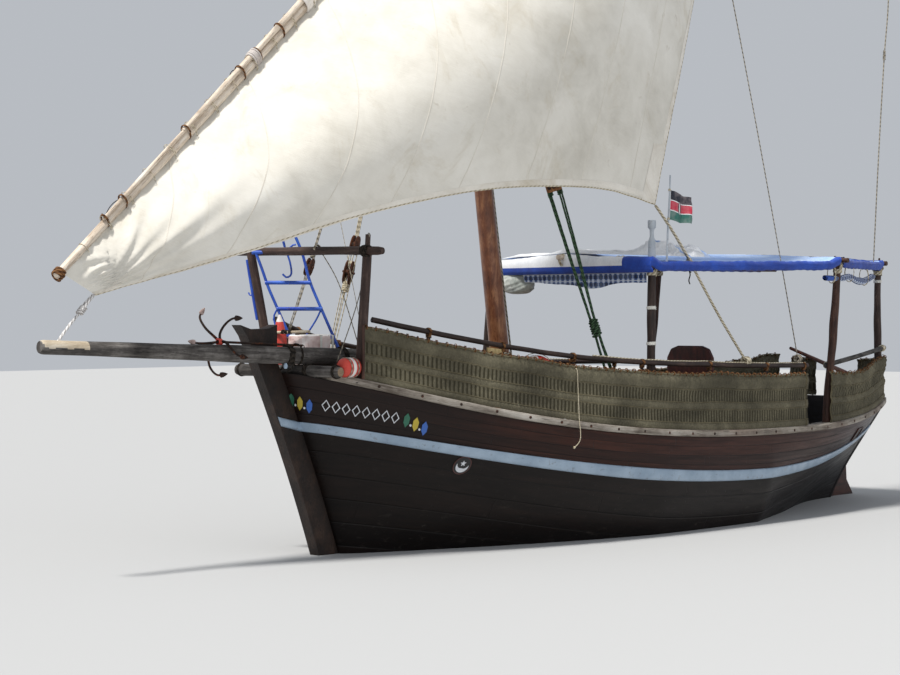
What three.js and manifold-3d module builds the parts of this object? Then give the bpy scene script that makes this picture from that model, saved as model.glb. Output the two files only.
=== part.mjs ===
// Dhow sailing boat: a planked wooden hull with its keel and rudder, a lateen
// sail on a raking mast, an awning aft, woven side screens and the bow gear.
// Millimetres. +X to the bow, +Y to port, +Z up. The origin is amidships on
// the centreline, at the waterline.
import * as THREE from 'three';
import { mergeVertices } from 'three/addons/utils/BufferGeometryUtils.js';
import Module from 'manifold-3d';

const wasm = await Module();
wasm.setup();

// Clearance between pieces that are seated on each other
const GAP = 0.3;
const V = (x, y, z) => new THREE.Vector3(x, y, z);

// Driving dimensions of the hull
const SHEER = { low: 1065, at: -1800, bowRise: 795, bowRun: 7140, bowPower: 2.54,
  sternRise: 235, sternRun: 3250, sternPower: 2.2 };
const PLAN = { halfBeam: 1620, at: 260, innerPower: 2.1, outerPower: 0.54,
  sternHalf: 770, sternRun: 5310, sternPower: 2.97 };
const STEM = { foot: 5000, rake: 0.36, curve: 0.000035, depth: 280, half: 70, top: 2410 };
const HEAD = { aft: 5600, front: 6105, low: 2050, dip: 2330 };
const TRANSOM = { foot: -4720, rake: -0.26, thickness: 60 };
const RABBET = { z: -950, sternRise: 500, sternFrom: 0.72 };
const KEEL = { half: 55, depth: 200, front: 4350, back: -4760 };
const PLANK = 50;
const CAP = { out: 55, width: 235, thickness: 75, front: 5300 };
const STATIONS = 26;
const ROWS = 9;

// Section shape along the hull: a fuller bilge has a larger fullness, and a
// larger hollow gives the wineglass section at the stern
const SECTIONS = [
  { u: 0.0, fullness: 1.25, hollow: 0.15 },
  { u: 0.4, fullness: 3.2, hollow: 0.0 },
  { u: 0.62, fullness: 3.1, hollow: 0.0 },
  { u: 1.0, fullness: 2.2, hollow: 1.3 },
];

// White rub strake: its top edge, how far it runs over the stem and towards the
// transom as shares of the hull, and its width
const STRAKE = { low: 665, at: -1200, bowRise: 730, bowRun: 6450, bowPower: 1.85,
  sternRise: 330, sternRun: 3700, sternPower: 2.0, proud: 32, sunk: 25,
  overStem: -0.021, from: 0.006, till: 0.998 };
const STRAKE_WIDTH = [{ x: -5200, w: 85 }, { x: -2500, w: 115 }, { x: 1500, w: 138 }, { x: 5600, w: 98 }];

// Decks and inside
const DECK = { top: 800, thickness: 40 };
const FOREDECK = { aft: 3750, front: 5600, aftTop: 1440, slope: 0.2, thickness: 35 };
const BENCH = { top: 1000, thickness: 40, width: 480, front: 1150, aft: -4350, knees: 6, kneeThickness: 45 };

// Mast and rig. The yard leans across the mast's port side.
const THWART = { aft: 1480, front: 1905, low: 905, high: 1005 };
const MAST_STEP = { aft: 1560, front: 2200, half: 190, height: 92 };
const MAST = { heelX: 1847, heelZ: 780, rake: 0.1506, top: 8100, heelR: 120, topR: 84 };
const YARD_FOOT = V(8373, 0, 2857);
const YARD_PEAK = V(-3050, 434, 13258);
const YARD_RADII = [{ s: 0, r: 38 }, { s: 0.25, r: 58 }, { s: 0.6, r: 66 }, { s: 1, r: 34 }];
const SAIL = { columns: 16, rows: 9, thickness: 10, headFrom: 0.006, headTo: 0.985,
  belly: 620, leechBelly: 90 };
const CHEEK = { depth: 86, half: 55, length: 150 };

// Foot of the sail, from the tack to the clew
const SAIL_FOOT = [
  { x: 7902, y: 0, z: 2701 },
  { x: 6475, y: 606, z: 3145 },
  { x: 5346, y: 1001, z: 3511 },
  { x: 3898, y: 1330, z: 3808 },
  { x: 2721, y: 1443, z: 3895 },
  { x: 1868, y: 1460, z: 3887 },
  { x: 1026, y: 1450, z: 3763 },
];

// Stays: foot on the cap, radius, and the blocks of the tackle along each
const MASTHEAD_Z = 7880;
const BLOCK = { endR: 26, middleR: 58 };
const STAYS = [
  { name: 'stay_port', x: 1600, y: 1452, r: 14, rope: 'rope',
    blocks: [{ t: 0.13, length: 260 }, { t: 0.4, length: 260 }] },
  { name: 'stay_starboard_fore', x: 4864, y: -770, r: 11, rope: 'paleRope',
    blocks: [{ t: 0.2, length: 240 }] },
  { name: 'stay_starboard_aft', x: 3850, y: -1080, r: 11, rope: 'paleRope',
    blocks: [{ t: 0.17, length: 240 }, { t: 0.27, length: 240 }] },
];

// Spars at the bow
const LOG = { x: 5380, r: 62.5, half: 760 };
const BOWSPRIT = { tip: 8580, tipZ: 2218, heel: 4500, heelY: 280, heelR: 98, tipR: 65 };
const SCARF = { length: 420, slope: 0.17, above: 12 };
const CHOCK = { fromHeel: 150, half: 90, starboard: 150, port: 130, top: 2050 };
const GALLOWS = {
  port: { foot: V(4980, 620, 1500), top: V(4980, 760, 3330), radii: [45, 30] },
  starboard: { foot: V(4930, -620, 1500), top: V(5170, -800, 3210), radii: [45, 40] },
  bar: { port: V(4990, 985, 3160), starboard: V(5160, -1310, 3190), r: 40, clear: 6 },
};

// Gear stowed on the foredeck and the bowsprit
const GRAPNEL = { x: 6430, end: 5350, ahead: 400, hubY: -30, endY: -45, lift: 16, shankR: 13, crownR: 24,
  arms: [57, 124, 3, 198], armRadii: [13, 13, 12, 11, 10], reach: 320, bend: 1.45, fluke: [26, 4] };
const LADDER = { top: V(4945, -460, 2850), run: V(-90, 80, -277).divideScalar(277), half: V(-140, 155, 0),
  r: 13, low: 1500, high: 3380, rungs: [1980, 2276, 2573, 2850, 3110] };
const BUOY = { x: 5205, y: -215, sunk: 60, rows: [
  { r: 0, z: 0 }, { r: 80, z: 20 }, { r: 92, z: 140 }, { r: 92, z: 380 },
  { r: 70, z: 560 }, { r: 34, z: 690 }, { r: 14, z: 740 }, { r: 0, z: 740 }] };
const CHEST = { aft: 4745, front: 5095, starboard: -200, port: 100, low: 1500, top: 2305 };
const FLOAT = { x: 5170, y: 605, lift: 92, rows: [
  { r: 0, z: -130 }, { r: 55, z: -122 }, { r: 95, z: -85 }, { r: 100, z: -30 },
  { r: 100, z: 30 }, { r: 95, z: 85 }, { r: 55, z: 122 }, { r: 0, z: 130 }] };
const LIFEBUOY = { x: 2950, ringR: 270, r: 58, inset: 112, lift: 327, chord: 150 };

// Side screens of woven mat: height above the cap's top along the boat
const MAT = { inner: 18, thickness: 22, gate: [-2550, -1920],
  front: { port: 5030, starboard: 4850 }, aft: -4960 };
const MAT_HEIGHT = [{ x: -5200, h: 560 }, { x: -2600, h: 620 }, { x: 200, h: 650 },
  { x: 2700, h: 585 }, { x: 5200, h: 530 }];
const STERN_MAT = { inner: 330, outer: 740, half: 11, height: 500 };
const RAIL = { inset: 80, above: 112, r: 28, front: 4880, aft: -2090, postR: 20,
  posts: [4300, 3420, 2450, 1350, 100, -1100, -2000] };

// Awning. Poles that cross are notched over each other.
const AWNING = { poleR: 30, ridgeR: 34, ridgeY: 80, frontZ: 3060, aftZ: 3130, postR: 45,
  sheet: 12, flap: 130, notch: 2 };
const POST_HEAD = [
  { r: 0, z: 3000 }, { r: 45, z: 3000 }, { r: 42, z: 3330 }, { r: 24, z: 3390 },
  { r: 24, z: 3470 }, { r: 46, z: 3495 }, { r: 46, z: 3580 }, { r: 0, z: 3580 }];
const VALANCE = { from: 0.08, till: 0.96, steps: 8, out: 4, lift: 12,
  depth: 230, sag: 40, lean: 6, sheet: 9 };
const STAFF = { foot: V(870, 1496.8, 3060), top: V(740, 1450, 4110), footR: 13, topR: 9 };
const FLAG = { top: 3930, step: 112, gap: 8, fly: 325, wave: 26, ripple: 7.5,
  drift: 60, droop: 55, sheet: 4 };

// Helm box and its rounded back, and the engine under the deck
const HELM = { aft: -2560, front: -1620, half: 380, top: 1330, backAft: -1700, backFront: -1640 };
const HELM_BACK = [
  { y: -350, z: 1300 }, { y: 350, z: 1300 }, { y: 350, z: 1960 }, { y: 290, z: 2070 },
  { y: 180, z: 2110 }, { y: -180, z: 2110 }, { y: -290, z: 2070 }, { y: -350, z: 1960 }];
const ENGINE = { aft: -2700, front: -1700, half: 300, low: -900, top: 150 };

// Rudder and propeller
const RUDDER = { postDepth: 160, axisClear: 35, half: 25, bottom: -925, head: 1640 };
const GUDGEON = { r: 28, height: 60, notch: 48 };
const GUDGEON_AT = [330, 1300, 2200];
const PROPELLER = { z: -700, r: 195, x: -4330, bearing: -4130 };

const clamp01 = (t) => Math.min(1, Math.max(0, t));
const mix = (a, b, t) => a + (b - a) * t;
const smooth = (t) => clamp01(t) * clamp01(t) * (3 - 2 * clamp01(t));

// Value of a named column of a table, interpolated along its first column
function lookUp(table, key, column, at) {
  const last = table.length - 1;
  for (let i = 0; i < last; i += 1) {
    const a = table[i];
    const b = table[i + 1];
    if (at <= b[key] || i === last - 1) {
      return mix(a[column], b[column], clamp01((at - a[key]) / (b[key] - a[key])));
    }
  }
  return table[last][column];
}

// Height of a long curve that rises from its lowest point to the bow and stern
function rise(curve, x) {
  if (x > curve.at) {
    return curve.low + curve.bowRise * ((x - curve.at) / curve.bowRun) ** curve.bowPower;
  }
  return curve.low + curve.sternRise * ((curve.at - x) / curve.sternRun) ** curve.sternPower;
}

const stemFront = (z) => STEM.foot + STEM.rake * z + STEM.curve * z * z;
const rabbetX = (z) => stemFront(z) - STEM.depth;
const transomX = (z) => TRANSOM.foot + TRANSOM.rake * z;
const along = (u, z) => mix(rabbetX(z), transomX(z), u);

// X where station u meets the sheer
function sheerX(u) {
  let x = mix(5500, -5050, u);
  for (let i = 0; i < 12; i += 1) {
    x = along(u, rise(SHEER, x));
  }
  return x;
}
const BOW_END = sheerX(0);

// The sheer runs straight from station to station, from the bow to the stern
const SHEER_LINE = Array.from({ length: STATIONS + 1 }, (_, i) => {
  const x = sheerX(i / STATIONS);
  return { x, z: rise(SHEER, x) };
}).reverse();
const sheerZ = (x) => lookUp(SHEER_LINE, 'x', 'z', x);
const capTop = (x) => sheerZ(x) + GAP + CAP.thickness;

// Half breadth of the hull at the sheer
function halfBreadth(x) {
  if (x > PLAN.at) {
    const s = clamp01((BOW_END - x) / (BOW_END - PLAN.at));
    const full = (1 - (1 - s) ** PLAN.innerPower) ** PLAN.outerPower;
    return mix(STEM.half, PLAN.halfBeam, full);
  }
  const t = (PLAN.at - x) / PLAN.sternRun;
  return PLAN.halfBeam - (PLAN.halfBeam - PLAN.sternHalf) * t ** PLAN.sternPower;
}

const bottomZ = (u) => RABBET.z
  + RABBET.sternRise * smooth((u - RABBET.sternFrom) / (1 - RABBET.sternFrom));

// Half breadth at a height on station u, moved outwards by an offset that is
// measured square to the planking
function breadthAt(u, z, offset = 0) {
  const x = sheerX(u);
  const top = rise(SHEER, x);
  const low = bottomZ(u);
  const fullness = lookUp(SECTIONS, 'u', 'fullness', u);
  const hollow = lookUp(SECTIONS, 'u', 'hollow', u);
  const shape = (h) => {
    const t = clamp01((h - low) / (top - low));
    return mix(STEM.half, halfBreadth(x), (1 - (1 - t) ** fullness) * t ** hollow);
  };
  const step = 20;
  const slope = (shape(z + step) - shape(z - step)) / (2 * step);
  return Math.max(4, shape(z) + offset * Math.hypot(1, slope));
}

// Mesh tools

// Closed body through a list of closed loops with the same number of points
function loft(loops, cap = capTriangles) {
  const n = loops[0].length;
  const positions = loops.flat().flatMap((p) => [p.x, p.y, p.z]);
  const index = [];
  for (let i = 0; i + 1 < loops.length; i += 1) {
    for (let j = 0; j < n; j += 1) {
      const a = i * n + j;
      const b = i * n + ((j + 1) % n);
      index.push(a, b, b + n, a, b + n, a + n);
    }
  }
  const lastStart = (loops.length - 1) * n;
  for (const [a, b, c] of cap(loops[0])) {
    index.push(a, c, b);
  }
  for (const [a, b, c] of cap(loops[loops.length - 1])) {
    index.push(lastStart + a, lastStart + b, lastStart + c);
  }
  return closedGeometry(positions, index);
}

// Triangles that fill a loop of mirrored points, rung by rung
function rungTriangles(loop) {
  const last = loop.length - 1;
  const triangles = [];
  for (let j = 0; j + 1 < loop.length / 2; j += 1) {
    triangles.push([j, j + 1, last - j - 1], [j, last - j - 1, last - j]);
  }
  return triangles;
}

// Triangles that fill a flat loop
function capTriangles(loop) {
  const normal = V(0, 0, 0);
  loop.forEach((p, i) => {
    normal.add(p.clone().cross(loop[(i + 1) % loop.length]));
  });
  normal.normalize();
  const side = Math.abs(normal.z) < 0.9 ? V(0, 0, 1) : V(1, 0, 0);
  const ex = side.cross(normal).normalize();
  const ey = normal.clone().cross(ex);
  const flat = loop.map((p) => new THREE.Vector2(p.dot(ex), p.dot(ey)));
  return THREE.ShapeUtils.triangulateShape(flat, []);
}

// Geometry with its faces turned outwards
function closedGeometry(positions, index) {
  let volume = 0;
  const corner = (i) => V(positions[3 * i], positions[3 * i + 1], positions[3 * i + 2]);
  for (let i = 0; i < index.length; i += 3) {
    volume += corner(index[i]).dot(corner(index[i + 1]).cross(corner(index[i + 2])));
  }
  if (volume < 0) {
    for (let i = 0; i < index.length; i += 3) {
      [index[i + 1], index[i + 2]] = [index[i + 2], index[i + 1]];
    }
  }
  const geometry = new THREE.BufferGeometry();
  geometry.setAttribute('position', new THREE.Float32BufferAttribute(positions, 3));
  geometry.setIndex(index);
  return geometry;
}

function solidOf(geometry) {
  const bare = geometry.clone();
  bare.deleteAttribute('normal');
  bare.deleteAttribute('uv');
  const merged = mergeVertices(bare, 1e-4);
  return new wasm.Manifold(new wasm.Mesh({
    numProp: 3,
    vertProperties: new Float32Array(merged.attributes.position.array),
    triVerts: new Uint32Array(merged.index.array),
  }));
}

function geometryOf(solid) {
  const mesh = solid.getMesh();
  const geometry = new THREE.BufferGeometry();
  geometry.setAttribute('position', new THREE.Float32BufferAttribute(mesh.vertProperties, 3));
  geometry.setIndex(Array.from(mesh.triVerts));
  return geometry;
}

const join = (...parts) => geometryOf(parts.map(solidOf).reduce((a, b) => a.add(b)));
const cut = (part, ...tools) => geometryOf(tools.map(solidOf).reduce((a, b) => a.subtract(b), solidOf(part)));
const clip = (part, tool) => geometryOf(solidOf(part).intersect(solidOf(tool)));

function box(x0, x1, y0, y1, z0, z1) {
  const geometry = new THREE.BoxGeometry(x1 - x0, y1 - y0, z1 - z0);
  return geometry.translate((x0 + x1) / 2, (y0 + y1) / 2, (z0 + z1) / 2);
}

// Round pole through points. Its first vertex lies towards the up direction.
function pole(points, radii, sides = 8, up = V(0, 0, 1)) {
  const loops = points.map((p, i) => {
    const before = points[Math.max(0, i - 1)];
    const after = points[Math.min(points.length - 1, i + 1)];
    const tangent = after.clone().sub(before).normalize();
    const first = up.clone().addScaledVector(tangent, -up.dot(tangent)).normalize();
    const second = tangent.clone().cross(first);
    const r = Array.isArray(radii) ? radii[i] : radii;
    return Array.from({ length: sides }, (_, k) => {
      const angle = (2 * Math.PI * k) / sides;
      return p.clone().addScaledVector(first, r * Math.cos(angle))
        .addScaledVector(second, r * Math.sin(angle));
    });
  });
  return loft(loops);
}

// Smooth round rod along a curve, made by sweeping a circle
function rod(points, r, steps, sides = 8) {
  const curve = new THREE.CatmullRomCurve3(points);
  const circle = new THREE.Shape();
  for (let k = 0; k < sides; k += 1) {
    const angle = (2 * Math.PI * k) / sides;
    const method = k === 0 ? 'moveTo' : 'lineTo';
    circle[method](r * Math.cos(angle), r * Math.sin(angle));
  }
  return new THREE.ExtrudeGeometry(circle, { steps, bevelEnabled: false, extrudePath: curve });
}

// Closed sheet of a given thickness around a grid of points
function sheet(grid, thickness) {
  const rows = grid.length;
  const columns = grid[0].length;
  const at = (i, j) => grid[Math.min(rows - 1, Math.max(0, i))][Math.min(columns - 1, Math.max(0, j))];
  const layer = (side) => grid.flatMap((row, i) => row.map((p, j) => {
    const du = at(i + 1, j).clone().sub(at(i - 1, j));
    const dv = at(i, j + 1).clone().sub(at(i, j - 1));
    return p.clone().addScaledVector(du.cross(dv).normalize(), (side * thickness) / 2);
  }));
  const points = [...layer(-1), ...layer(1)];
  const count = rows * columns;
  const index = [];
  const quad = (a, b, c, d) => index.push(a, b, c, a, c, d);
  for (let i = 0; i + 1 < rows; i += 1) {
    for (let j = 0; j + 1 < columns; j += 1) {
      const a = i * columns + j;
      quad(a, a + 1, a + 1 + columns, a + columns);
      quad(count + a, count + a + columns, count + a + 1 + columns, count + a + 1);
    }
  }
  const rim = [];
  for (let j = 0; j + 1 < columns; j += 1) rim.push(j);
  for (let i = 0; i + 1 < rows; i += 1) rim.push(i * columns + columns - 1);
  for (let j = columns - 1; j > 0; j -= 1) rim.push((rows - 1) * columns + j);
  for (let i = rows - 1; i > 0; i -= 1) rim.push(i * columns);
  rim.forEach((a, k) => {
    const b = rim[(k + 1) % rim.length];
    quad(b, a, count + a, count + b);
  });
  return closedGeometry(points.flatMap((p) => [p.x, p.y, p.z]), index);
}

const mirrored = (p) => V(p.x, -p.y, p.z);

// Hull bodies

// Closed body of the hull's outside, or of its inside when the offset is
// negative. lift is the height of its bottom above the rabbet.
function hullBody({ offset, from = 0, to = 1, lift = 0, above = 0 }) {
  const loops = [];
  for (let i = 0; i <= STATIONS; i += 1) {
    const u = mix(from, to, i / STATIONS);
    const top = rise(SHEER, sheerX(u));
    const low = bottomZ(u) + lift;
    const port = [];
    for (let k = 0; k <= ROWS; k += 1) {
      const z = mix(low, top, k / ROWS);
      port.push(V(along(u, z), breadthAt(u, z, offset), z));
    }
    if (above > 0) {
      const edge = port[port.length - 1];
      port.push(V(edge.x, edge.y, edge.z + above));
    }
    loops.push([...port.slice().reverse(), ...port.map(mirrored)]);
  }
  return loft(loops, rungTriangles);
}

function hullPlanking() {
  const outside = hullBody({ offset: 0 });
  const inside = hullBody({ offset: -PLANK, from: 0.008, to: 1.03, lift: PLANK + 10, above: 400 });
  return cut(outside, inside);
}

// Space inside the planking and forward of the transom, less the clearance
function insideSpace() {
  const space = hullBody({ offset: -PLANK - 2 * GAP, from: 0.008, to: 1.03, lift: PLANK + 10 + GAP });
  const abaft = loft([-3000, 3000].map((y) => [
    V(transomX(-2000) + GAP, y, -2000), V(transomX(3000) + GAP, y, 3000),
    V(-8000, y, 3000), V(-8000, y, -2000),
  ]));
  return cut(space, abaft);
}
const INSIDE = insideSpace();

// Body below a long curve over the whole width, used to seat what stands on it
function below(height, front = 6500, aft = -6000) {
  const loops = [];
  for (let i = 0; i <= STATIONS; i += 1) {
    const x = sheerX(i / STATIONS);
    loops.push(x);
  }
  return loft([front, ...loops, aft].map((x) => [
    V(x, -3000, -2000), V(x, 3000, -2000), V(x, 3000, height(x)), V(x, -3000, height(x)),
  ]));
}
const UNDER_CAP_TOP = below((x) => capTop(x) + GAP);
const UNDER_SHEER = below((x) => sheerZ(x) + GAP);

// X places of the stations between two ends, with the ends themselves
function stationsBetween(front, aft) {
  const inner = [];
  for (let i = 0; i <= STATIONS; i += 1) {
    const x = sheerX(i / STATIONS);
    if (x < front - 20 && x > aft + 20) {
      inner.push(x);
    }
  }
  return [front, ...inner, aft];
}

function gunwale(side) {
  const loops = stationsBetween(CAP.front, sheerX(1) + 5).map((x) => {
    const y = halfBreadth(x) + CAP.out;
    const inner = Math.max(y - CAP.width, 30);
    const low = sheerZ(x) + GAP;
    return [V(x, side * y, low), V(x, side * y, low + CAP.thickness),
      V(x, side * inner, low + CAP.thickness), V(x, side * inner, low)];
  });
  return loft(loops);
}

function rubStrake(side) {
  const loops = [];
  const spots = Array.from({ length: STATIONS + 1 }, (_, i) => mix(STRAKE.from, STRAKE.till, i / STATIONS));
  for (const u of [STRAKE.overStem, ...spots]) {
    let x = sheerX(u);
    for (let n = 0; n < 8; n += 1) {
      x = along(u, rise(STRAKE, x));
    }
    const top = rise(STRAKE, x);
    const low = top - lookUp(STRAKE_WIDTH, 'x', 'w', x);
    const edge = (z, out) => V(along(u, z), side * (breadthAt(u, z) + out), z);
    loops.push([
      edge(low, -STRAKE.sunk), edge(low, STRAKE.proud), edge(top, STRAKE.proud), edge(top, -STRAKE.sunk),
    ]);
  }
  return cut(loft(loops), hullBody({ offset: GAP }), stemPost(GAP));
}

function transom() {
  const top = capTop(sheerX(1));
  const low = bottomZ(1);
  const outline = [];
  for (let k = 0; k <= ROWS; k += 1) {
    const z = mix(low, sheerZ(sheerX(1)), k / ROWS);
    outline.push(V(transomX(z), breadthAt(1, z), z));
  }
  outline.push(V(transomX(top), outline[ROWS].y + 12, top));
  const front = [...outline.slice().reverse(), ...outline.map(mirrored)];
  const shift = (p, d) => V(p.x - d, p.y, p.z);
  const back = front.map((p) => shift(p, TRANSOM.thickness));
  return loft([front.map((p) => shift(p, GAP)), back], rungTriangles);
}

// Flat timber on the centreline, from an outline of points in the X and Z plane
function centreTimber(outline, half) {
  return loft([-half, half].map((y) => outline.map(([x, z]) => V(x, y, z))));
}

function stemPost(grow = 0) {
  const front = [];
  for (let z = RABBET.z - KEEL.depth; z < HEAD.dip; z += 230) {
    front.push([stemFront(z), z]);
  }
  const aft = [[rabbetX(HEAD.low) + GAP, HEAD.low]];
  for (let k = ROWS; k > 0; k -= 1) {
    const z = mix(RABBET.z, rise(SHEER, BOW_END), k / ROWS);
    aft.push([rabbetX(z) + GAP, z]);
  }
  return centreTimber([
    ...front,
    [stemFront(HEAD.dip) + 10, HEAD.dip],
    [HEAD.front, STEM.top],
    [HEAD.front - 150, STEM.top - 45],
    [HEAD.aft + 120, STEM.top - 40],
    [HEAD.aft, STEM.top],
    [HEAD.aft, HEAD.low + 120],
    ...aft,
    [rabbetX(RABBET.z) + GAP, RABBET.z],
    [KEEL.front + GAP, RABBET.z],
    [KEEL.front + GAP, RABBET.z - KEEL.depth],
  ], STEM.half - 2 + grow);
}

function keel() {
  const beam = box(KEEL.back, KEEL.front, -KEEL.half, KEEL.half, RABBET.z - KEEL.depth, RABBET.z - GAP);
  const top = [];
  for (let i = 0; i <= STATIONS; i += 1) {
    const u = i / STATIONS;
    const z = bottomZ(u);
    const x = along(u, z);
    if (u > RABBET.sternFrom && x > PROPELLER.bearing) {
      top.push([x, z - GAP]);
    }
  }
  const low = RABBET.z - 20;
  const end = top[top.length - 1];
  const deadwood = centreTimber([
    [top[0][0], low],
    ...top,
    [PROPELLER.bearing + 60, end[1]],
    [PROPELLER.bearing + 40, PROPELLER.z + 90],
    [PROPELLER.bearing, PROPELLER.z + 60],
    [PROPELLER.bearing, PROPELLER.z - 60],
    [PROPELLER.bearing + 90, PROPELLER.z - 150],
    [PROPELLER.bearing + 110, low],
  ], KEEL.half);
  return join(beam, deadwood);
}

// Rudder axis: its foot lies where the axis meets height z = 0
const axisX = (z) => transomX(z) - TRANSOM.thickness - GAP - RUDDER.postDepth - RUDDER.axisClear;
const AXIS_UP = V(TRANSOM.rake, 0, 1).normalize();
const AXIS_AFT = V(-AXIS_UP.z, 0, AXIS_UP.x);
const axisPoint = (w, v = 0) => V(axisX(RUDDER.bottom), 0, RUDDER.bottom)
  .addScaledVector(AXIS_UP, w).addScaledVector(AXIS_AFT, v);
const axisDrum = (w0, w1, r) => pole([axisPoint(w0), axisPoint(w1)], r, 16, V(1, 0, 0));

function sternPost() {
  const front = (z) => transomX(z) - TRANSOM.thickness - GAP;
  const low = RABBET.z + GAP;
  const high = 1500;
  const post = centreTimber([
    [front(low), low], [front(high), high],
    [front(high) - RUDDER.postDepth, high], [front(low) - RUDDER.postDepth, low],
  ], STEM.half - 10);
  const lugs = GUDGEON_AT.map((w) => {
    const arm = centreTimber([
      [w, -RUDDER.axisClear - 20], [w + GUDGEON.height, -RUDDER.axisClear - 20],
      [w + GUDGEON.height, 0], [w, 0],
    ].map(([a, v]) => [axisPoint(a, v).x, axisPoint(a, v).z]), 18);
    return join(arm, axisDrum(w, w + GUDGEON.height, GUDGEON.r));
  });
  return join(post, ...lugs);
}

function rudder() {
  const length = (RUDDER.head - RUDDER.bottom) / AXIS_UP.z;
  const outline = [
    [0, 0], [0, 700], [180, 730], [700, 650], [1080, 520], [1250, 300],
    [1500, 215], [length, 190], [length, 0],
  ];
  const blade = loft([-RUDDER.half, RUDDER.half].map((y) => outline.map(([w, v]) => {
    const p = axisPoint(w, v);
    return V(p.x, y, p.z);
  })));
  const nose = axisDrum(0, length, RUDDER.half);
  const notches = GUDGEON_AT.map((w) => axisDrum(w - 8, w + GUDGEON.height + GAP, GUDGEON.notch));
  return cut(join(blade, nose), ...notches);
}

function tiller() {
  const w = (RUDDER.head - RUDDER.bottom) / AXIS_UP.z;
  const r = 34;
  const spots = [{ v: 180, r }, { v: -200, r }, { v: -1500, r: 22 }];
  return pole(spots.map((s) => axisPoint(w + GAP + r, s.v)), spots.map((s) => s.r), 10, AXIS_UP);
}

function propeller() {
  const spotsAlong = [PROPELLER.bearing - GAP - PROPELLER.x, 70, 60, -55, -95];
  const hub = pole(spotsAlong.map((x) => V(PROPELLER.x + x, 0, PROPELLER.z)), [18, 18, 38, 34, 12], 12);
  const blades = [0, 1, 2].map((k) => {
    const turn = (2 * Math.PI * k) / 3;
    const spots = [
      { r: 20, half: 40, pitch: 0.9 },
      { r: 110, half: 70, pitch: 0.6 },
      { r: PROPELLER.r, half: 30, pitch: 0.4 },
    ];
    const loops = spots.map((s) => {
      const corner = (chord, thick) => {
        const x = chord * Math.sin(s.pitch) + thick * Math.cos(s.pitch);
        const y = chord * Math.cos(s.pitch) - thick * Math.sin(s.pitch);
        return V(PROPELLER.x + x, y * Math.cos(turn) - s.r * Math.sin(turn),
          PROPELLER.z + y * Math.sin(turn) + s.r * Math.cos(turn));
      };
      return [corner(-s.half, 0), corner(0, -6), corner(s.half, 0), corner(0, 6)];
    });
    return loft(loops);
  });
  return join(hub, ...blades);
}

// Inside

function mainDeck() {
  const slab = box(-5400, 5200, -2000, 2000, DECK.top - DECK.thickness, DECK.top);
  return clip(slab, INSIDE);
}

const foredeckTop = (x) => FOREDECK.aftTop + (x - FOREDECK.aft) * FOREDECK.slope;
const UNDER_FOREDECK = loft([3000, 6500].map((x) => [
  V(x, -2500, 0), V(x, 2500, 0), V(x, 2500, foredeckTop(x) + GAP), V(x, -2500, foredeckTop(x) + GAP),
]));

function foredeck(bowsprit) {
  const slab = loft([FOREDECK.aft, FOREDECK.front].map((x) => {
    const top = foredeckTop(x);
    const low = top - FOREDECK.thickness;
    return [V(x, -2000, low), V(x, 2000, low), V(x, 2000, top), V(x, -2000, top)];
  }));
  const heelX = BOWSPRIT.heel + CHOCK.fromHeel;
  const chock = box(heelX - CHOCK.half, heelX + CHOCK.half, BOWSPRIT.heelY - CHOCK.starboard,
    BOWSPRIT.heelY + CHOCK.port, foredeckTop(heelX) - 10, CHOCK.top);
  return join(clip(slab, INSIDE), cut(chock, bowsprit));
}

function bench(side) {
  const y0 = side > 0 ? 900 : -2000;
  const y1 = side > 0 ? 2000 : -900;
  const loops = stationsBetween(BENCH.front, BENCH.aft).map((x) => {
    const inner = side * (halfBreadth(x) - PLANK - BENCH.width);
    const outer = side * 2200;
    return [V(x, inner, BENCH.top - BENCH.thickness), V(x, outer, BENCH.top - BENCH.thickness),
      V(x, outer, BENCH.top), V(x, inner, BENCH.top)];
  });
  const knees = [];
  for (let k = 0; k < BENCH.knees; k += 1) {
    const x = mix(BENCH.front - 100, BENCH.aft + 100, k / (BENCH.knees - 1));
    const inner = halfBreadth(x) - PLANK - BENCH.width + 60;
    knees.push(box(x - BENCH.kneeThickness / 2, x + BENCH.kneeThickness / 2,
      Math.min(side * inner, side > 0 ? y1 : y0), Math.max(side * inner, side > 0 ? y1 : y0),
      DECK.top + GAP, BENCH.top - BENCH.thickness + 5));
  }
  return clip(join(loft(loops), ...knees), INSIDE);
}

function mastBody(grow = 0) {
  const x = (z) => MAST.heelX + (z - MAST.heelZ) * MAST.rake;
  const low = MAST.heelZ - grow;
  return pole([V(x(low), 0, low), V(x(MAST.top), 0, MAST.top)],
    [MAST.heelR + grow, MAST.topR + grow], 16, V(1, 0, 0));
}

const YARD = YARD_PEAK.clone().sub(YARD_FOOT);
const YARD_DIR = YARD.clone().normalize();
// Square to the yard: towards port, and down towards the sail
const YARD_PORT = V(0, 1, 0).addScaledVector(YARD_DIR, -YARD_DIR.y).normalize();
const YARD_DOWN = YARD_PORT.clone().cross(YARD_DIR).normalize();
if (YARD_DOWN.z > 0) {
  YARD_DOWN.negate();
}
const yardPoint = (s) => YARD_FOOT.clone().addScaledVector(YARD, s);
const yardRadius = (s) => lookUp(YARD_RADII, 's', 'r', s);

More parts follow.
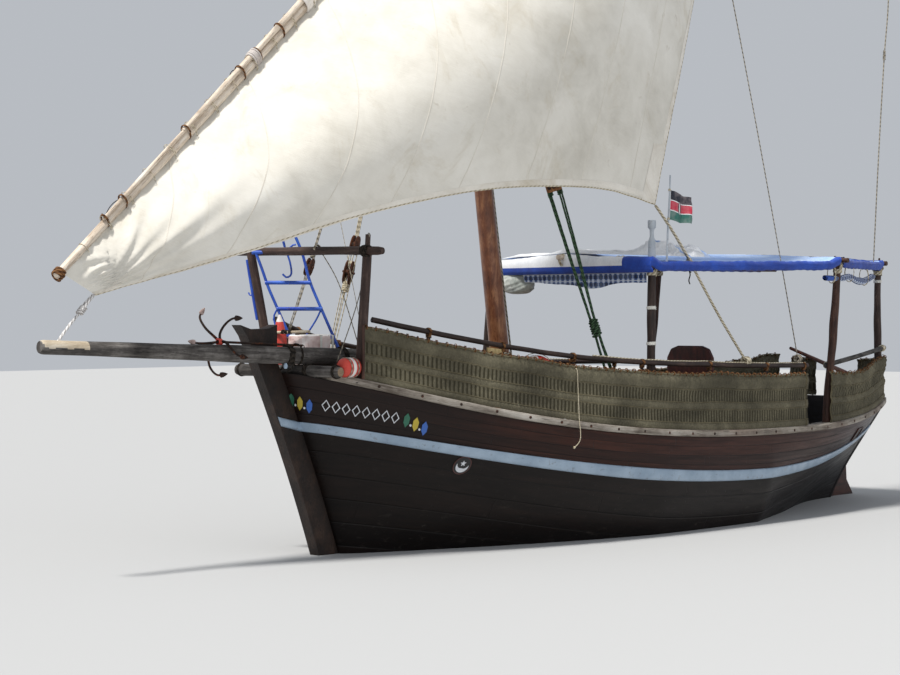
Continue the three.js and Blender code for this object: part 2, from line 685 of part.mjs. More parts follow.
function mast() {
  const crossing = (YARD_FOOT.x - 2890) / (YARD_FOOT.x - YARD_PEAK.x);
  const centre = yardPoint(crossing);
  const r = yardRadius(crossing);
  const corner = (a, n, b) => centre.clone().addScaledVector(YARD_DIR, a)
    .addScaledVector(YARD_PORT, n).addScaledVector(YARD_DOWN, b);
  const near = -(r + GAP);
  const cheek = loft([near, near - CHEEK.depth].map((n) => [
    corner(-CHEEK.length, n, -CHEEK.half), corner(CHEEK.length, n, -CHEEK.half),
    corner(CHEEK.length, n, CHEEK.half), corner(-CHEEK.length, n, CHEEK.half),
  ]));
  const under = box(1500, 2200, -300, 300, 500, DECK.top + GAP);
  return cut(join(mastBody(), cheek), under);
}

function mastThwart() {
  const plank = box(THWART.aft, THWART.front, -1800, 1800, THWART.low, THWART.high);
  return cut(clip(plank, INSIDE), mastBody(GAP));
}

function mastStep() {
  const block = box(MAST_STEP.aft, MAST_STEP.front, -MAST_STEP.half, MAST_STEP.half,
    DECK.top + GAP, DECK.top + MAST_STEP.height);
  return cut(block, mastBody(GAP));
}

function yard(grow = 0) {
  const spots = YARD_RADII.map((row) => row.s);
  return pole(spots.map(yardPoint), spots.map((s) => yardRadius(s) + grow), 12, YARD_PORT);
}

// Point of the sail: a runs from the tack to the leech, b from the foot to the yard
const FOOT_CURVE = new THREE.CatmullRomCurve3(SAIL_FOOT.map((p) => V(p.x, p.y, p.z)), false, 'centripetal');
function sailPoint(a, b) {
  const s = mix(SAIL.headFrom, SAIL.headTo, a);
  const head = yardPoint(s).addScaledVector(YARD_DOWN, yardRadius(s) - 3);
  const foot = FOOT_CURVE.getPoint(a);
  const depth = Math.sin(Math.PI * b) * mix(0, SAIL.belly, Math.sin(Math.PI * clamp01(a)) ** 0.8)
    + SAIL.leechBelly * a * Math.sin(Math.PI * b);
  return foot.lerp(head, b).addScaledVector(YARD_PORT, depth);
}

function sail() {
  const grid = [];
  for (let i = 0; i <= SAIL.columns; i += 1) {
    const a = i / SAIL.columns;
    grid.push(Array.from({ length: SAIL.rows + 1 }, (_, j) => sailPoint(a, j / SAIL.rows)));
  }
  return cut(sheet(grid, SAIL.thickness), yard(GAP));
}

// Stay from the masthead down to the cap, with the blocks of its tackle
function stay({ x, y, r, blocks }) {
  const z = capTop(x) - 60;
  const top = V(MAST.heelX + (MASTHEAD_Z - MAST.heelZ) * MAST.rake, 0, MASTHEAD_Z);
  const base = V(x, y, z);
  const line = pole([base, top], r, 8);
  const pulleys = blocks.map(({ t, length }) => {
    const centre = base.clone().lerp(top, t);
    const dir = top.clone().sub(base).normalize();
    const end = (d) => centre.clone().addScaledVector(dir, d);
    return pole([end(-length / 2), end(-length / 4), end(length / 4), end(length / 2)],
      [BLOCK.endR, BLOCK.middleR, BLOCK.middleR, BLOCK.endR], 8);
  });
  return cut(join(line, ...pulleys), UNDER_CAP_TOP, mastBody(GAP));
}

// Bow gear

const LOG_Z = sheerZ(LOG.x) + LOG.r;

// Centre and radius of the bowsprit, which lies on the cathead log
function bowspritAt(x) {
  const shareAt = (at) => (BOWSPRIT.tip - at) / (BOWSPRIT.tip - BOWSPRIT.heel);
  const shareLog = shareAt(LOG.x);
  const zLog = LOG_Z + LOG.r + GAP + mix(BOWSPRIT.tipR, BOWSPRIT.heelR, shareLog);
  const share = shareAt(x);
  const z = BOWSPRIT.tipZ + ((zLog - BOWSPRIT.tipZ) / shareLog) * share;
  return { centre: V(x, BOWSPRIT.heelY * share, z), r: mix(BOWSPRIT.tipR, BOWSPRIT.heelR, share) };
}

function bowspritBody(grow = 0) {
  const ends = [bowspritAt(BOWSPRIT.heel), bowspritAt(BOWSPRIT.tip)];
  return pole(ends.map((end) => end.centre), ends.map((end) => end.r + grow), 16);
}

// The bowsprit's end is cut to a flat scarf on top
function bowsprit() {
  const above = box(-SCARF.length, 50, -200, 200, 0, 200).rotateY(SCARF.slope)
    .translate(BOWSPRIT.tip, 0, BOWSPRIT.tipZ + SCARF.above);
  return cut(bowspritBody(), above);
}

function catheadLog() {
  const log = pole([V(LOG.x, -LOG.half, LOG_Z), V(LOG.x, LOG.half, LOG_Z)], LOG.r, 12);
  return cut(log, UNDER_SHEER);
}

function gallows() {
  const posts = [GALLOWS.port, GALLOWS.starboard].map((post) => pole([post.foot, post.top], post.radii, 8));
  const bar = pole([GALLOWS.bar.port, GALLOWS.bar.starboard], GALLOWS.bar.r, 8);
  return cut(join(...posts, bar), UNDER_CAP_TOP);
}

function grapnel() {
  const at = bowspritAt(GRAPNEL.x);
  const hub = at.centre.clone().add(V(0, GRAPNEL.hubY, at.r + GRAPNEL.lift));
  const aftAt = bowspritAt(GRAPNEL.end);
  const end = V(GRAPNEL.end, aftAt.centre.y + GRAPNEL.endY, aftAt.centre.z + aftAt.r + GRAPNEL.lift);
  const back = end.clone().sub(hub).normalize();
  const up = V(0, 0, 1);
  const side = back.clone().cross(up).normalize();
  const arms = GRAPNEL.arms.map((degrees) => {
    const angle = THREE.MathUtils.degToRad(degrees);
    const out = side.clone().multiplyScalar(-Math.cos(angle)).addScaledVector(up, Math.sin(angle));
    const spots = [0, 0.25, 0.5, 0.75, 1].map((t) => {
      const bend = t * GRAPNEL.bend;
      return hub.clone().addScaledVector(out, GRAPNEL.reach * Math.sin(bend) + 6)
        .addScaledVector(back, -60 + 200 * (1 - Math.cos(bend)) * 0.8 * t + 50 * (1 - t));
    });
    const tip = spots[4];
    const fluke = pole([tip.clone().addScaledVector(back, -34), tip.clone().addScaledVector(back, 30)],
      GRAPNEL.fluke, 6);
    return join(pole([hub, ...spots.slice(1)], GRAPNEL.armRadii, 6), fluke);
  });
  const shank = pole([hub.clone().addScaledVector(back, -GRAPNEL.ahead), end], GRAPNEL.shankR, 8);
  const crown = pole([hub.clone().addScaledVector(back, -24), hub.clone().addScaledVector(back, 30)],
    GRAPNEL.crownR, 8);
  return cut(join(shank, crown, ...arms), bowspritBody(GAP), ringTool());
}

// Space kept free round the stem head
function ringTool() {
  return box(HEAD.aft - 30, HEAD.front + 10, -STEM.half - 2, STEM.half + 4, 2000, STEM.top + 20);
}

function boardingLadder() {
  const centre = (z) => LADDER.top.clone().addScaledVector(LADDER.run, LADDER.top.z - z);
  const spot = (z, side) => centre(z).addScaledVector(LADDER.half, side);
  const stiles = [-1, 1].map((side) => pole([spot(LADDER.low, side), spot(LADDER.high, side)], LADDER.r, 6));
  const rungs = LADDER.rungs.map((z) => pole([spot(z, -1), spot(z, 1)], LADDER.r, 6));
  return cut(join(...stiles, ...rungs), UNDER_FOREDECK, gallowsBarTool());
}

function gallowsBarTool() {
  const inwards = V(0, 20, 0);
  return pole([GALLOWS.bar.port.clone().add(inwards), GALLOWS.bar.starboard.clone().sub(inwards)],
    GALLOWS.bar.r + GALLOWS.bar.clear, 8);
}

// Round body turned about a vertical axis, from rows of radius and height
function turned(rows, segments, place) {
  const points = rows.map((row) => new THREE.Vector2(row.r, row.z));
  return new THREE.LatheGeometry(points, segments).rotateX(Math.PI / 2).translate(place.x, place.y, place.z);
}

function markerBuoy() {
  const foot = V(BUOY.x, BUOY.y, foredeckTop(BUOY.x) - BUOY.sunk);
  return cut(turned(BUOY.rows, 14, foot), UNDER_FOREDECK);
}

function deckChest() {
  const body = box(CHEST.aft, CHEST.front, CHEST.starboard, CHEST.port, CHEST.low, CHEST.top);
  return cut(body, UNDER_FOREDECK);
}

function redFloat() {
  const points = FLOAT.rows.map((row) => new THREE.Vector2(row.r, row.z));
  const body = new THREE.LatheGeometry(points, 14).rotateZ(Math.PI / 2)
    .translate(FLOAT.x, FLOAT.y, capTop(FLOAT.x) + FLOAT.lift);
  return cut(body, UNDER_CAP_TOP);
}

function lifebuoy() {
  const ring = [];
  for (let k = 0; k < 8; k += 1) {
    const angle = (2 * Math.PI * k) / 8;
    ring.push(new THREE.Vector2(LIFEBUOY.ringR + LIFEBUOY.r * Math.cos(angle), LIFEBUOY.r * Math.sin(angle)));
  }
  ring.push(ring[0].clone());
  const { x, chord } = LIFEBUOY;
  const turn = Math.atan2(halfBreadth(x + chord) - halfBreadth(x - chord), 2 * chord);
  const body = new THREE.LatheGeometry(ring, 18).rotateZ(turn)
    .translate(x, halfBreadth(x) - LIFEBUOY.inset, capTop(x) + LIFEBUOY.lift);
  return cut(body, UNDER_CAP_TOP);
}

// Screens and rails

const matTop = (x) => capTop(x) + lookUp(MAT_HEIGHT, 'x', 'h', x);

function mat(side, front, aft) {
  const loops = stationsBetween(front, aft).map((x) => {
    const inner = halfBreadth(x) + MAT.inner;
    const outer = inner + MAT.thickness;
    const low = capTop(x) + GAP;
    const top = matTop(x);
    return [
      V(x, side * inner, low), V(x, side * outer, low), V(x, side * outer, top), V(x, side * inner, top),
    ];
  });
  return loft(loops);
}

function sternMat(side) {
  const top = capTop(sheerX(1));
  const x = transomX(top) - TRANSOM.thickness / 2;
  const [y0, y1] = side > 0 ? [STERN_MAT.inner, STERN_MAT.outer] : [-STERN_MAT.outer, -STERN_MAT.inner];
  return box(x - STERN_MAT.half, x + STERN_MAT.half, y0, y1, top + GAP, top + STERN_MAT.height);
}

function rail(side) {
  const spots = stationsBetween(RAIL.front, RAIL.aft);
  const railPoint = (x) => V(x, side * (halfBreadth(x) - RAIL.inset), matTop(x) + RAIL.above);
  const posts = RAIL.posts.map((x) => {
    const top = railPoint(x);
    return pole([V(x, top.y, capTop(x) - 40), top], RAIL.postR, 6, V(1, 0, 0));
  });
  return cut(join(pole(spots.map(railPoint), RAIL.r, 6), ...posts), UNDER_CAP_TOP);
}

const STERN_POST = { x: -4800, y: 838 };
function sternRail() {
  const body = pole([V(-2680, 1368, 1865), V(-4890, 885, 2057)], 30, 8);
  return cut(body, awningPost('port', 1, GAP), awningPost('port', 2, GAP));
}

// Awning

const SIDES = {
  port: {
    front: V(1230, 1500, AWNING.frontZ),
    mid: V(-2850, 1465, AWNING.aftZ),
    stern: V(-4880, 850, AWNING.aftZ),
  },
  starboard: {
    front: V(680, -1300, AWNING.frontZ),
    mid: V(-2850, -1330, AWNING.aftZ),
    stern: V(-4880, -850, AWNING.aftZ),
  },
};
const POST_FEET = {
  port: [V(1110, 1448, 900), V(-2620, 1415, 900), V(STERN_POST.x, STERN_POST.y, 900)],
  starboard: [V(690, -1452, 900), V(-2620, -1415, 900)],
};
const onLine = (a, b, x) => a.clone().lerp(b, (x - a.x) / (b.x - a.x));

// The forward port post stands up through the cloth to a waisted head
function postHead(grow = 0) {
  const { x, y } = POST_FEET.port[0];
  const rows = POST_HEAD.map((row) => ({ r: row.r > 0 ? row.r + grow : 0, z: row.z }));
  return turned(rows, 10, V(x - 25, y, 0));
}

function sidePole(name, grow = 0) {
  const { front, mid, stern } = SIDES[name];
  return pole([front, mid, stern], AWNING.poleR + grow, 8);
}

function awningPost(name, i, grow = 0) {
  const { front, mid } = SIDES[name];
  const foot = POST_FEET[name][i];
  const frontTop = onLine(front, mid, foot.x - 25);
  if (name === 'port') {
    frontTop.y = foot.y;
  }
  const top = [frontTop, onLine(front, mid, -2790), V(foot.x, foot.y, AWNING.aftZ)][i];
  return pole([foot, top], AWNING.postR + grow, 8, V(1, 0, 0));
}

function awningSide(name) {
  const posts = POST_FEET[name].map((foot, i) => awningPost(name, i));
  if (name === 'port') {
    posts.push(postHead());
  }
  return cut(join(sidePole(name), ...posts), UNDER_CAP_TOP);
}

const CROSS = [
  { name: 'awning_bow_pole', port: [1184, 1545], starboard: [650, -1340], overhang: 90 },
  { name: 'awning_mid_pole', port: [-2790, 1620], starboard: [-2790, -1480], overhang: 0 },
  { name: 'awning_stern_pole', port: [-4790, 980], starboard: [-4790, -980], overhang: -70 },
];
const sidePoleZ = (x) => onLine(SIDES.port.front, SIDES.port.mid, Math.max(x, SIDES.port.mid.x)).z;
function crossEnds(row) {
  const lift = 2 * AWNING.poleR - AWNING.notch;
  const starboardX = Math.max(row.starboard[0], SIDES.starboard.mid.x);
  const starboardZ = onLine(SIDES.starboard.front, SIDES.starboard.mid, starboardX).z;
  return [V(row.port[0], row.port[1], sidePoleZ(row.port[0]) + lift),
    V(row.starboard[0], row.starboard[1], starboardZ + lift)];
}
const crossBody = (row, grow = 0) => pole(crossEnds(row), AWNING.poleR + grow, 8);
const crossPole = (row) => cut(crossBody(row), sidePole('port', GAP), sidePole('starboard', GAP));

// The ridge pole lies in shallow notches on the three cross poles
function ridgeSpots() {
  return CROSS.map((row) => {
    const [port, starboard] = crossEnds(row);
    const spot = port.clone().lerp(starboard, (port.y - AWNING.ridgeY) / (port.y - starboard.y));
    return V(spot.x + row.overhang, AWNING.ridgeY, spot.z + AWNING.poleR + AWNING.ridgeR - AWNING.notch);
  });
}

const ridgeBody = (grow = 0) => pole(ridgeSpots(), AWNING.ridgeR + grow, 8);
const ridgePole = () => cut(ridgeBody(), ...CROSS.map((row) => crossBody(row, GAP)));

// Cloth over the ridge, with a flap down each side. ends holds, for the front
// and the back edge, the X and the half widths to port and to starboard.
function canopy(ends, ridgeFrom, ridgeTo, steps) {
  const across = [
    { y: 1, drop: 1 }, { y: 1, drop: 0 }, { y: 0.66, drop: 0 }, { y: 0.33, drop: 0 }, { y: 0, drop: 0 },
    { y: -0.33, drop: 0 }, { y: -0.66, drop: 0 }, { y: -1, drop: 0 }, { y: -1, drop: 1 },
  ];
  const grid = [];
  for (let i = 0; i <= steps; i += 1) {
    const t = i / steps;
    grid.push(across.map(({ y, drop }) => {
      const port = mix(ends.front.port, ends.back.port, t);
      const starboard = mix(ends.front.starboard, ends.back.starboard, t);
      const side = y > 0 ? port : starboard;
      const xPort = mix(ends.front.xPort, ends.back.xPort, t);
      const xStarboard = mix(ends.front.xStarboard, ends.back.xStarboard, t);
      const wide = Math.abs(y);
      const px = mix(mix(xPort, xStarboard, 0.5), y > 0 ? xPort : xStarboard, wide);
      const ridge = mix(ridgeFrom, ridgeTo, t) + AWNING.ridgeR + AWNING.sheet / 2 - AWNING.notch;
      const edge = mix(ends.front.z, ends.back.z, t) + AWNING.sheet / 2;
      const z = mix(ridge, edge, wide) - drop * AWNING.flap;
      return V(px, mix(AWNING.ridgeY, side, wide), z);
    }));
  }
  return cut(sheet(grid, AWNING.sheet), ridgeBody(GAP), ...CROSS.map((row) => crossBody(row, GAP)));
}

function mainCanopy() {
  const [bow, mid] = ridgeSpots();
  const lift = 3 * AWNING.poleR + GAP + 4;
  const cloth = canopy({
    front: { xPort: 1236, xStarboard: 696, port: 1572, starboard: -1372, z: AWNING.frontZ + lift },
    back: { xPort: -2735, xStarboard: -2735, port: 1540, starboard: -1402, z: AWNING.aftZ + lift },
  }, bow.z, mid.z, 8);
  return cut(cloth, postHead(4), pole([STAFF.foot, STAFF.top], STAFF.footR + 4, 8));
}

function aftCanopy() {
  const [, mid, stern] = ridgeSpots();
  const lift = 3 * AWNING.poleR + GAP + 4;
  return canopy({
    front: { xPort: -2845, xStarboard: -2845, port: 1520, starboard: -1400, z: AWNING.aftZ + lift },
    back: { xPort: -4735, xStarboard: -4735, port: 950, starboard: -950, z: AWNING.aftZ + lift },
  }, mid.z, stern.z, 6);
}

function valance() {
  const [port, starboard] = crossEnds(CROSS[0]);
  const grid = [];
  for (let i = 0; i <= VALANCE.steps; i += 1) {
    const t = mix(VALANCE.from, VALANCE.till, i / VALANCE.steps);
    const top = port.clone().lerp(starboard, t).add(V(AWNING.poleR + VALANCE.out, 0, VALANCE.lift));
    const depth = VALANCE.depth + VALANCE.sag * Math.sin(Math.PI * i * 0.5);
    grid.push([0, 1, 2].map((k) => V(top.x - VALANCE.lean * k, top.y, top.z - (k * depth) / 2)));
  }
  return cut(sheet(grid, VALANCE.sheet), crossBody(CROSS[0], GAP));
}

// The staff stands on the port side pole
function flagstaff() {
  const { front, mid } = SIDES.port;
  const staff = pole([STAFF.foot, STAFF.top], [STAFF.footR, STAFF.topR], 8);
  return cut(staff, pole([front, mid], AWNING.poleR + GAP, 8));
}

function flag() {
  const staffAt = (z) => STAFF.top.clone().lerp(STAFF.foot, (STAFF.top.z - z) / (STAFF.top.z - STAFF.foot.z));
  const grid = [];
  for (let i = 0; i <= 8; i += 1) {
    const t = i / 8;
    const out = (FLAG.wave * Math.sin(FLAG.ripple * t) + FLAG.drift) * t;
    grid.push([0, 1, 2, 3].map((k) => {
      const z = FLAG.top - k * FLAG.step;
      const hoist = staffAt(z);
      return V(hoist.x - FLAG.gap - FLAG.fly * t, hoist.y + out, z - FLAG.droop * t);
    }));
  }
  const staff = pole([STAFF.foot, STAFF.top], [STAFF.footR + GAP, STAFF.topR + GAP], 8);
  return cut(sheet(grid, FLAG.sheet), staff);
}

function helmBox() {
  const body = box(HELM.aft, HELM.front, -HELM.half, HELM.half, DECK.top + GAP, HELM.top);
  const back = loft([HELM.backAft, HELM.backFront].map((x) => HELM_BACK.map(({ y, z }) => V(x, y, z))));
  return join(body, back);
}

function engineBlock() {
  return clip(box(ENGINE.aft, ENGINE.front, -ENGINE.half, ENGINE.half, ENGINE.low, ENGINE.top), INSIDE);
}

// Cord that comes out of a slit in the port screen and hangs down the side:
// along the boat, out from the screen's face, and down from its top edge
const CORD = { x: 2540, r: 5 };
const CORD_PATH = [
  { along: 0, out: 0, down: 25 },
  { along: 0, out: 14, down: 25 },
  { along: -1, out: 26, down: 40 },
  { along: -3, out: 30, down: 70 },
  { along: -12, out: 28, down: 200 },
  { along: -22, out: 30, down: 400 },
  { along: -30, out: 34, down: 600 },
  { along: -34, out: 48, down: 720 },
  { along: -32, out: 42, down: 800 },
  { along: 5, out: 36, down: 850 },
  { along: 60, out: 40, down: 880 },
];
function hangingCord() {
  const spots = stationsBetween(MAT.front.port, MAT.gate[1]);
  const after = spots.findIndex((x) => x < CORD.x);
  const face = (x) => V(x, halfBreadth(x) + MAT.inner + MAT.thickness, 0);
  const start = onLine(face(spots[after - 1]), face(spots[after]), CORD.x);
  const chord = face(spots[after - 1]).sub(face(spots[after])).normalize();
  const outwards = V(-chord.y, chord.x, 0);
  return rod(CORD_PATH.map((row) => start.clone().addScaledVector(chord, row.along)
    .addScaledVector(outwards, row.out + 2 * GAP).setZ(matTop(CORD.x) - row.down)), CORD.r, 40);
}

// Colours of the boat
const finish = (colour, roughness, metalness = 0) => new THREE.MeshStandardMaterial({
  color: colour, roughness, metalness,
});
const FINISH = {
  darkWood: finish(0x2a1710, 0.55),
  redWood: finish(0x4a2416, 0.5),
  grayWood: finish(0x8d877c, 0.8),
  deckWood: finish(0x8a6a48, 0.7),
  mastWood: finish(0x9c5a2e, 0.45),
  paleSpar: finish(0xb9a58a, 0.75),
  white: finish(0xe6e8ea, 0.45),
  mat: finish(0x7d7650, 0.9),
  canvas: finish(0xe3ddcc, 0.85),
  blueCloth: finish(0x1f4fb0, 0.75),
  checkedCloth: finish(0x5c7fc4, 0.8),
  bluePaint: finish(0x2450b4, 0.4),
  rust: finish(0x2c2320, 0.8, 0.4),
  red: finish(0xc43a34, 0.5),
  wrapped: finish(0xe4d9dc, 0.4),
  greyPaint: finish(0xa9adb3, 0.5),
  flag: finish(0xb02030, 0.8),
  rope: finish(0x4b5a3c, 0.85),
  paleRope: finish(0xb7a98c, 0.85),
  bronze: finish(0xa07a45, 0.35, 0.9),
  engine: finish(0x55605c, 0.5, 0.5),
};

const boat = new THREE.Group();
const rig = new THREE.Group();
const steering = new THREE.Group();
boat.add(rig, steering);

function add(group, name, geometry, material) {
  geometry.computeVertexNormals();
  const mesh = new THREE.Mesh(geometry, material);
  mesh.name = name;
  group.add(mesh);
}

// Hull
add(boat, 'hull_planking', hullPlanking(), FINISH.darkWood);
add(boat, 'keel', keel(), FINISH.darkWood);
add(boat, 'stem_post', stemPost(), FINISH.darkWood);
add(boat, 'stern_post', sternPost(), FINISH.darkWood);
add(boat, 'transom', transom(), FINISH.darkWood);
for (const [name, side] of [['port', 1], ['starboard', -1]]) {
  add(boat, `rub_strake_${name}`, rubStrake(side), FINISH.white);
  add(boat, `gunwale_${name}`, gunwale(side), FINISH.grayWood);
  add(boat, `bench_${name}`, bench(side), FINISH.deckWood);
  add(boat, `mat_${name}`, mat(side, MAT.front[name], MAT.gate[1]), FINISH.mat);
  add(boat, `mat_${name}_aft`, mat(side, MAT.gate[0], MAT.aft), FINISH.mat);
  add(boat, `mat_stern_${name}`, sternMat(side), FINISH.mat);
  add(boat, `rail_${name}`, rail(side), FINISH.darkWood);
  add(boat, `awning_side_${name}`, awningSide(name), FINISH.redWood);
}
add(boat, 'main_deck', mainDeck(), FINISH.deckWood);
add(boat, 'foredeck', foredeck(bowspritBody(GAP)), FINISH.deckWood);
add(boat, 'mast_thwart', mastThwart(), FINISH.redWood);
add(boat, 'mast_step', mastStep(), FINISH.redWood);
add(boat, 'engine_block', engineBlock(), FINISH.engine);
add(boat, 'helm_box', helmBox(), FINISH.redWood);

// Bow gear
add(boat, 'bowsprit', bowsprit(), FINISH.grayWood);
add(boat, 'cathead_log', catheadLog(), FINISH.grayWood);
add(boat, 'gallows', gallows(), FINISH.redWood);
add(boat, 'grapnel_anchor', grapnel(), FINISH.rust);
add(boat, 'boarding_ladder', boardingLadder(), FINISH.bluePaint);
add(boat, 'marker_buoy', markerBuoy(), FINISH.red);
add(boat, 'deck_chest', deckChest(), FINISH.wrapped);
add(boat, 'float_red', redFloat(), FINISH.red);
add(boat, 'lifebuoy', lifebuoy(), FINISH.red);

// Awning, rail and flag
add(boat, 'stern_rail', sternRail(), FINISH.paleSpar);
for (const row of CROSS) {
  add(boat, row.name, crossPole(row), FINISH.redWood);
}
add(boat, 'awning_ridge_pole', ridgePole(), FINISH.paleSpar);
add(boat, 'canopy', mainCanopy(), FINISH.blueCloth);
add(boat, 'canopy_aft', aftCanopy(), FINISH.blueCloth);
add(boat, 'canopy_valance', valance(), FINISH.checkedCloth);
add(boat, 'flagstaff', flagstaff(), FINISH.greyPaint);
add(boat, 'flag', flag(), FINISH.flag);

// Mast, stays and the hanging cord
add(boat, 'mast', mast(), FINISH.mastWood);
for (const row of STAYS) {
  add(boat, row.name, stay(row), FINISH[row.rope]);
}
add(boat, 'hanging_cord', hangingCord(), FINISH.paleRope);

// Sail rig and steering
add(rig, 'yard', yard(), FINISH.paleSpar);
add(rig, 'sail', sail(), FINISH.canvas);
add(steering, 'rudder', rudder(), FINISH.darkWood);
add(steering, 'tiller', tiller(), FINISH.redWood);
add(boat, 'propeller', propeller(), FINISH.bronze);

export default boat;
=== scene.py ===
# Looks of the dhow sailing boat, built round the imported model.
# Metres: +X to the bow, +Y to port, +Z up, the origin amidships at the waterline.
import math

import bpy
import numpy as np
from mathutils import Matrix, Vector


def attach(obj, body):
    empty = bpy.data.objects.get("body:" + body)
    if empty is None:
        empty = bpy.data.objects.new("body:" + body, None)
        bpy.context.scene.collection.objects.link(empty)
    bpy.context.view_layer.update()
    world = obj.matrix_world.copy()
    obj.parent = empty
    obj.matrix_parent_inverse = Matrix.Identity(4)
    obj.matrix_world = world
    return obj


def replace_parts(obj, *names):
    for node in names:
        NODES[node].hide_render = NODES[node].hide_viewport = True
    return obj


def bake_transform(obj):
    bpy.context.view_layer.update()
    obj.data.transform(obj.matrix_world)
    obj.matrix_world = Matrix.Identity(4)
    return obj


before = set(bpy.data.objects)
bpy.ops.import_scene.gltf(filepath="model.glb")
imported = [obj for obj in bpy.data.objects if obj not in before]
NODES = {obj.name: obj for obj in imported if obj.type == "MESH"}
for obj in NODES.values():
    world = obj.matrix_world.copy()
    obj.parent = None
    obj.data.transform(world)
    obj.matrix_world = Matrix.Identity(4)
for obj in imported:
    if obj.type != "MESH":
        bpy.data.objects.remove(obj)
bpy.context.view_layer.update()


# Camera at the photograph's angle
EYE = (21.109, 16.409, 2.55)
LOOK = Vector((-0.7431, -0.6692, -math.tan(math.radians(0.69))))
camera = bpy.data.objects.new("camera", bpy.data.cameras.new("camera"))
camera.data.sensor_width = 36.0
camera.data.lens = 88.0
camera.data.clip_end = 400.0
camera.location = EYE
camera.rotation_euler = LOOK.to_track_quat("-Z", "Y").to_euler()
bpy.context.scene.collection.objects.link(camera)
bpy.context.scene.camera = camera


# Hull lines, the same formulas as the source of the solids
def rise(curve, x):
    low, at, bow, bow_run, bow_power, stern, stern_run, stern_power = curve
    ahead = np.maximum(x - at, 0) / bow_run
    astern = np.maximum(at - x, 0) / stern_run
    return low + bow * ahead**bow_power + stern * astern**stern_power


SHEER = (1.065, -1.8, 0.795, 7.14, 2.54, 0.235, 3.25, 2.2)
STRAKE = (0.665, -1.2, 0.73, 6.45, 1.85, 0.33, 3.7, 2.0)
CAP_OUT = 0.055
CAP_WIDTH = 0.235
CAP_THICK = 0.075
PLANK = 0.05
GAP = 0.0003


def stem_front(z):
    return 5.0 + 0.36 * z + 0.035 * z * z


def rabbet_x(z):
    return stem_front(z) - 0.28


def transom_x(z):
    return -4.72 - 0.26 * z


def along(u, z):
    return rabbet_x(z) * (1 - u) + transom_x(z) * u


def sheer_x(u):
    x = 5.5 * (1 - u) - 5.05 * u
    for _ in range(12):
        x = along(u, rise(SHEER, x))
    return x


BOW_END = float(sheer_x(np.array(0.0)))
STERN_END = float(sheer_x(np.array(1.0)))
STATION_X = sheer_x(np.linspace(0, 1, 27))[::-1]
STATION_Z = rise(SHEER, STATION_X)


def sheer_z(x):
    return np.interp(x, STATION_X, STATION_Z)


def cap_top(x):
    return sheer_z(x) + GAP + CAP_THICK


def half_breadth(x):
    s = np.clip((BOW_END - x) / (BOW_END - 0.26), 0, 1)
    bow = 0.07 + 1.55 * (1 - (1 - s) ** 2.1) ** 0.54
    t = np.maximum(0.26 - x, 0) / 5.31
    return np.where(x > 0.26, bow, 1.62 - 0.85 * t**2.97)


def smooth(t):
    t = np.clip(t, 0, 1)
    return t * t * (3 - 2 * t)


def bottom_z(u):
    return -0.95 + 0.5 * smooth((u - 0.72) / 0.28)


def breadth(u, z):
    x = sheer_x(u)
    top = rise(SHEER, x)
    low = bottom_z(u)
    fullness = np.interp(u, [0, 0.4, 0.62, 1], [1.25, 3.2, 3.1, 2.2])
    hollow = np.interp(u, [0, 0.4, 0.62, 1], [0.15, 0, 0, 1.3])
    t = np.clip((z - low) / (top - low), 0, 1)
    return 0.07 + (half_breadth(x) - 0.07) * (1 - (1 - t) ** fullness) * t**hollow


def breadth_out(u, z, out):
    slope = (breadth(u, z + 0.02) - breadth(u, z - 0.02)) / 0.04
    return np.maximum(0.004, breadth(u, z) + out * np.hypot(1, slope))


def station(x, z):
    return (rabbet_x(z) - x) / (rabbet_x(z) - transom_x(z))


def skin(x, z):
    return breadth(station(x, z), z)


# Mesh tools
def unit(v):
    return v / np.maximum(np.linalg.norm(v, axis=-1, keepdims=True), 1e-9)


def frames(path, up=(0, 0, 1)):
    tangent = unit(np.gradient(path, axis=0))
    first = np.zeros_like(path)
    a = np.array(up, float)
    if abs(a @ tangent[0]) > 0.95:
        a = np.array((1.0, 0.0, 0.0)) if abs(tangent[0][0]) < 0.9 else np.array((0.0, 1.0, 0.0))
    for i, t in enumerate(tangent):
        a = unit(a - t * (a @ t))
        first[i] = a
    return tangent, first, np.cross(tangent, first)


def lengths(path):
    return np.concatenate([[0], np.cumsum(np.linalg.norm(np.diff(path, axis=0), axis=1))])


def slopes(a, b, c, d):
    """Slopes of a centripetal curve at b and at c, with a before them and d after them."""
    k = [max(np.linalg.norm(q), 1e-6) ** 0.5 for q in (b - a, c - b, d - c)]
    m1 = ((b - a) / k[0] - (c - a) / (k[0] + k[1]) + (c - b) / k[1]) * k[1]
    m2 = ((c - b) / k[1] - (d - b) / (k[1] + k[2]) + (d - c) / k[2]) * k[1]
    return m1, m2


def between(b, c, m1, m2, w):
    return b + m1 * w + (3 * (c - b) - 2 * m1 - m2) * w**2 + (2 * (b - c) + m1 + m2) * w**3


def resample(points, step=0.05, count=None, curve=True):
    """Points at even distances along a smooth or straight line through points."""
    p = np.array(points, float)
    at = lengths(p)
    if curve and len(p) > 2:
        fine = []
        for i in range(len(p) - 1):
            a, b, c, d = p[max(i - 1, 0)], p[i], p[i + 1], p[min(i + 2, len(p) - 1)]
            if i == 0:
                a = 2 * b - c
            if i == len(p) - 2:
                d = 2 * c - b
            m1, m2 = slopes(a, b, c, d)
            for w in np.linspace(0, 1, 16, endpoint=i == len(p) - 2):
                fine.append(between(b, c, m1, m2, w))
        p = np.array(fine)
        at = lengths(p)
    n = count or max(2, int(round(at[-1] / step)) + 1)
    even = np.linspace(0, at[-1], n)
    return np.stack([np.interp(even, at, p[:, k]) for k in range(3)], axis=1)


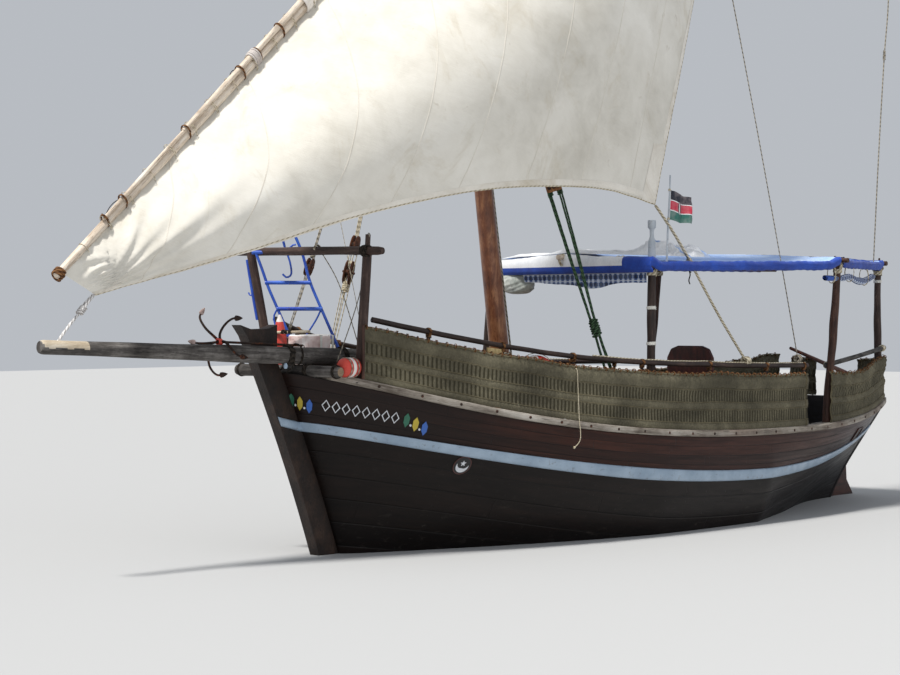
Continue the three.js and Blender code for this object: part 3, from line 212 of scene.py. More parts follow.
def waves(x, y, seed, octaves=6, base=1.0):
    """Smooth repeatable lumps from summed sines, about -1 to 1."""
    r = np.random.default_rng(seed)
    total = np.zeros(np.broadcast(x, y).shape)
    for k in range(octaves):
        f = base * 1.7**k
        a, b, c = r.uniform(-1, 1), r.uniform(-1, 1), r.uniform(0, 6.28)
        total += np.sin(f * (a * x + b * y) * 2 + c) / (1 + 0.6 * k)
    return total / 2.2


class Shape:
    """A mesh being made: points, faces, and a UV for each face corner."""

    def __init__(self):
        self.points, self.faces, self.uvs, self.slots, self.count = [], [], [], [], 0

    def put(self, points, faces, uvs, slot=0):
        self.points.append(np.asarray(points, float))
        self.faces.extend([[int(i) + self.count for i in f] for f in faces])
        self.uvs.extend(uvs)
        self.slots.extend([slot] * len(faces))
        self.count += len(points)

    def grid(self, p, uv=None, wrap=False, flip=False, slot=0):
        n, m = p.shape[:2]
        cols = m if wrap else m - 1
        if uv is None:
            du = lengths(p[:, 0])
            ring = np.concatenate([p[n // 2], p[n // 2][:1]]) if wrap else p[n // 2]
            dv = lengths(ring)
            uv = np.stack(np.meshgrid(du, dv, indexing="ij"), -1)
        i, j = [q.ravel() for q in np.meshgrid(np.arange(n - 1), np.arange(cols), indexing="ij")]
        order = [(i, j), (i + 1, j), (i + 1, j + 1), (i, j + 1)]
        if flip:
            order.reverse()
        faces = np.stack([a * m + b % m for a, b in order], -1)
        corners = np.stack([uv[a, b] for a, b in order], 1)
        self.put(p.reshape(-1, 3), faces.tolist(), corners.reshape(-1, 2).tolist(), slot)

    def fan(self, ring, centre, flip=False, slot=0):
        n = len(ring)
        points = np.concatenate([ring, [centre]])
        axis = unit(np.cross(ring[0] - centre, ring[n // 4] - centre))
        side = unit(ring[0] - centre)
        other = np.cross(axis, side)
        flat = np.stack([(points - centre) @ side, (points - centre) @ other], -1)
        faces, uvs = [], []
        for k in range(n):
            face = [k, (k + 1) % n, n]
            if flip:
                face.reverse()
            faces.append(face)
            uvs.extend(flat[face].tolist())
        self.put(points, faces, uvs, slot)

    def tube(self, path, radius, sides=12, up=(0, 0, 1), caps=True, chamfer=0.0, wobble=0.0,
             seed=1, slot=0, squash=1.0, strands=0, pitch=0.1, square=0, end_slot=None):
        path = np.asarray(path, float)
        tangent, a, b = frames(path, up)
        r = np.broadcast_to(np.asarray(radius, float), (len(path),)).copy()
        at = lengths(path)
        angle = np.arange(sides) * 2 * math.pi / sides
        ring = r[:, None] * np.ones(sides)
        if wobble:
            ring *= 1 + wobble * waves(np.cos(angle)[None] * 1.6, at[:, None] * 1.3, seed, 5, 0.8)
        if square:
            reach = np.abs(np.cos(angle))**square + np.abs(np.sin(angle))**square
            ring = ring / reach[None] ** (1 / square)
        if strands:
            turn = angle[None] - 2 * math.pi * at[:, None] / pitch
            ring *= 0.84 + 0.18 * np.abs(np.cos(strands * turn / 2))
        cos, sin = np.cos(angle), np.sin(angle) * squash
        p = (path[:, None] + ring[..., None] * (a[:, None] * cos[None, :, None]
                                                + b[:, None] * sin[None, :, None]))
        if caps and chamfer:
            first = path[0] + (p[0] - path[0]) * (1 - chamfer) - tangent[0] * r[0] * chamfer * 0.7
            last = path[-1] + (p[-1] - path[-1]) * (1 - chamfer) + tangent[-1] * r[-1] * chamfer * 0.7
            p = np.concatenate([[first], p, [last]])
            at = np.concatenate([[at[0] - r[0] * chamfer], at, [at[-1] + r[-1] * chamfer]])
        round_ = np.linspace(0, 2 * math.pi * float(r.mean()), sides + 1)
        uv = np.stack(np.meshgrid(at, round_, indexing="ij"), -1)
        self.grid(p, uv, wrap=True, flip=True, slot=slot)
        if caps:
            end = slot if end_slot is None else end_slot
            self.fan(p[0], p[0].mean(axis=0), flip=True, slot=end)
            self.fan(p[-1], p[-1].mean(axis=0), slot=end)

    def coil(self, centre, axis, radius, rope, turns, pitch, up=(0, 0, 1), sides=7, squash=(1, 1), slot=0,
             per=18, seed=3):
        """Lashing wound round an axis."""
        axis = unit(np.array(axis, float))
        a = np.array(up, float)
        a = unit(a - axis * (a @ axis))
        b = np.cross(axis, a)
        r = np.random.default_rng(seed)
        t = np.linspace(0, turns, int(turns * per) + 1)
        loose = 1 + 0.03 * np.sin(t * 2.1 + r.uniform(0, 6))
        angle = t * 2 * math.pi + r.uniform(0, 6)
        lean = (t - turns / 2) * pitch + rope * 0.3 * np.sin(t * 1.3)
        path = np.array(centre)[None] + axis * lean[:, None] \
            + a * (radius * squash[0] * loose * np.cos(angle))[:, None] \
            + b * (radius * squash[1] * loose * np.sin(angle))[:, None]
        self.tube(path, rope, sides, up=axis, slot=slot)

    def lathe(self, rows, place, axis=(0, 0, 1), sides=24, up=(1, 0, 0), slot=0, squash=1.0):
        """Body turned about an axis, from rows of radius and height."""
        axis = unit(np.array(axis, float))
        a = np.array(up, float)
        a = unit(a - axis * (a @ axis))
        b = np.cross(axis, a)
        angle = np.arange(sides) * 2 * math.pi / sides
        rows = np.array(rows, float)
        p = np.array(place)[None, None] + axis * rows[:, 1][:, None, None] + rows[:, 0][:, None, None] * (
            a * np.cos(angle)[None, :, None] + b * (squash * np.sin(angle))[None, :, None])
        at = lengths(np.stack([rows[:, 0], rows[:, 1], rows[:, 0] * 0], -1))
        uv = np.stack(np.meshgrid(at, np.linspace(0, 2 * math.pi * rows[:, 0].max(), sides + 1),
                                  indexing="ij"), -1)
        self.grid(p, uv, wrap=True, flip=True, slot=slot)
        if rows[0][0] > 1e-4:
            self.fan(p[0], p[0].mean(axis=0), flip=True, slot=slot)
        if rows[-1][0] > 1e-4:
            self.fan(p[-1], p[-1].mean(axis=0), slot=slot)

    def box(self, centre, ex, ey, ez, half, slot=0):
        """Plain block with its edges cut back, along three unit axes."""
        c = np.array(centre, float)
        axes = [np.array(e, float) for e in (ex, ey, ez)]
        bevel = min(half) * 0.22
        rings = []
        for inset, depth in [(bevel, -1), (0, -1), (0, 1), (bevel, 1)]:
            edge = half[2] - (0 if inset else bevel)
            ring = []
            for sx, sy in [(-1, -1), (1, -1), (1, 1), (-1, 1)]:
                hx, hy = half[0] - inset, half[1] - inset
                cut = bevel * 0.8
                for dx, dy in ([(0, cut), (cut, 0)] if sx * sy > 0 else [(cut, 0), (0, cut)]):
                    ring.append(c + axes[0] * sx * (hx - dx) + axes[1] * sy * (hy - dy)
                                + axes[2] * depth * edge)
            rings.append(ring)
        p = np.array(rings)
        self.grid(p, wrap=True, flip=True, slot=slot)
        self.fan(p[0], p[0].mean(axis=0), flip=True, slot=slot)
        self.fan(p[-1], p[-1].mean(axis=0), slot=slot)

    def make(self, name, body, materials, smooth=True, slot_name=None, angle=40):
        points = np.concatenate(self.points)
        mesh = bpy.data.meshes.new(name)
        mesh.from_pydata(points.tolist(), [], self.faces)
        layer = mesh.uv_layers.new(name="UVMap")
        layer.data.foreach_set("uv", np.array(self.uvs, np.float32).ravel())
        mesh.polygons.foreach_set("material_index", self.slots)
        for material in materials if isinstance(materials, (list, tuple)) else [materials]:
            mesh.materials.append(material)
        piece = bpy.data.objects.new(name, mesh)
        bpy.context.scene.collection.objects.link(piece)
        mesh.polygons.foreach_set("use_smooth", [smooth] * len(self.faces))
        if smooth and angle:
            mesh.set_sharp_from_angle(angle=math.radians(angle))
        mesh.update()
        if body:
            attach(piece, body)
        return piece


# Materials
def linear(colour):
    """Linear colour of an sRGB hex code; a colour already in numbers stays as it is."""
    if not isinstance(colour, str):
        return colour
    parts = [int(colour[i:i + 2], 16) / 255 for i in (0, 2, 4)]
    return tuple(c / 12.92 if c <= 0.04045 else ((c + 0.055) / 1.055) ** 2.4 for c in parts)


def shade(colour, gain):
    return tuple(gain * c for c in linear(colour))


def fade(black, white):
    """Stops of a ramp from black to white."""
    return [(black, (0, 0, 0)), (white, (1, 1, 1))]


class Value:
    """What a node gives. The usual signs add the node that works it out."""

    def __init__(self, graph, socket):
        self.graph = graph
        self.socket = socket

    def __add__(self, other):
        return self.graph.math("ADD", self, other)

    def __sub__(self, other):
        return self.graph.math("SUBTRACT", self, other)

    def __rsub__(self, other):
        return self.graph.math("SUBTRACT", other, self)

    def __mul__(self, other):
        return self.graph.math("MULTIPLY", self, other)

    def __truediv__(self, other):
        return self.graph.math("DIVIDE", self, other)

    def __pow__(self, other):
        return self.graph.math("POWER", self, other)


class Graph:
    """Short names for the nodes of one material."""

    def __init__(self, name):
        self.material = bpy.data.materials.new(name)
        self.material.use_nodes = True
        self.tree = self.material.node_tree
        self.tree.nodes.clear()
        self.out = self.tree.nodes.new("ShaderNodeOutputMaterial")
        self.shader = self.tree.nodes.new("ShaderNodeBsdfPrincipled")
        self.tree.links.new(self.shader.outputs[0], self.out.inputs[0])

    def node(self, kind, inputs, **settings):
        made = self.tree.nodes.new(kind)
        for key, value in settings.items():
            setattr(made, key, value)
        for key, value in inputs.items():
            self.set(made.inputs[key], value)
        return made

    def give(self, kind, inputs, out=0, **settings):
        return Value(self, self.node(kind, inputs, **settings).outputs[out])

    def set(self, socket, value):
        if isinstance(value, Value):
            self.tree.links.new(value.socket, socket)
        elif isinstance(value, (str, tuple, list)) and socket.type == "RGBA":
            socket.default_value = (*linear(value)[:3], 1.0)
        else:
            socket.default_value = value

    def coords(self, kind="Object", scale=(1, 1, 1)):
        return self.map(self.give("ShaderNodeTexCoord", {}, kind), scale)

    def map(self, vector, scale):
        return self.give("ShaderNodeMapping", {"Vector": vector, "Scale": scale})

    def split(self, vector):
        made = self.node("ShaderNodeSeparateXYZ", {"Vector": vector})
        return [Value(self, socket) for socket in made.outputs]

    def join(self, x=0.0, y=0.0, z=0.0):
        return self.give("ShaderNodeCombineXYZ", {"X": x, "Y": y, "Z": z})

    def noise(self, vector, scale=5.0, detail=4.0, rough=0.55, distort=0.0):
        inputs = {"Vector": vector, "Scale": scale, "Detail": detail, "Roughness": rough,
                  "Distortion": distort}
        return self.give("ShaderNodeTexNoise", inputs, "Fac")

    def cells(self, vector, scale=5.0, feature="F1", out="Distance", random=1.0):
        inputs = {"Vector": vector, "Scale": scale, "Randomness": random}
        return self.give("ShaderNodeTexVoronoi", inputs, out, feature=feature)

    def math(self, how, a, b=0.0):
        return self.give("ShaderNodeMath", {0: a, 1: b}, operation=how)

    def span(self, value, a, b, to=0.0, till=1.0):
        return self.give("ShaderNodeMapRange", {0: value, 1: a, 2: b, 3: to, 4: till})

    def ramp(self, value, stops, how="LINEAR"):
        made = self.node("ShaderNodeValToRGB", {0: value})
        made.color_ramp.interpolation = how
        while len(made.color_ramp.elements) < len(stops):
            made.color_ramp.elements.new(0.5)
        for element, (at, colour) in zip(made.color_ramp.elements, stops):
            element.position = at
            element.color = (*linear(colour), 1.0)
        return Value(self, made.outputs[0])

    def mix(self, share, a, b, how="MIX"):
        made = self.node("ShaderNodeMix", {}, data_type="RGBA", blend_type=how)
        self.set(made.inputs[0], share)
        self.set(made.inputs[6], a)
        self.set(made.inputs[7], b)
        return Value(self, made.outputs[2])

    def bump(self, height, strength=0.5, depth=0.01, normal=None):
        made = self.node("ShaderNodeBump", {"Height": height, "Strength": strength, "Distance": depth})
        if normal is not None:
            self.set(made.inputs["Normal"], normal)
        return Value(self, made.outputs[0])

    def finish(self, colour, rough, normal=None, **constants):
        self.set(self.shader.inputs["Base Color"], colour)
        self.set(self.shader.inputs["Roughness"], rough)
        if normal is not None:
            self.set(self.shader.inputs["Normal"], normal)
        for key, value in constants.items():
            self.shader.inputs[key.replace("_", " ")].default_value = value
        return self.material


def wood(name, dark, mid, light, kind="Object", grain=(1, 9, 9), scale=2.2, rough=0.55, streaks=0.5,
         spots=0.0, bump=0.35, coat=0.0, cracks=0.4):
    """Timber whose grain runs along the axis with the smallest scale."""
    g = Graph(name)
    at = g.coords(kind, grain)
    broad = g.noise(at, scale, 3, 0.55, 0.6)
    fine = g.noise(at, scale * 9, 5, 0.7, 0.4)
    patches = g.noise(g.coords(kind, (1, 1, 1)), 2.6, 4, 0.6)
    tone = broad * 0.62 + fine * 0.38 + (patches - 0.5) * streaks
    colour = g.ramp(tone, [(0.27, dark), (0.5, mid), (0.72, light)])
    split = g.ramp(g.noise(at, scale * 4.5, 2, 0.5, 0.8), [(0.30, (1, 1, 1)), (0.36, (0, 0, 0))])
    split = split * cracks
    colour = g.mix(split, colour, shade(dark, 0.35))
    if spots:
        knot = g.ramp(g.cells(g.coords(kind, tuple(0.45 * s if s > 1 else s for s in grain)), 1.3),
                      [(0.04, (1, 1, 1)), (0.16, (0, 0, 0))])
        colour = g.mix(knot * spots, colour, shade(dark, 0.4))
    height = fine + broad * 0.7 - split
    gloss = g.span(fine + patches, 0.6, 1.5, rough + 0.12, rough - 0.1)
    constants = {"Specular_IOR_Level": 0.4}
    if coat:
        constants.update(Coat_Weight=coat, Coat_Roughness=0.25)
    return g.finish(colour, gloss, g.bump(height, bump, 0.006), **constants)


def cloth(name, dark, light, thread=420.0, kind="UV", rough=0.85, fold=0.5, stain=None, sheen=0.15):
    """Woven cloth: crossing threads, worn folds and soft stains."""
    g = Graph(name)
    at = g.coords(kind)
    x, y, _ = g.split(at)
    warp = g.math("SINE", x * thread)
    weft = g.math("SINE", y * thread)
    weave = warp * weft
    worn = g.noise(g.coords("Object"), 2.3, 6, 0.62)
    fine = g.noise(g.coords("Object"), 38.0, 3, 0.6)
    tone = worn * 0.75 + fine * 0.25
    colour = g.ramp(tone, [(0.32, dark), (0.66, light)])
    if stain:
        blot = g.ramp(g.noise(g.coords("Object"), 1.1, 5, 0.7, 1.2), fade(0.5, 0.68))
        colour = g.mix(blot * 0.55, colour, stain)
    height = weave * 0.05 + worn * fold + fine * 0.22
    return g.finish(colour, g.span(fine, 0.3, 0.7, rough - 0.06, rough + 0.08), g.bump(height, 0.35, 0.02),
                    Sheen_Weight=sheen, Sheen_Roughness=0.5, Specular_IOR_Level=0.25)


def rope_stuff(name, dark, light, lay=55.0, rough=0.85):
    """Twisted fibre: slanting strands along the UV length."""
    g = Graph(name)
    x, y, _ = g.split(g.coords("UV"))
    slant = x * lay + y * (lay * 1.6)
    strand = g.math("ABSOLUTE", g.math("SINE", slant))
    fibre = g.noise(g.coords("UV", (90, 220, 1)), 3.0, 3, 0.6)
    worn = g.noise(g.coords("Object"), 6.0, 4, 0.6)
    tone = strand * 0.5 + (fibre * 0.25 + worn * 0.35)
    colour = g.ramp(tone, [(0.15, shade(dark, 0.45)), (0.5, dark), (0.85, light)])
    return g.finish(colour, rough, g.bump(strand + fibre * 0.4, 0.6, 0.006), Specular_IOR_Level=0.2)


def paint(name, colour, worn, chips=0.35, rough=0.42, under=(0.12, 0.08, 0.05), grain=(1.2, 8, 8), bump=0.25,
          metal=0.0):
    """Brushed paint, dulled in patches and chipped to what is under it."""
    g = Graph(name)
    at = g.coords("Object")
    dull = g.noise(at, 3.1, 5, 0.6)
    brush = g.noise(g.coords("Object", grain), 14.0, 3, 0.6)
    base = g.mix(g.ramp(dull, fade(0.38, 0.7)), colour, worn)
    base = g.mix(g.span(brush, 0.3, 0.8, 0.0, 0.22), base, shade(colour, 0.6))
    chip = g.ramp(g.noise(at, 17.0, 6, 0.72, 0.5), fade(0.60, 0.64))
    chip = chip * chips
    base = g.mix(chip, base, under)
    height = brush * 0.6 - chip
    return g.finish(base, g.span(dull, 0.3, 0.7, rough - 0.08, rough + 0.16), g.bump(height, bump, 0.004),
                    Metallic=metal, Specular_IOR_Level=0.45)


def metal(name, dark, light, rough=0.5, rust=0.0, metallic=0.85, pit=18.0):
    g = Graph(name)
    at = g.coords("Object")
    grime = g.noise(at, pit, 6, 0.7)
    broad = g.noise(at, pit * 0.22, 4, 0.6)
    tone = grime * 0.5 + broad * 0.5
    colour = g.ramp(tone, [(0.35, dark), (0.65, light)])
    if rust:
        spot = g.ramp(g.noise(at, pit * 0.6, 5, 0.75, 0.6), fade(0.5, 0.6))
        colour = g.mix(spot * rust, colour, "7c4426")
    return g.finish(colour, g.span(grime, 0.3, 0.7, rough - 0.12, rough + 0.2), g.bump(grime, 0.45, 0.004),
                    Metallic=metallic)


DARK_WOOD = wood("dark_wood", "1d0f0b", "35190f", "54291a", grain=(1, 8, 8), rough=0.42, cracks=0.3)
RED_WOOD = wood("red_wood", "2c120b", "562617", "7d4026", grain=(3, 3, 9), rough=0.45, cracks=0.3)
HELM_WOOD = wood("helm_wood", "2a110c", "4a1f16", "6b3022", grain=(2, 9, 2), rough=0.4, cracks=0.2,
                 coat=0.15)
DECK_WOOD = wood("deck_wood", "4c3826", "7d6244", "a88b66", grain=(1, 14, 6), rough=0.72)
STEM_WOOD = wood("stem_wood", "0d0907", "21150f", "3d2b20", grain=(3, 3, 1.4), rough=0.55, cracks=0.5,
                 bump=0.5)
MAST_WOOD = wood("mast_wood", "3c1d12", "73432a", "a5744e", grain=(7, 7, 0.8), scale=2.6, rough=0.36,
                 streaks=0.8, cracks=0.45, coat=0.25)
YARD_WOOD = wood("yard_wood", "94806c", "d3c4b2", "efe6d9", kind="UV", grain=(0.9, 12, 1), scale=2.4,
                 rough=0.7, streaks=0.7, spots=0.6, bump=0.5, cracks=0.7)
GREY_LOG = wood("grey_log", "1d1a19", "4c4845", "7d7975", kind="UV", grain=(1.1, 14, 1), scale=2.2,
                rough=0.82, streaks=0.9, spots=0.7, bump=0.6, cracks=0.8)
BROWN_POLE = wood("brown_pole", "1d1210", "3b2a24", "5f4c43", kind="UV", grain=(1.0, 12, 1), scale=2.4,
                  rough=0.6, streaks=0.6, spots=0.5, bump=0.45, cracks=0.6)
RED_POLE = wood("red_pole", "1f110d", "432a20", "6b4a3a", kind="UV", grain=(1.0, 12, 1), scale=2.4,
                rough=0.6, streaks=0.6, spots=0.4, bump=0.45, cracks=0.5)
RAIL_POLE = wood("rail_pole", "120c0b", "2b1d18", "4d3a30", kind="UV", grain=(1.0, 12, 1), scale=2.4,
                 rough=0.55, streaks=0.5, bump=0.4, cracks=0.5)
FRESH_WOOD = wood("fresh_wood", "877660", "bbad97", "dcd3c3", grain=(1, 9, 9), rough=0.75, cracks=0.3)
CUT_WOOD = wood("cut_wood", "5a4936", "84705a", "a8957b", grain=(1, 9, 9), rough=0.75, cracks=0.3)
PEG_WOOD = wood("peg_wood", "4a2c18", "8a5a33", "b98a57", grain=(5, 5, 1), rough=0.6, cracks=0.3)
BLOCK_WOOD = wood("block_wood", "1e0f09", "4b2816", "7a4a2c", grain=(6, 6, 2), scale=4, rough=0.5)
BAMBOO = wood("bamboo", "8b7145", "c2a873", "e4d09c", kind="UV", grain=(0.6, 9, 1), scale=3.0, rough=0.5,
              cracks=0.2)
SAILCLOTH_EDGE = cloth("sail_edge", "d6d0c4", "ece7dd", 900, stain="b9ac94")
WRAP_CLOTH = cloth("wrap_cloth", "bdb4b0", "f4efe9", 500, stain="9c8f88")
BLUE_CLOTH = cloth("blue_cloth", "12327e", "2e62c4", 700, fold=0.8)
PALE_BLUE_CLOTH = cloth("pale_blue_cloth", "6f93cf", "b7cdec", 700, fold=0.9, stain="e8eef8")
WHITE_CLOTH = cloth("white_cloth", "c9cdd4", "f4f5f7", 800, fold=0.7)
GREY_ROPE = rope_stuff("grey_rope", "6e675b", "b3ab9b")
WHITE_ROPE = rope_stuff("white_rope", "b4b0ae", "f2f0ee")
PALE_ROPE = rope_stuff("pale_rope", "a2967c", "ded5bf")
BROWN_ROPE = rope_stuff("brown_rope", "4a2f1c", "8a6340")
GREEN_ROPE = rope_stuff("green_rope", "1c2b20", "4d6a4c")
DARK_ROPE = rope_stuff("dark_rope", "15120f", "3c352e")
WHITE_TAPE = cloth("white_tape", "c3c0b8", "ecebe6", 1200, rough=0.6)
BLUE_PAINT = paint("blue_paint", "1a3fa4", "3a6bd0", 0.45, 0.34, "5a4636", (3, 3, 3))
WHITE_PAINT = paint("white_paint", "9fb2c4", "8397ab", 0.4, 0.4, "5b4b3f", (1, 9, 9))
GREY_PAINT = paint("grey_paint", "9aa3ad", "c4cad0", 0.4, 0.5, "5a4636")
RED_PAINT = paint("red_paint", "b8261f", "d85a48", 0.25, 0.4, "6b4a40", (4, 4, 4))
RED_WHITE = paint("red_white", "e9e6e2", "d0ccc8", 0.2, 0.4, "8b7b70", (4, 4, 4))
CHALKY_IRON = metal("chalky_iron", "7d5f58", "c4b2ac", 0.8, 0.2, 0.1)
RUST = metal("rusty_iron", "15100e", "3d2c24", 0.72, 0.55, 0.45)
NAIL_IRON = metal("nail_iron", "1a1513", "3a2e28", 0.7, 0.5, 0.5, 40.0)
BRONZE = metal("bronze", "6b4a20", "b88a48", 0.32, 0.0, 0.95)
ENGINE_PAINT = paint("engine_paint", "3d5a52", "56726a", 0.4, 0.4, "3a3430", (3, 3, 3), metal=0.4)


# Hull planking
LOWER_ROWS = 9
UPPER_ROWS = 4
INNER_ROWS = 10


def planking(name, tones, zones, rough=0.5, plank=0.16):
    """Planks along UV x, one for each whole number of UV y."""
    g = Graph(name)
    x, v, _ = g.split(g.coords("UV"))
    row = g.math("FLOOR", v)
    part = g.math("FRACT", v)
    own = g.give("ShaderNodeTexWhiteNoise", {"W": row}, "Value", noise_dimensions="1D")
    grain = g.join(x * 0.8 + own * 40.0, v * 1.7, row)
    broad = g.noise(grain, 1.6, 3, 0.6, 0.5)
    fine = g.noise(g.map(grain, (2.0, 9.0, 1.0)), 3.0, 5, 0.7)
    tone = broad * 0.5 + fine * 0.4 + own * 0.16
    colour = g.ramp(tone, [(0.3, tones[0]), (0.52, tones[1]), (0.76, tones[2])])
    ox, _, oz = g.split(g.coords("Object"))
    blot = (g.noise(g.coords("Object"), 1.4, 4, 0.6) - 0.5) * 2.2
    # Each zone blends a tint in along x; the blue-grey tints toward the stern are a painted reflection of the
    # sky
    for start, end, tint, most in zones:
        share = g.span(ox + blot, start, end, 0.0, most)
        colour = g.mix(share, colour, g.mix(g.span(tone, 0.3, 0.8), shade(tint, 0.5), tint))
    edge = g.math("MINIMUM", part, 1.0 - part)
    seam = g.span(edge, 0.0, 0.045, 1.0, 0.0)
    butt = g.math("FRACT", (x + row * 1.37) / 3.3)
    butt = g.span(g.math("ABSOLUTE", butt - 0.5), 0.0, 0.0016, 1.0, 0.0)
    groove = g.math("MAXIMUM", seam, butt)
    nail_x = (g.math("FRACT", x / 0.38) - 0.5) * 0.38
    nail_v = (g.math("ABSOLUTE", part - 0.5) - 0.27) * plank
    reach = g.math("SQRT", nail_x * nail_x + nail_v * nail_v)
    nail = g.span(reach, 0.005, 0.009, 1.0, 0.0)
    colour = g.mix(groove * 0.8, colour, (0.006, 0.005, 0.004))
    colour = g.mix(nail * 0.5, colour, (0.012, 0.009, 0.008))
    salt = g.ramp(g.noise(g.coords("Object", (1, 1, 3)), 6.0, 6, 0.75, 0.6), fade(0.58, 0.75))
    salt = salt * g.span(oz, 0.0, 0.5, 0.7, 0.12) * 0.35
    colour = g.mix(salt, colour, "7d756c")
    height = (fine + broad) * 0.35 - groove * 1.2 - nail * 0.4
    gloss = g.span(broad + fine, 0.6, 1.4, rough + 0.14, rough - 0.14)
    return g.finish(colour, gloss, g.bump(height, 0.55, 0.008), Specular_IOR_Level=0.2)


# Blue-grey zones from about x -2.6 aft are painted sky reflection; the dark zone at the bow is a darker tint of
# the wood
LOWER_PLANKS = planking("lower_planks", ["070404", "100a08", "1c110d"],
                        [(-3.0, -4.9, "1f2126", 0.3)], 0.44, 0.19)
UPPER_PLANKS = planking("upper_planks", ["120806", "2c150e", "4a261a"],
                        [(2.2, 4.4, "1b1412", 0.85), (-2.6, -4.6, "343a45", 0.5)], 0.42, 0.12)
INNER_PLANKS = planking("inner_planks", ["2c150d", "4f2a1b", "6d4230"], [], 0.6, 0.15)


def strake_z(u):
    x = sheer_x(u)
    for _ in range(8):
        x = along(u, rise(STRAKE, x))
    width = np.interp(x, [-5.2, -2.5, 1.5, 5.6], [0.085, 0.115, 0.138, 0.098])
    return rise(STRAKE, x), width


def hull_rows(u, low, high, rows, out):
    """Points at even girth between two heights on station u."""
    z = np.linspace(low, high, 90)
    y = breadth_out(np.full_like(z, u), z, out) if out else breadth(np.full_like(z, u), z)
    x = along(u, z)
    line = np.stack([x, y, z], -1)
    at = lengths(line)
    even = np.linspace(0, at[-1], rows + 1)
    return np.stack([np.interp(even, at, line[:, k]) for k in range(3)], -1)


def hull_pieces():
    count = 150
    t = np.linspace(0, 1, count + 1)
    stations = t**1.7
    lower, upper, inner = [], [], []
    for u in stations:
        top = float(rise(SHEER, sheer_x(u)))
        band = float(strake_z(u)[0]) - 0.05
        lower.append(hull_rows(u, float(bottom_z(u)), band, 27, 0))
        upper.append(hull_rows(u, band, top, 12, 0))
    for u in 0.008 + (0.996 - 0.008) * stations:
        top = float(rise(SHEER, sheer_x(u)))
        inner.append(hull_rows(u, float(bottom_z(u)) + 0.06, top, 18, -PLANK))
    outer = Shape()
    inside = Shape()
    for side in (1, -1):
        mirror = np.array([1, side, 1.0])
        for rows, planks, slot in ((lower, LOWER_ROWS, 0), (upper, UPPER_ROWS, 1)):
            p = np.array(rows) * mirror
            v = np.linspace(0, planks, p.shape[1])
            uv = np.stack([p[:, :, 0], np.broadcast_to(v, p.shape[:2])], -1)
            outer.grid(p, uv, flip=side < 0, slot=slot)
        p = np.array(inner) * mirror
        uv = np.stack([p[:, :, 0], np.broadcast_to(np.linspace(0, INNER_ROWS, p.shape[1]), p.shape[:2])], -1)
        inside.grid(p, uv, flip=side > 0)
    floor = np.stack([np.array(lower)[:, 0] * np.array([1, s, 1.0]) for s in (1, -1)], 1)
    outer.grid(floor, flip=False)
    floor = np.stack([np.array(inner)[:, 0] * np.array([1, s, 1.0]) for s in (1, -1)], 1)
    inside.grid(floor, flip=True)
    for edge in (0, -1):
        ring = np.concatenate([lower[edge], upper[edge][1:]])
        outer.grid(np.stack([ring * np.array([1, s, 1.0]) for s in (-1, 1)], 1), flip=edge != 0)
    hull = outer.make("hull_skin", "hull", [LOWER_PLANKS, UPPER_PLANKS], angle=50)
    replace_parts(hull, "hull_planking")
    inside.make("hull_inside", "hull", [INNER_PLANKS], angle=50, slot_name="red_wood")


hull_pieces()


def ribs():
    shape = Shape()
    for x in np.arange(-4.5, 3.6, 0.42):
        for side in (1, -1):
            z = np.linspace(0.8, float(sheer_z(x)) - 0.005, 9)
            u = station(x, z)
            y = breadth_out(u, z, -PLANK - 0.022)
            path = np.stack([np.full_like(z, x), side * y, z], -1)
            ring = []
            for p in path:
                ring.append([p + np.array(d) * (1, side, 1) for d in
                             [(-0.03, 0.024, 0), (0.03, 0.024, 0), (0.034, -0.024, 0), (-0.034, -0.024, 0)]])
            shape.grid(np.array(ring), wrap=True, flip=side < 0)
    shape.make("hull_ribs", "hull", [RED_WOOD], smooth=False, slot_name="red_wood")


ribs()


# Cap rail and white rub strake
def cap_material():
    g = Graph("cap_wood")
    x, v, _ = g.split(g.coords("UV"))
    grain = g.coords("UV", (0.8, 13, 1))
    broad = g.noise(grain, 1.7, 4, 0.6, 0.5)
    fine = g.noise(grain, 12.0, 5, 0.72, 0.3)
    patch = g.noise(g.coords("Object"), 1.7, 5, 0.65)
    tone = broad * 0.45 + fine * 0.4 + (patch - 0.5) * 0.5
    colour = g.ramp(tone, [(0.26, "4b4138"), (0.44, "928a80"), (0.7, "cdc8bf")])
    brown = g.ramp(g.noise(g.coords("Object", (0.6, 1, 1)), 1.2, 3, 0.6), fade(0.52, 0.66))
    colour = g.mix(brown * 0.45, colour, "5e4030")
    scarf = x / 2.9 + v * 1.6
    scarf = g.span(g.math("ABSOLUTE", g.math("FRACT", scarf) - 0.5), 0.0, 0.0022, 1.0, 0.0)
    split = g.ramp(g.noise(grain, 7.0, 2, 0.5, 0.7), [(0.3, (1, 1, 1)), (0.35, (0, 0, 0))])
    dark = g.math("MAXIMUM", scarf, split * 0.6)
    colour = g.mix(dark, colour, "241b15")
    height = fine + broad - dark
    return g.finish(colour, g.span(fine, 0.3, 0.7, 0.68, 0.88), g.bump(height, 0.55, 0.006),
                    Specular_IOR_Level=0.25)


CAP_WOOD = cap_material()


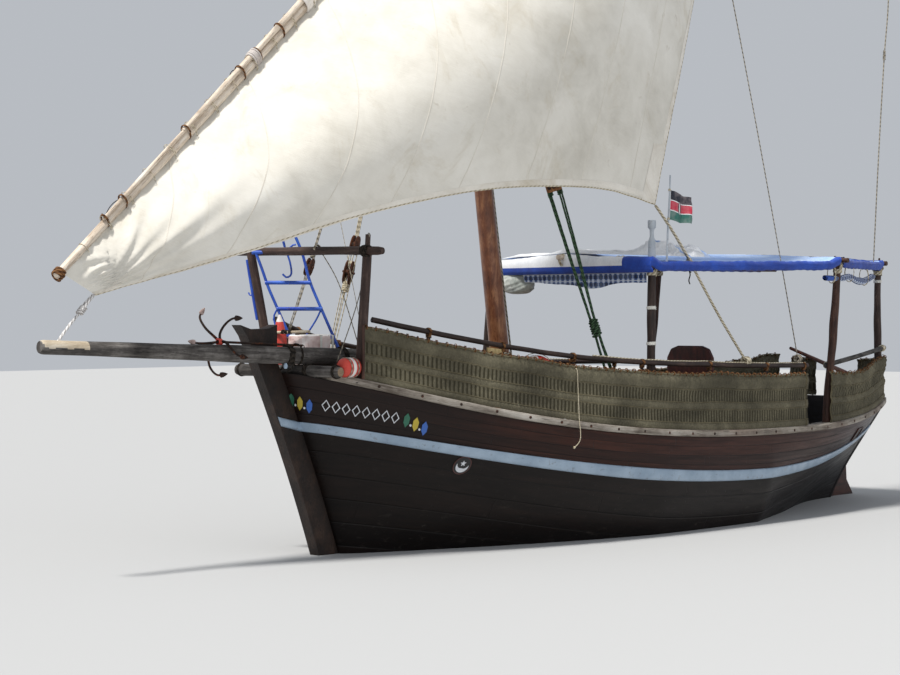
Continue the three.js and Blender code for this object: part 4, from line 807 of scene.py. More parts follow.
def cap_rail(side, name):
    x = np.linspace(5.3, STERN_END + 0.005, 170)
    outer = half_breadth(x) + CAP_OUT + 0.004 * waves(x, 0, 11, 4, 1.2)
    inner = np.maximum(outer - CAP_WIDTH, 0.03)
    low = sheer_z(x) + GAP
    high = low + CAP_THICK
    r = 0.014
    profile = [(1, 0, 0, r), (1, 0, -0.3 * r, 0.3 * r), (1, 0, -r, 0), (0, 0, r, 0), (0, 0, 0.3 * r, 0.3 * r),
               (0, 0, 0, r), (0, 1, 0, -r), (0, 1, 0.3 * r, -0.3 * r), (0, 1, r, 0), (1, 1, -r, 0),
               (1, 1, -0.3 * r, -0.3 * r), (1, 1, 0, -r)]
    rows = []
    for out, up, dy, dz in profile:
        y = np.where(out, outer, inner) + dy
        rows.append(np.stack([x, side * y, np.where(up, high, low) + dz], -1))
    p = np.stack(rows, 1)
    around = lengths(np.concatenate([p[80], p[80][:1]]))
    uv = np.stack(np.meshgrid(lengths(p[:, 0]), around, indexing="ij"), -1)
    shape = Shape()
    shape.grid(p, uv, wrap=True, flip=side > 0)
    shape.fan(p[0], p[0].mean(axis=0), flip=side < 0)
    shape.fan(p[-1], p[-1].mean(axis=0), flip=side > 0)
    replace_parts(shape.make(f"cap_rail_{name}", "hull", [CAP_WOOD], angle=50), f"gunwale_{name}")
    heads = Shape()
    for spot in np.arange(4.9, -4.9, -0.43):
        y = float(half_breadth(spot)) + CAP_OUT + 0.001
        slope = float(half_breadth(spot + 0.02) - half_breadth(spot - 0.02)) / 0.04
        axis = unit(np.array([-slope, side, 0.0]))
        z = float(sheer_z(spot)) + 0.036
        heads.lathe([(0.017, -0.004), (0.016, 0.002), (0.008, 0.006), (0, 0.007)], (spot, side * y, z), axis,
                    9, up=(0, 0, 1))
        heads.lathe([(0.012, -0.004), (0.011, 0.002), (0, 0.005)], (spot + 0.2, side * (y - 0.12), z + 0.04),
                    (0, 0, 1), 7)
    heads.make(f"cap_nails_{name}", "hull", [NAIL_IRON], slot_name="iron")


def rub_strake(side, name):
    start = -0.026 if side > 0 else -0.020
    u = start + (0.998 - start) * np.linspace(0, 1, 171) ** 1.5
    top, width = strake_z(u)
    rows = []
    profile = [(0, -0.012), (0, 0.008), (0.05, 0.024), (0.2, 0.032), (0.5, 0.034), (0.8, 0.032),
               (0.95, 0.024), (1, 0.008), (1, -0.012)]
    for share, out in profile:
        z = top - width + width * share
        ripple = 0.002 * waves(along(u, z), share, 21, 4, 2.0)
        rows.append(np.stack([along(u, z), side * (breadth(u, z) + out + ripple), z], -1))
    p = np.stack(rows, 1)
    shape = Shape()
    shape.grid(p, flip=side < 0)
    for edge, flip in ((0, side > 0), (-1, side < 0)):
        shape.fan(p[edge], p[edge].mean(axis=0), flip=flip)
    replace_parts(shape.make(f"white_strake_{name}", "hull", [WHITE_PAINT], angle=50), f"rub_strake_{name}")


for side, name in ((1, "port"), (-1, "starboard")):
    cap_rail(side, name)
    rub_strake(side, name)


# Painted ornaments on the bow and the small port in each quarter
def on_skin(x, z, out, side):
    return np.array([x, side * (float(skin(np.array(x), np.array(z))) + out), z])


def patch(shape, outline, side, out, slot, steps=3):
    """Flat figure laid on the planking, from points of x and z."""
    ring = []
    n = len(outline)
    for i in range(n):
        a, b = np.array(outline[i]), np.array(outline[(i + 1) % n])
        for k in range(steps):
            x, z = a + (b - a) * k / steps
            ring.append(on_skin(x, z, out, side))
    centre = np.mean(np.array(outline), axis=0)
    shape.fan(np.array(ring), on_skin(centre[0], centre[1], out, side), flip=side < 0, slot=slot)


def flat_paint(name, colour, worn=0.3):
    return paint(name, colour, tuple(0.75 * c + 0.03 for c in linear(colour)), worn, 0.5,
                 (0.02, 0.014, 0.012), (1, 6, 6))


MOTIF_PAINTS = [flat_paint("motif_white", "d8dbe0"), flat_paint("motif_green", "1f6a50"),
                flat_paint("motif_yellow", "c2ac34"), flat_paint("motif_blue", "2f66bd"),
                flat_paint("motif_dark", "0d0a0a"), flat_paint("motif_red", "4a1d16")]


# The band of ornaments follows the planking: distance along it, and height
BAND_X = np.linspace(5.42, 4.2, 400)
BAND_ARC = [0.0, 0.34, 0.73, 1.19, 1.5]
BAND_Z = [1.632, 1.592, 1.522, 1.438, 1.352]


def band_line():
    z = np.full_like(BAND_X, 1.5)
    y = skin(BAND_X, z)
    for _ in range(3):
        arc = lengths(np.stack([BAND_X, y, z * 0], -1))
        z = np.interp(arc, BAND_ARC, BAND_Z)
        y = skin(BAND_X, z)
    return arc


ARC = band_line()


def on_band(s, h, out, side):
    """Point on the planking at a distance along the band and a height above its middle."""
    z = float(np.interp(s, BAND_ARC, BAND_Z)) + h
    x = float(np.interp(s, ARC, BAND_X)) + 0.46 * h * math.exp(-s / 0.6)
    step = 0.01
    y, ahead, astern = [float(skin(np.array(q), np.array(z))) for q in (x, x + step, x - step)]
    normal = unit(np.array([astern - ahead, 2 * step, 0]))
    return np.array([x + normal[0] * out, side * (y + normal[1] * out), z])


def band_patch(shape, outline, side, slot, steps=2, out=0.006):
    ring, n = [], len(outline)
    for i in range(n):
        a, b = np.array(outline[i], float), np.array(outline[(i + 1) % n], float)
        ring.extend(on_band(*(a + (b - a) * k / steps), out, side) for k in range(steps))
    centre = on_band(*np.mean(np.array(outline, float), axis=0), out, side)
    shape.fan(np.array(ring), centre, flip=side > 0, slot=slot)


def colour_group(shape, s, side):
    """Three leaves, green, yellow and blue, with white dots between them."""
    for k, slot in enumerate((1, 2, 3)):
        at = s + 0.105 * k
        drop = -0.016 * k
        leaf = [(at, drop + 0.075), (at + 0.032, drop + 0.03), (at + 0.03, drop - 0.03), (at, drop - 0.075),
                (at - 0.03, drop - 0.03), (at - 0.032, drop + 0.03)]
        band_patch(shape, leaf, side, slot)
        if k < 2:
            ring = [(at + 0.052 + 0.013 * math.cos(a), drop - 0.04 + 0.013 * math.sin(a))
                    for a in np.linspace(0, 6.2832, 9)[:-1]]
            band_patch(shape, ring, side, 0, 1, 0.008)


def bow_ornaments():
    shape = Shape()
    for side in (1, -1):
        colour_group(shape, 0.02, side)
        colour_group(shape, 1.25, side)
        for k in range(8):
            s = 0.40 + 0.1035 * k
            outer = [(s + 0.045, 0), (s, 0.062), (s - 0.045, 0), (s, -0.062)]
            inner = [(s + (a - s) * 0.72, b * 0.78) for a, b in outer]
            for m in range(4):
                n = (m + 1) % 4
                band_patch(shape, [outer[m], outer[n], inner[n], inner[m]], side, 0)
        x0, z0 = 3.84, 0.925
        for radius, inner, slot, out in [(0.096, 0.086, 5, 0.007), (0.087, 0.0, 4, 0.008)]:
            ring = [(x0 + radius * math.cos(a), z0 + radius * math.sin(a))
                    for a in np.linspace(0, 6.2832, 33)[:-1]]
            if inner:
                for k in range(32):
                    a, b = ring[k], ring[(k + 1) % 32]
                    c = [(x0 + (q[0] - x0) * inner / radius, z0 + (q[1] - z0) * inner / radius)
                         for q in (b, a)]
                    patch(shape, [a, b, *c], side, out, slot, 1)
            else:
                patch(shape, ring, side, out, slot, 1)
        arc = np.linspace(1.85, -1.85, 22)
        for k in range(21):
            quad = []
            for a in (arc[k], arc[k + 1]):
                thin = 0.044 * math.cos(a / 1.85 * math.pi / 2) + 0.001
                quad.append([(x0 + r * math.sin(0.2 + a), z0 - 0.008 - r * math.cos(0.2 + a))
                             for r in (0.067, 0.067 - thin)])
            patch(shape, [quad[0][1], quad[1][1], quad[1][0], quad[0][0]], side, 0.010, 0, 1)
        star = []
        for k in range(10):
            r = 0.034 if k % 2 == 0 else 0.014
            a = math.pi / 2 + k * math.pi / 5
            star.append((x0 - 0.003 + r * math.cos(a), z0 + 0.021 + r * math.sin(a)))
        patch(shape, star, side, 0.010, 0, 1)
    shape.make("bow_ornaments", "hull", MOTIF_PAINTS, smooth=False, slot_name="white_paint")
    ports = Shape()
    for side in (1, -1):
        patch(ports, [(-3.82, 0.86), (-3.82, 1.0), (-4.08, 1.01), (-4.08, 0.87)], side, 0.006, 0, 4)
        for a, b in [((-3.80, 0.85), (-3.80, 1.01)), ((-4.10, 0.86), (-4.10, 1.02)),
                     ((-3.80, 1.005), (-4.10, 1.015)), ((-3.80, 0.855), (-4.10, 0.865))]:
            path = np.array([on_skin(*(np.array(a) + (np.array(b) - np.array(a)) * k / 4), 0.008, side)
                             for k in range(5)])
            ports.tube(path, 0.011, 6, slot=1)
    ports.make("quarter_ports", "hull", [MOTIF_PAINTS[4], DARK_WOOD], slot_name="dark_wood")


bow_ornaments()


# Timbers that keep the shape of their solids
def dress(node, material, bevel=0.0, angle=35, segments=2):
    piece = NODES[node]
    piece.data.materials.clear()
    piece.data.materials.append(material)
    weld = piece.modifiers.new("weld", "WELD")
    weld.merge_threshold = 0.0002
    if bevel:
        edge = piece.modifiers.new("edges", "BEVEL")
        edge.width = bevel
        edge.segments = segments
        edge.limit_method = "ANGLE"
        edge.angle_limit = math.radians(angle)
        edge.harden_normals = True
        edge.use_clamp_overlap = True


for node, material, bevel in [("stem_post", STEM_WOOD, 0.012), ("keel", DARK_WOOD, 0.008),
                              ("stern_post", DARK_WOOD, 0.006), ("transom", UPPER_PLANKS, 0.008),
                              ("rudder", DARK_WOOD, 0.006), ("tiller", RED_WOOD, 0.004),
                              ("propeller", BRONZE, 0.002), ("main_deck", DECK_WOOD, 0.0),
                              ("foredeck", DECK_WOOD, 0.004), ("bench_port", DECK_WOOD, 0.005),
                              ("bench_starboard", DECK_WOOD, 0.005), ("mast_thwart", RED_WOOD, 0.01),
                              ("mast_step", RED_WOOD, 0.01), ("engine_block", ENGINE_PAINT, 0.02),
                              ("helm_box", HELM_WOOD, 0.015)]:
    dress(node, material, bevel)


# Yard
YARD_FOOT = np.array([8.373, 0.0, 2.857])
YARD_PEAK = np.array([-3.05, 0.434, 13.258])
YARD = YARD_PEAK - YARD_FOOT
YARD_DIR = unit(YARD)
YARD_PORT = unit(np.array([0, 1.0, 0]) - YARD_DIR * YARD_DIR[1])
YARD_DOWN = np.cross(YARD_PORT, YARD_DIR)
if YARD_DOWN[2] > 0:
    YARD_DOWN = -YARD_DOWN
CREST = unit(-YARD_DOWN * 0.9 + YARD_PORT * 0.45)


def yard_radius(s):
    return np.interp(s, [0, 0.25, 0.6, 1], [0.038, 0.058, 0.066, 0.034])


def yard_at(s, down=0.0, port=0.0):
    s = np.asarray(s, float)[..., None]
    return (YARD_FOOT + YARD * s + YARD_DOWN * np.asarray(down)[..., None]
            + YARD_PORT * np.asarray(port)[..., None])


FISHES = [(0.05, 0.137, 0.022, 4), (0.135, 0.44, 0.032, 5), (0.53, 0.985, 0.030, 6)]


def crest_at(s, extra=0.0):
    """Points beside the yard where the second spars are lashed on."""
    return yard_at(s) + CREST * (yard_radius(s) + extra)[..., None]


YARD_TIES = [(0.0035, 3, 0.014, 0), (0.051, 2, 0.0055, 0), (0.0695, 2, 0.0055, 0), (0.137, 2, 0.0055, 0),
             (0.1975, 2, 0.0055, 0), (0.213, 5, 0.010, 2), (0.217, 1.5, 0.0055, 0), (0.243, 2, 0.0055, 0),
             (0.275, 6, 0.012, 2), (0.33, 3, 0.007, 0), (0.39, 3, 0.007, 0), (0.435, 4, 0.008, 0),
             (0.535, 4, 0.008, 0), (0.6, 3, 0.007, 0), (0.67, 3, 0.007, 0), (0.74, 3, 0.007, 0),
             (0.81, 3, 0.007, 0), (0.88, 3, 0.007, 0), (0.95, 3, 0.007, 0), (0.982, 4, 0.008, 0)]


def yard_pieces():
    s = np.linspace(0.0015, 0.9985, 260)
    shape = Shape()
    shape.tube(yard_at(s), yard_radius(s) * (1 + 0.02 * waves(s * 30, 0, 4, 4, 1)), 20, up=YARD_PORT,
               chamfer=0.35, wobble=0.035, seed=31)
    for start, end, r, seed in FISHES:
        s = np.linspace(start, end, 110)
        thin = r * (0.75 + 0.25 * np.sin(np.pi * (s - start) / (end - start)) ** 0.5)
        shape.tube(crest_at(s, thin * 0.96), thin, 14, up=YARD_PORT, chamfer=0.4, wobble=0.06, seed=seed)
    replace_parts(shape.make("yard_spars", "rig", [YARD_WOOD]), "yard")

    ropes = Shape()
    length = float(np.linalg.norm(YARD))
    for k, (s, turns, r, slot) in enumerate(YARD_TIES):
        doubled = any(a <= s <= b for a, b, _, _ in FISHES)
        own = float(yard_radius(s))
        centre = yard_at(s) + (CREST * 0.028 if doubled else 0)
        wide = (own + 0.036 + r * 0.6, own + r * 0.8) if doubled else (own + r * 0.8, own + r * 0.8)
        ropes.coil(centre, YARD_DIR, 1.0, r, turns, r * 2.05, up=CREST, squash=wide, seed=k, sides=8,
                   slot=slot)
    for k, s in enumerate(np.arange(0.028, 0.985, 0.35 / length)):
        own = float(yard_radius(s))
        near = any(a - 0.01 <= s <= b + 0.01 for a, b, _, _ in FISHES)
        lift = 0.04 if near else 0.0
        centre = yard_at(s, 0.014) + CREST * lift * 0.45
        ropes.coil(centre, YARD_DIR, 1.0, 0.0035, 1.3, 0.016, up=YARD_DOWN,
                   squash=(own + 0.022 + lift * 0.5, own + 0.004 + lift * 0.3), seed=60 + k, sides=6, per=16,
                   slot=1)
    ropes.make("yard_lashings", "rig", [BROWN_ROPE, PALE_ROPE, WRAP_CLOTH], slot_name="pale_rope")

    loose = Shape()
    for a, b, rise in [(0.0525, 0.0695, 0.035), (0.15, 0.187, 0.03), (0.187, 0.197, 0.045),
                       (0.33, 0.39, 0.04)]:
        t = np.linspace(0, 1, 12)
        bow = 4 * t * (1 - t)
        loose.tube(yard_at(a + (b - a) * t, -yard_radius(a + (b - a) * t) - 0.012 - rise * bow, 0.02), 0.0045,
                   6)
    loose.make("yard_gantline", "rig", [DARK_ROPE], slot_name="pale_rope")


yard_pieces()


# Sail
FOOT_POINTS = np.array([(7.902, 0, 2.701), (6.475, 0.606, 3.145), (5.346, 1.001, 3.511),
                        (3.898, 1.330, 3.808), (2.721, 1.443, 3.895), (1.868, 1.460, 3.887),
                        (1.026, 1.450, 3.763)])


def foot_at(a):
    """Centripetal curve through the points of the foot."""
    p = FOOT_POINTS
    n = len(p) - 1
    out = []
    for t in np.asarray(a) * n:
        i = min(int(t), n - 1)
        b, c = p[i], p[i + 1]
        before = p[i - 1] if i > 0 else 2 * b - c
        after = p[i + 2] if i + 2 <= n else 2 * c - b
        out.append(between(b, c, *slopes(before, b, c, after), t - i))
    return np.array(out)


def sail_surface(a, b):
    """Sail points for arrays a, from the tack to the leech, and b, from the foot to the yard."""
    s = 0.006 + 0.979 * a
    head = yard_at(s, yard_radius(s) - 0.003)
    depth = (np.sin(np.pi * b)[None] * (0.62 * np.sin(np.pi * np.clip(a, 0, 1))[:, None] ** 0.8
                                        + 0.09 * a[:, None]))
    foot = foot_at(a)
    return foot[:, None] + (head - foot)[:, None] * b[None, :, None] + YARD_PORT * depth[..., None]


CLEW = sail_surface(np.array([1.0]), np.array([0.0]))[0, 0]
PEAK = sail_surface(np.array([1.0]), np.array([1.0]))[0, 0]
TACK = sail_surface(np.array([0.0]), np.array([0.0]))[0, 0]
LEECH = unit(np.array([PEAK[0] - CLEW[0], PEAK[2] - CLEW[2]]))
INWARD = np.array([LEECH[1], -LEECH[0]])
SEAMS = [0.5, 1.33, 2.12, 2.93, 3.62, 4.30, 4.98, 5.62]


def leech_distance(p):
    rel = np.stack([p[..., 0] - CLEW[0], p[..., 2] - CLEW[2]], -1)
    bow = rel @ INWARD - 0.27 * np.clip((p[..., 2] - 4) / 3, 0, 1)
    return bow, rel @ LEECH


def sail_grid(na=250, nb=150):
    a, b = np.linspace(0, 1, na), np.linspace(0, 1, nb)
    p = sail_surface(a, b)
    across, up = leech_distance(p)
    reach = np.linalg.norm(p - TACK, axis=-1)
    turn = np.arctan2(p[..., 2] - TACK[2], TACK[0] - p[..., 0])
    push = (0.020 * np.exp(-reach / 1.5) * np.sin(turn * 34 + 2 * np.sin(reach * 1.5)) * np.clip(reach / 0.3,
                                                                                                 0, 1))
    push += 0.012 * np.exp(-reach / 3.2) * np.sin(turn * 17 + 1.0) * np.clip(reach / 0.6, 0, 1)
    edge = np.minimum(np.linspace(0, 1, nb)[None] * 30, 1)
    push += 0.0045 * waves(across * 0.5, up * 2.6, 41, 6, 1.3) * edge
    push += 0.010 * waves(across * 0.9, up * 0.5, 42, 4, 0.6)
    panel = np.interp(across, [-0.3, 0, *SEAMS, 9], np.arange(11))
    puff = np.abs(np.sin(np.pi * panel))
    push += 0.007 * (puff - 0.6)
    to_head = np.linalg.norm(p - p[:, -1:], axis=-1)
    along_head = (0.02 + 0.965 * a)[:, None] * float(np.linalg.norm(YARD))
    push += 0.016 * np.exp(-to_head / 0.35) * np.cos(along_head * 2 * np.pi / 0.35)
    to_foot = np.linalg.norm(p - p[:, :1], axis=-1)
    push += 0.006 * np.exp(-to_foot / 0.2) * np.sin(reach * 16)
    push *= np.minimum(reach / 0.15, 1)
    q = p + YARD_PORT * push[..., None]
    q[:, -1] = p[:, -1]
    return a, b, q, across, up


SA, SB, SAIL, SAIL_ACROSS, SAIL_UP = sail_grid()
DU = np.gradient(SAIL, axis=0)
DV = np.gradient(SAIL, axis=1)
SAIL_NORMAL = unit(np.cross(DU, DV))
SAIL_NORMAL *= np.sign((SAIL_NORMAL * YARD_PORT).sum(-1, keepdims=True))


def sail_material():
    g = Graph("sail_canvas")
    x, y, _ = g.split(g.coords("UV"))
    at = g.coords("Object")
    broad = g.noise(at, 0.55, 5, 0.62, 0.5)
    cloud = g.noise(at, 2.2, 6, 0.65, 0.4)
    fine = g.noise(g.coords("UV", (1, 6, 1)), 14.0, 4, 0.65)
    slub = g.noise(g.coords("UV", (2, 60, 1)), 4.0, 3, 0.6)
    tone = broad * 0.45 + cloud * 0.35 + slub * 0.15
    colour = g.ramp(tone, [(0.3, "bfbaae"), (0.48, "dcd8ce"), (0.66, "eeebe3")])
    stain = g.ramp(g.noise(g.coords("Object", (1, 1, 0.7)), 1.25, 6, 0.75, 1.5), fade(0.55, 0.72))
    colour = g.mix(stain * 0.4, colour, "b5a88c")
    spot = g.ramp(g.noise(at, 5.5, 3, 0.5), fade(0.70, 0.76))
    colour = g.mix(spot * 0.25, colour, "8f7f66")
    weave = g.math("SINE", x * 1400) * g.math("SINE", y * 1400)
    height = fine * 0.5 + slub * 0.3 + weave * 0.03 + cloud * 0.8
    return g.finish(colour, 0.88, g.bump(height, 0.22, 0.02), Sheen_Weight=0.1, Specular_IOR_Level=0.15)


def seam_material():
    g = Graph("sail_seam")
    x, y, _ = g.split(g.coords("UV"))
    worn = g.noise(g.coords("Object"), 3.0, 5, 0.6)
    colour = g.ramp(worn, [(0.3, "d2ccc0"), (0.7, "e4dfd4")])
    dash = g.math("GREATER_THAN", g.math("SINE", x * 380.0), 0.1)
    line = g.math("GREATER_THAN", g.math("SINE", y * 500.0), 0.55)
    stitch = dash * line
    colour = g.mix(stitch * 0.4, colour, "8d877a")
    return g.finish(colour, 0.85, g.bump(stitch, 0.4, 0.003), Specular_IOR_Level=0.2)


SAIL_CANVAS = sail_material()
SEAM_CLOTH = seam_material()


def strip_along(shape, path, normal, width, off, slot=0, side=1):
    """Narrow band of cloth laid on the sail along a path."""
    t = unit(np.gradient(path, axis=0))
    cross = unit(np.cross(normal, t))
    at = lengths(path)
    cols = [(-0.5, 0.2), (-0.42, 1), (0, 1.25), (0.42, 1), (0.5, 0.2)]
    p = np.stack([path + cross * width * c + normal * off * h for c, h in cols], 1)
    uv = np.stack([np.broadcast_to(at[:, None], p.shape[:2]),
                   np.broadcast_to(np.array([c for c, _ in cols]) * width, p.shape[:2])], -1)
    shape.grid(p, uv, flip=side < 0, slot=slot)


def sail_line(value):
    """Path on the sail where the distance from the leech has this value."""
    points, normals = [], []
    for j in range(SAIL.shape[1]):
        d = SAIL_ACROSS[:, j]
        if d.min() <= value <= d.max():
            order = np.argsort(d)
            i = np.interp(value, d[order], order.astype(float))
            lo = min(int(i), SAIL.shape[0] - 2)
            w = i - lo
            points.append(SAIL[lo, j] * (1 - w) + SAIL[lo + 1, j] * w)
            normals.append(SAIL_NORMAL[lo, j] * (1 - w) + SAIL_NORMAL[lo + 1, j] * w)
    return np.array(points), unit(np.array(normals))


def sail_pieces():
    shape = Shape()
    uv = np.stack([SAIL_ACROSS, SAIL_UP], -1)
    shape.grid(SAIL, uv, flip=True)
    canvas = shape.make("sail_cloth", "rig", [SAIL_CANVAS], angle=None)
    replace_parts(canvas, "sail")
    seams = Shape()
    for value in SEAMS:
        path, normal = sail_line(value)
        for side in (1, -1):
            strip_along(seams, path, normal * side, 0.014, 0.0014, side=side)
    path, normal = SAIL[-3], SAIL_NORMAL[-3]
    for side in (1, -1):
        strip_along(seams, path, normal * side, 0.075, 0.003, side=side, slot=1)
    path, normal = SAIL[4:, 1], SAIL_NORMAL[4:, 1]
    for side in (1, -1):
        strip_along(seams, path, normal * side, 0.07, 0.003, side=side, slot=1)
    hems = seams.make("sail_seams", "rig", [SEAM_CLOTH, SAILCLOTH_EDGE], angle=None, slot_name="canvas")
    corner = Shape()
    for grid in (SAIL[-14:, :12], SAIL[:8, :18]):
        normal = unit(np.cross(np.gradient(grid, axis=0), np.gradient(grid, axis=1)))
        normal *= np.sign((normal * YARD_PORT).sum(-1, keepdims=True))
        for side in (1, -1):
            corner.grid(grid + normal * 0.0032 * side, flip=side > 0)
    corners = corner.make("sail_corners", "rig", [SAILCLOTH_EDGE], angle=None, slot_name="canvas")
    ropes = Shape()
    ropes.tube(SAIL[:, 0] - (SAIL[:, 1] - SAIL[:, 0]) * 0.08, 0.0075, 8)
    ropes.tube(SAIL[-1], 0.007, 8)
    ropes.make("sail_bolt_ropes", "rig", [PALE_ROPE], slot_name="pale_rope")


sail_pieces()


# Mast
MAST_STEP_X = 1.847
MAST_STEP_Z = 0.78
MAST_TOP_Z = 8.1
MAST_RAKE = 0.1506
MAST_DIR = (0.1489, 0, 0.9889)


def mast_at(z):
    z = np.asarray(z, float)
    return np.stack([MAST_STEP_X + (z - MAST_STEP_Z) * MAST_RAKE, z * 0, z], -1)


def mast_radius(z):
    share = (np.asarray(z, float) - MAST_STEP_Z) / (MAST_TOP_Z - MAST_STEP_Z)
    return 0.12 + (0.084 - 0.12) * share


CHEEK_SHARE = (8.373 - 2.89) / 11.423


def mast_pieces():
    shape = Shape()
    z = np.linspace(0.803, 8.085, 150)
    shape.tube(mast_at(z), mast_radius(z), 28, up=(1, 0, 0), chamfer=0.25, wobble=0.012, seed=9)
    centre = yard_at(CHEEK_SHARE)
    r = float(yard_radius(CHEEK_SHARE))
    shape.box(centre - YARD_PORT * (r + 0.0433), YARD_DIR, YARD_DOWN, np.cross(YARD_DIR, YARD_DOWN),
              (0.15, 0.055, 0.043))
    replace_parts(shape.make("mast_spar", "hull", [MAST_WOOD]), "mast")
    ropes = Shape()
    for height, turns, r in [(7.86, 7, 0.013), (7.62, 4, 0.011), (1.25, 6, 0.012), (1.62, 5, 0.010),
                             (2.05, 3, 0.009)]:
        ropes.coil(mast_at(height), MAST_DIR, float(mast_radius(height)) + r * 0.75, r, turns, r * 2.05,
                   up=(1, 0, 0))
    top = mast_at(8.0) + np.array([-0.1, 0.0, 0.0])
    foot = mast_at(1.35) + np.array([-0.17, -0.02, 0.0])
    for side in (-0.035, 0.035):
        path = resample([yard_at(CHEEK_SHARE) + YARD_PORT * (r + 0.02) + np.array([0.0, 0, 0.1 + side]),
                         mast_at(8.02) + np.array([0.1, side * 0.8, 0.08]),
                         mast_at(8.12) + np.array([0, side, 0.012]), top + np.array([0, side, -0.05]),
                         top + np.array([-0.03, side, -0.6])], 0.04)
        ropes.tube(path, 0.012, 8)
        ropes.tube(np.array([path[-1], foot + np.array([0, side * 0.7, 0.25])]), 0.011, 8)
    ropes.make("mast_ropes", "hull", [GREY_ROPE], slot_name="pale_rope")
    blocks = Shape()
    axis = unit(foot - top)
    for t in (0.095, 0.93):
        block(blocks, top + (foot - top) * t + np.array([-0.02, 0, 0]), axis, 0.2)
    blocks.make("halyard_blocks", "hull", [BLOCK_WOOD, NAIL_IRON], slot_name="dark_wood")


def block(shape, centre, axis, size, flat=(0, 1, 0), slot=0, width=1.0):
    """Wooden pulley block: a rounded shell, a slot with its sheave, and a pin."""
    axis = unit(np.array(axis, float))
    flat = np.array(flat, float)
    flat = unit(flat - axis * (flat @ axis))
    rows = [(0, -0.5), (0.16, -0.48), (0.27, -0.36), (0.32, -0.15), (0.33, 0), (0.32, 0.15), (0.27, 0.36),
            (0.16, 0.48), (0, 0.5)]
    for d in (-1, 1):
        shape.lathe([(r * size * width, h * size) for r, h in rows],
                    np.array(centre) + flat * d * size * 0.13, axis, 18, up=np.cross(axis, flat), slot=slot,
                    squash=0.28)
    wheel = [(0.25 * size * width, -0.06 * size), (0.21 * size * width, 0),
             (0.25 * size * width, 0.06 * size)]
    shape.lathe([(0.0, -0.07 * size), *wheel, (0.0, 0.07 * size)], centre, flat, 18, up=axis, slot=slot + 1)
    shape.lathe([(0, -0.3 * size), (0.05 * size, -0.29 * size), (0.05 * size, 0.29 * size), (0, 0.3 * size)],
                centre, flat, 10, up=axis, slot=slot + 1)


mast_pieces()


# Stays with their tackles
HEAD = mast_at(7.88)


def stay_line(x, y):
    return np.array([x, y, float(cap_top(x)) - 0.06]), HEAD


def tackle(x, y, r, upper, lower, parts, spread, single=1):
    """One or more ropes from the masthead to the upper block, and parts of rope below it."""
    base, head = stay_line(x, y)
    base = base + np.array([0, 0, 0.062])
    line = unit(head - base)
    side = unit(np.cross(line, np.array([1.0, 0.2, 0])))
    side2 = np.cross(line, side)
    ropes, blocks = Shape(), Shape()
    span = head - base
    top = base + span * upper
    start = head + unit(np.array([base[0] - head[0], base[1] - head[1], 0])) * (0.1 + r)
    for k in range(single):
        shift = side * (k - (single - 1) / 2) * 2.6 * r
        ropes.tube(np.array([top + line * 0.1 + shift, start + shift]), r, 8)
    low = base + span * lower
    for k in range(parts):
        f = (k - (parts - 1) / 2) / max(parts - 1, 1)
        a = low + line * 0.02 + side * f * spread * 0.5 + side2 * 0.012 * math.sin(k * 2.1)
        b = top - line * 0.04 + side * f * spread + side2 * 0.012 * math.cos(k * 1.7)
        ropes.tube(resample([a, (a + b) / 2 + side2 * 0.004, b], 0.2), r * 0.8, 8)
    return base, line, side, side2, top, low, ropes, blocks


def starboard_fore():
    base, line, side, _, top, low, ropes, blocks = tackle(4.864, -0.77, 0.0068, 0.2, 0.035, 3, 0.05, 2)
    block(blocks, top, line, 0.20, flat=side, width=0.74)
    block(blocks, low, line, 0.16, flat=side, width=0.74)
    ropes.coil(base + line * 0.03, line, 0.03, 0.009, 4, 0.018)
    ropes.coil(top + line * 0.14, line, 0.022, 0.008, 5, 0.016)
    ropes.tube(resample([base, base + line * 0.08], 0.02), 0.014, 8)
    guy = [top + line * 0.9, np.array([4.6, 0.35, 2.15]), np.array([4.75, 0.86, float(cap_top(4.75)) + 0.01])]
    ropes.tube(resample(guy, 0.2, curve=False), 0.0035, 6)
    piece = ropes.make("tackle_fore_ropes", "hull", [GREY_ROPE], slot_name="pale_rope")
    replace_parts(piece, "stay_starboard_fore")
    blocks.make("tackle_fore_blocks", "hull", [BLOCK_WOOD, NAIL_IRON], slot_name="dark_wood")


def starboard_aft():
    base, line, side, _, top, _, ropes, blocks = tackle(3.85, -1.08, 0.0068, 0.27, 0.03, 4, 0.11, 3)
    block(blocks, top, line, 0.22, flat=side, width=0.8)
    second = base + (HEAD - base) * 0.222
    block(blocks, second, line, 0.27, flat=side, width=0.62)
    for d in (-1, 1):
        ropes.tube(resample([second + line * 0.13, second + side * 0.045 * d, second - line * 0.16,
                             second - line * 0.3], 0.03), 0.013, 8)
    ropes.coil(second - line * 0.17, line, 0.03, 0.010, 5, 0.02)
    ropes.coil(base + line * 0.03, line, 0.035, 0.010, 4, 0.02)
    ropes.tube(resample([base, base + line * 0.08], 0.02), 0.014, 8)
    piece = ropes.make("tackle_aft_ropes", "hull", [PALE_ROPE], slot_name="pale_rope")
    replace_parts(piece, "stay_starboard_aft")
    blocks.make("tackle_aft_blocks", "hull", [BLOCK_WOOD, NAIL_IRON], slot_name="dark_wood")


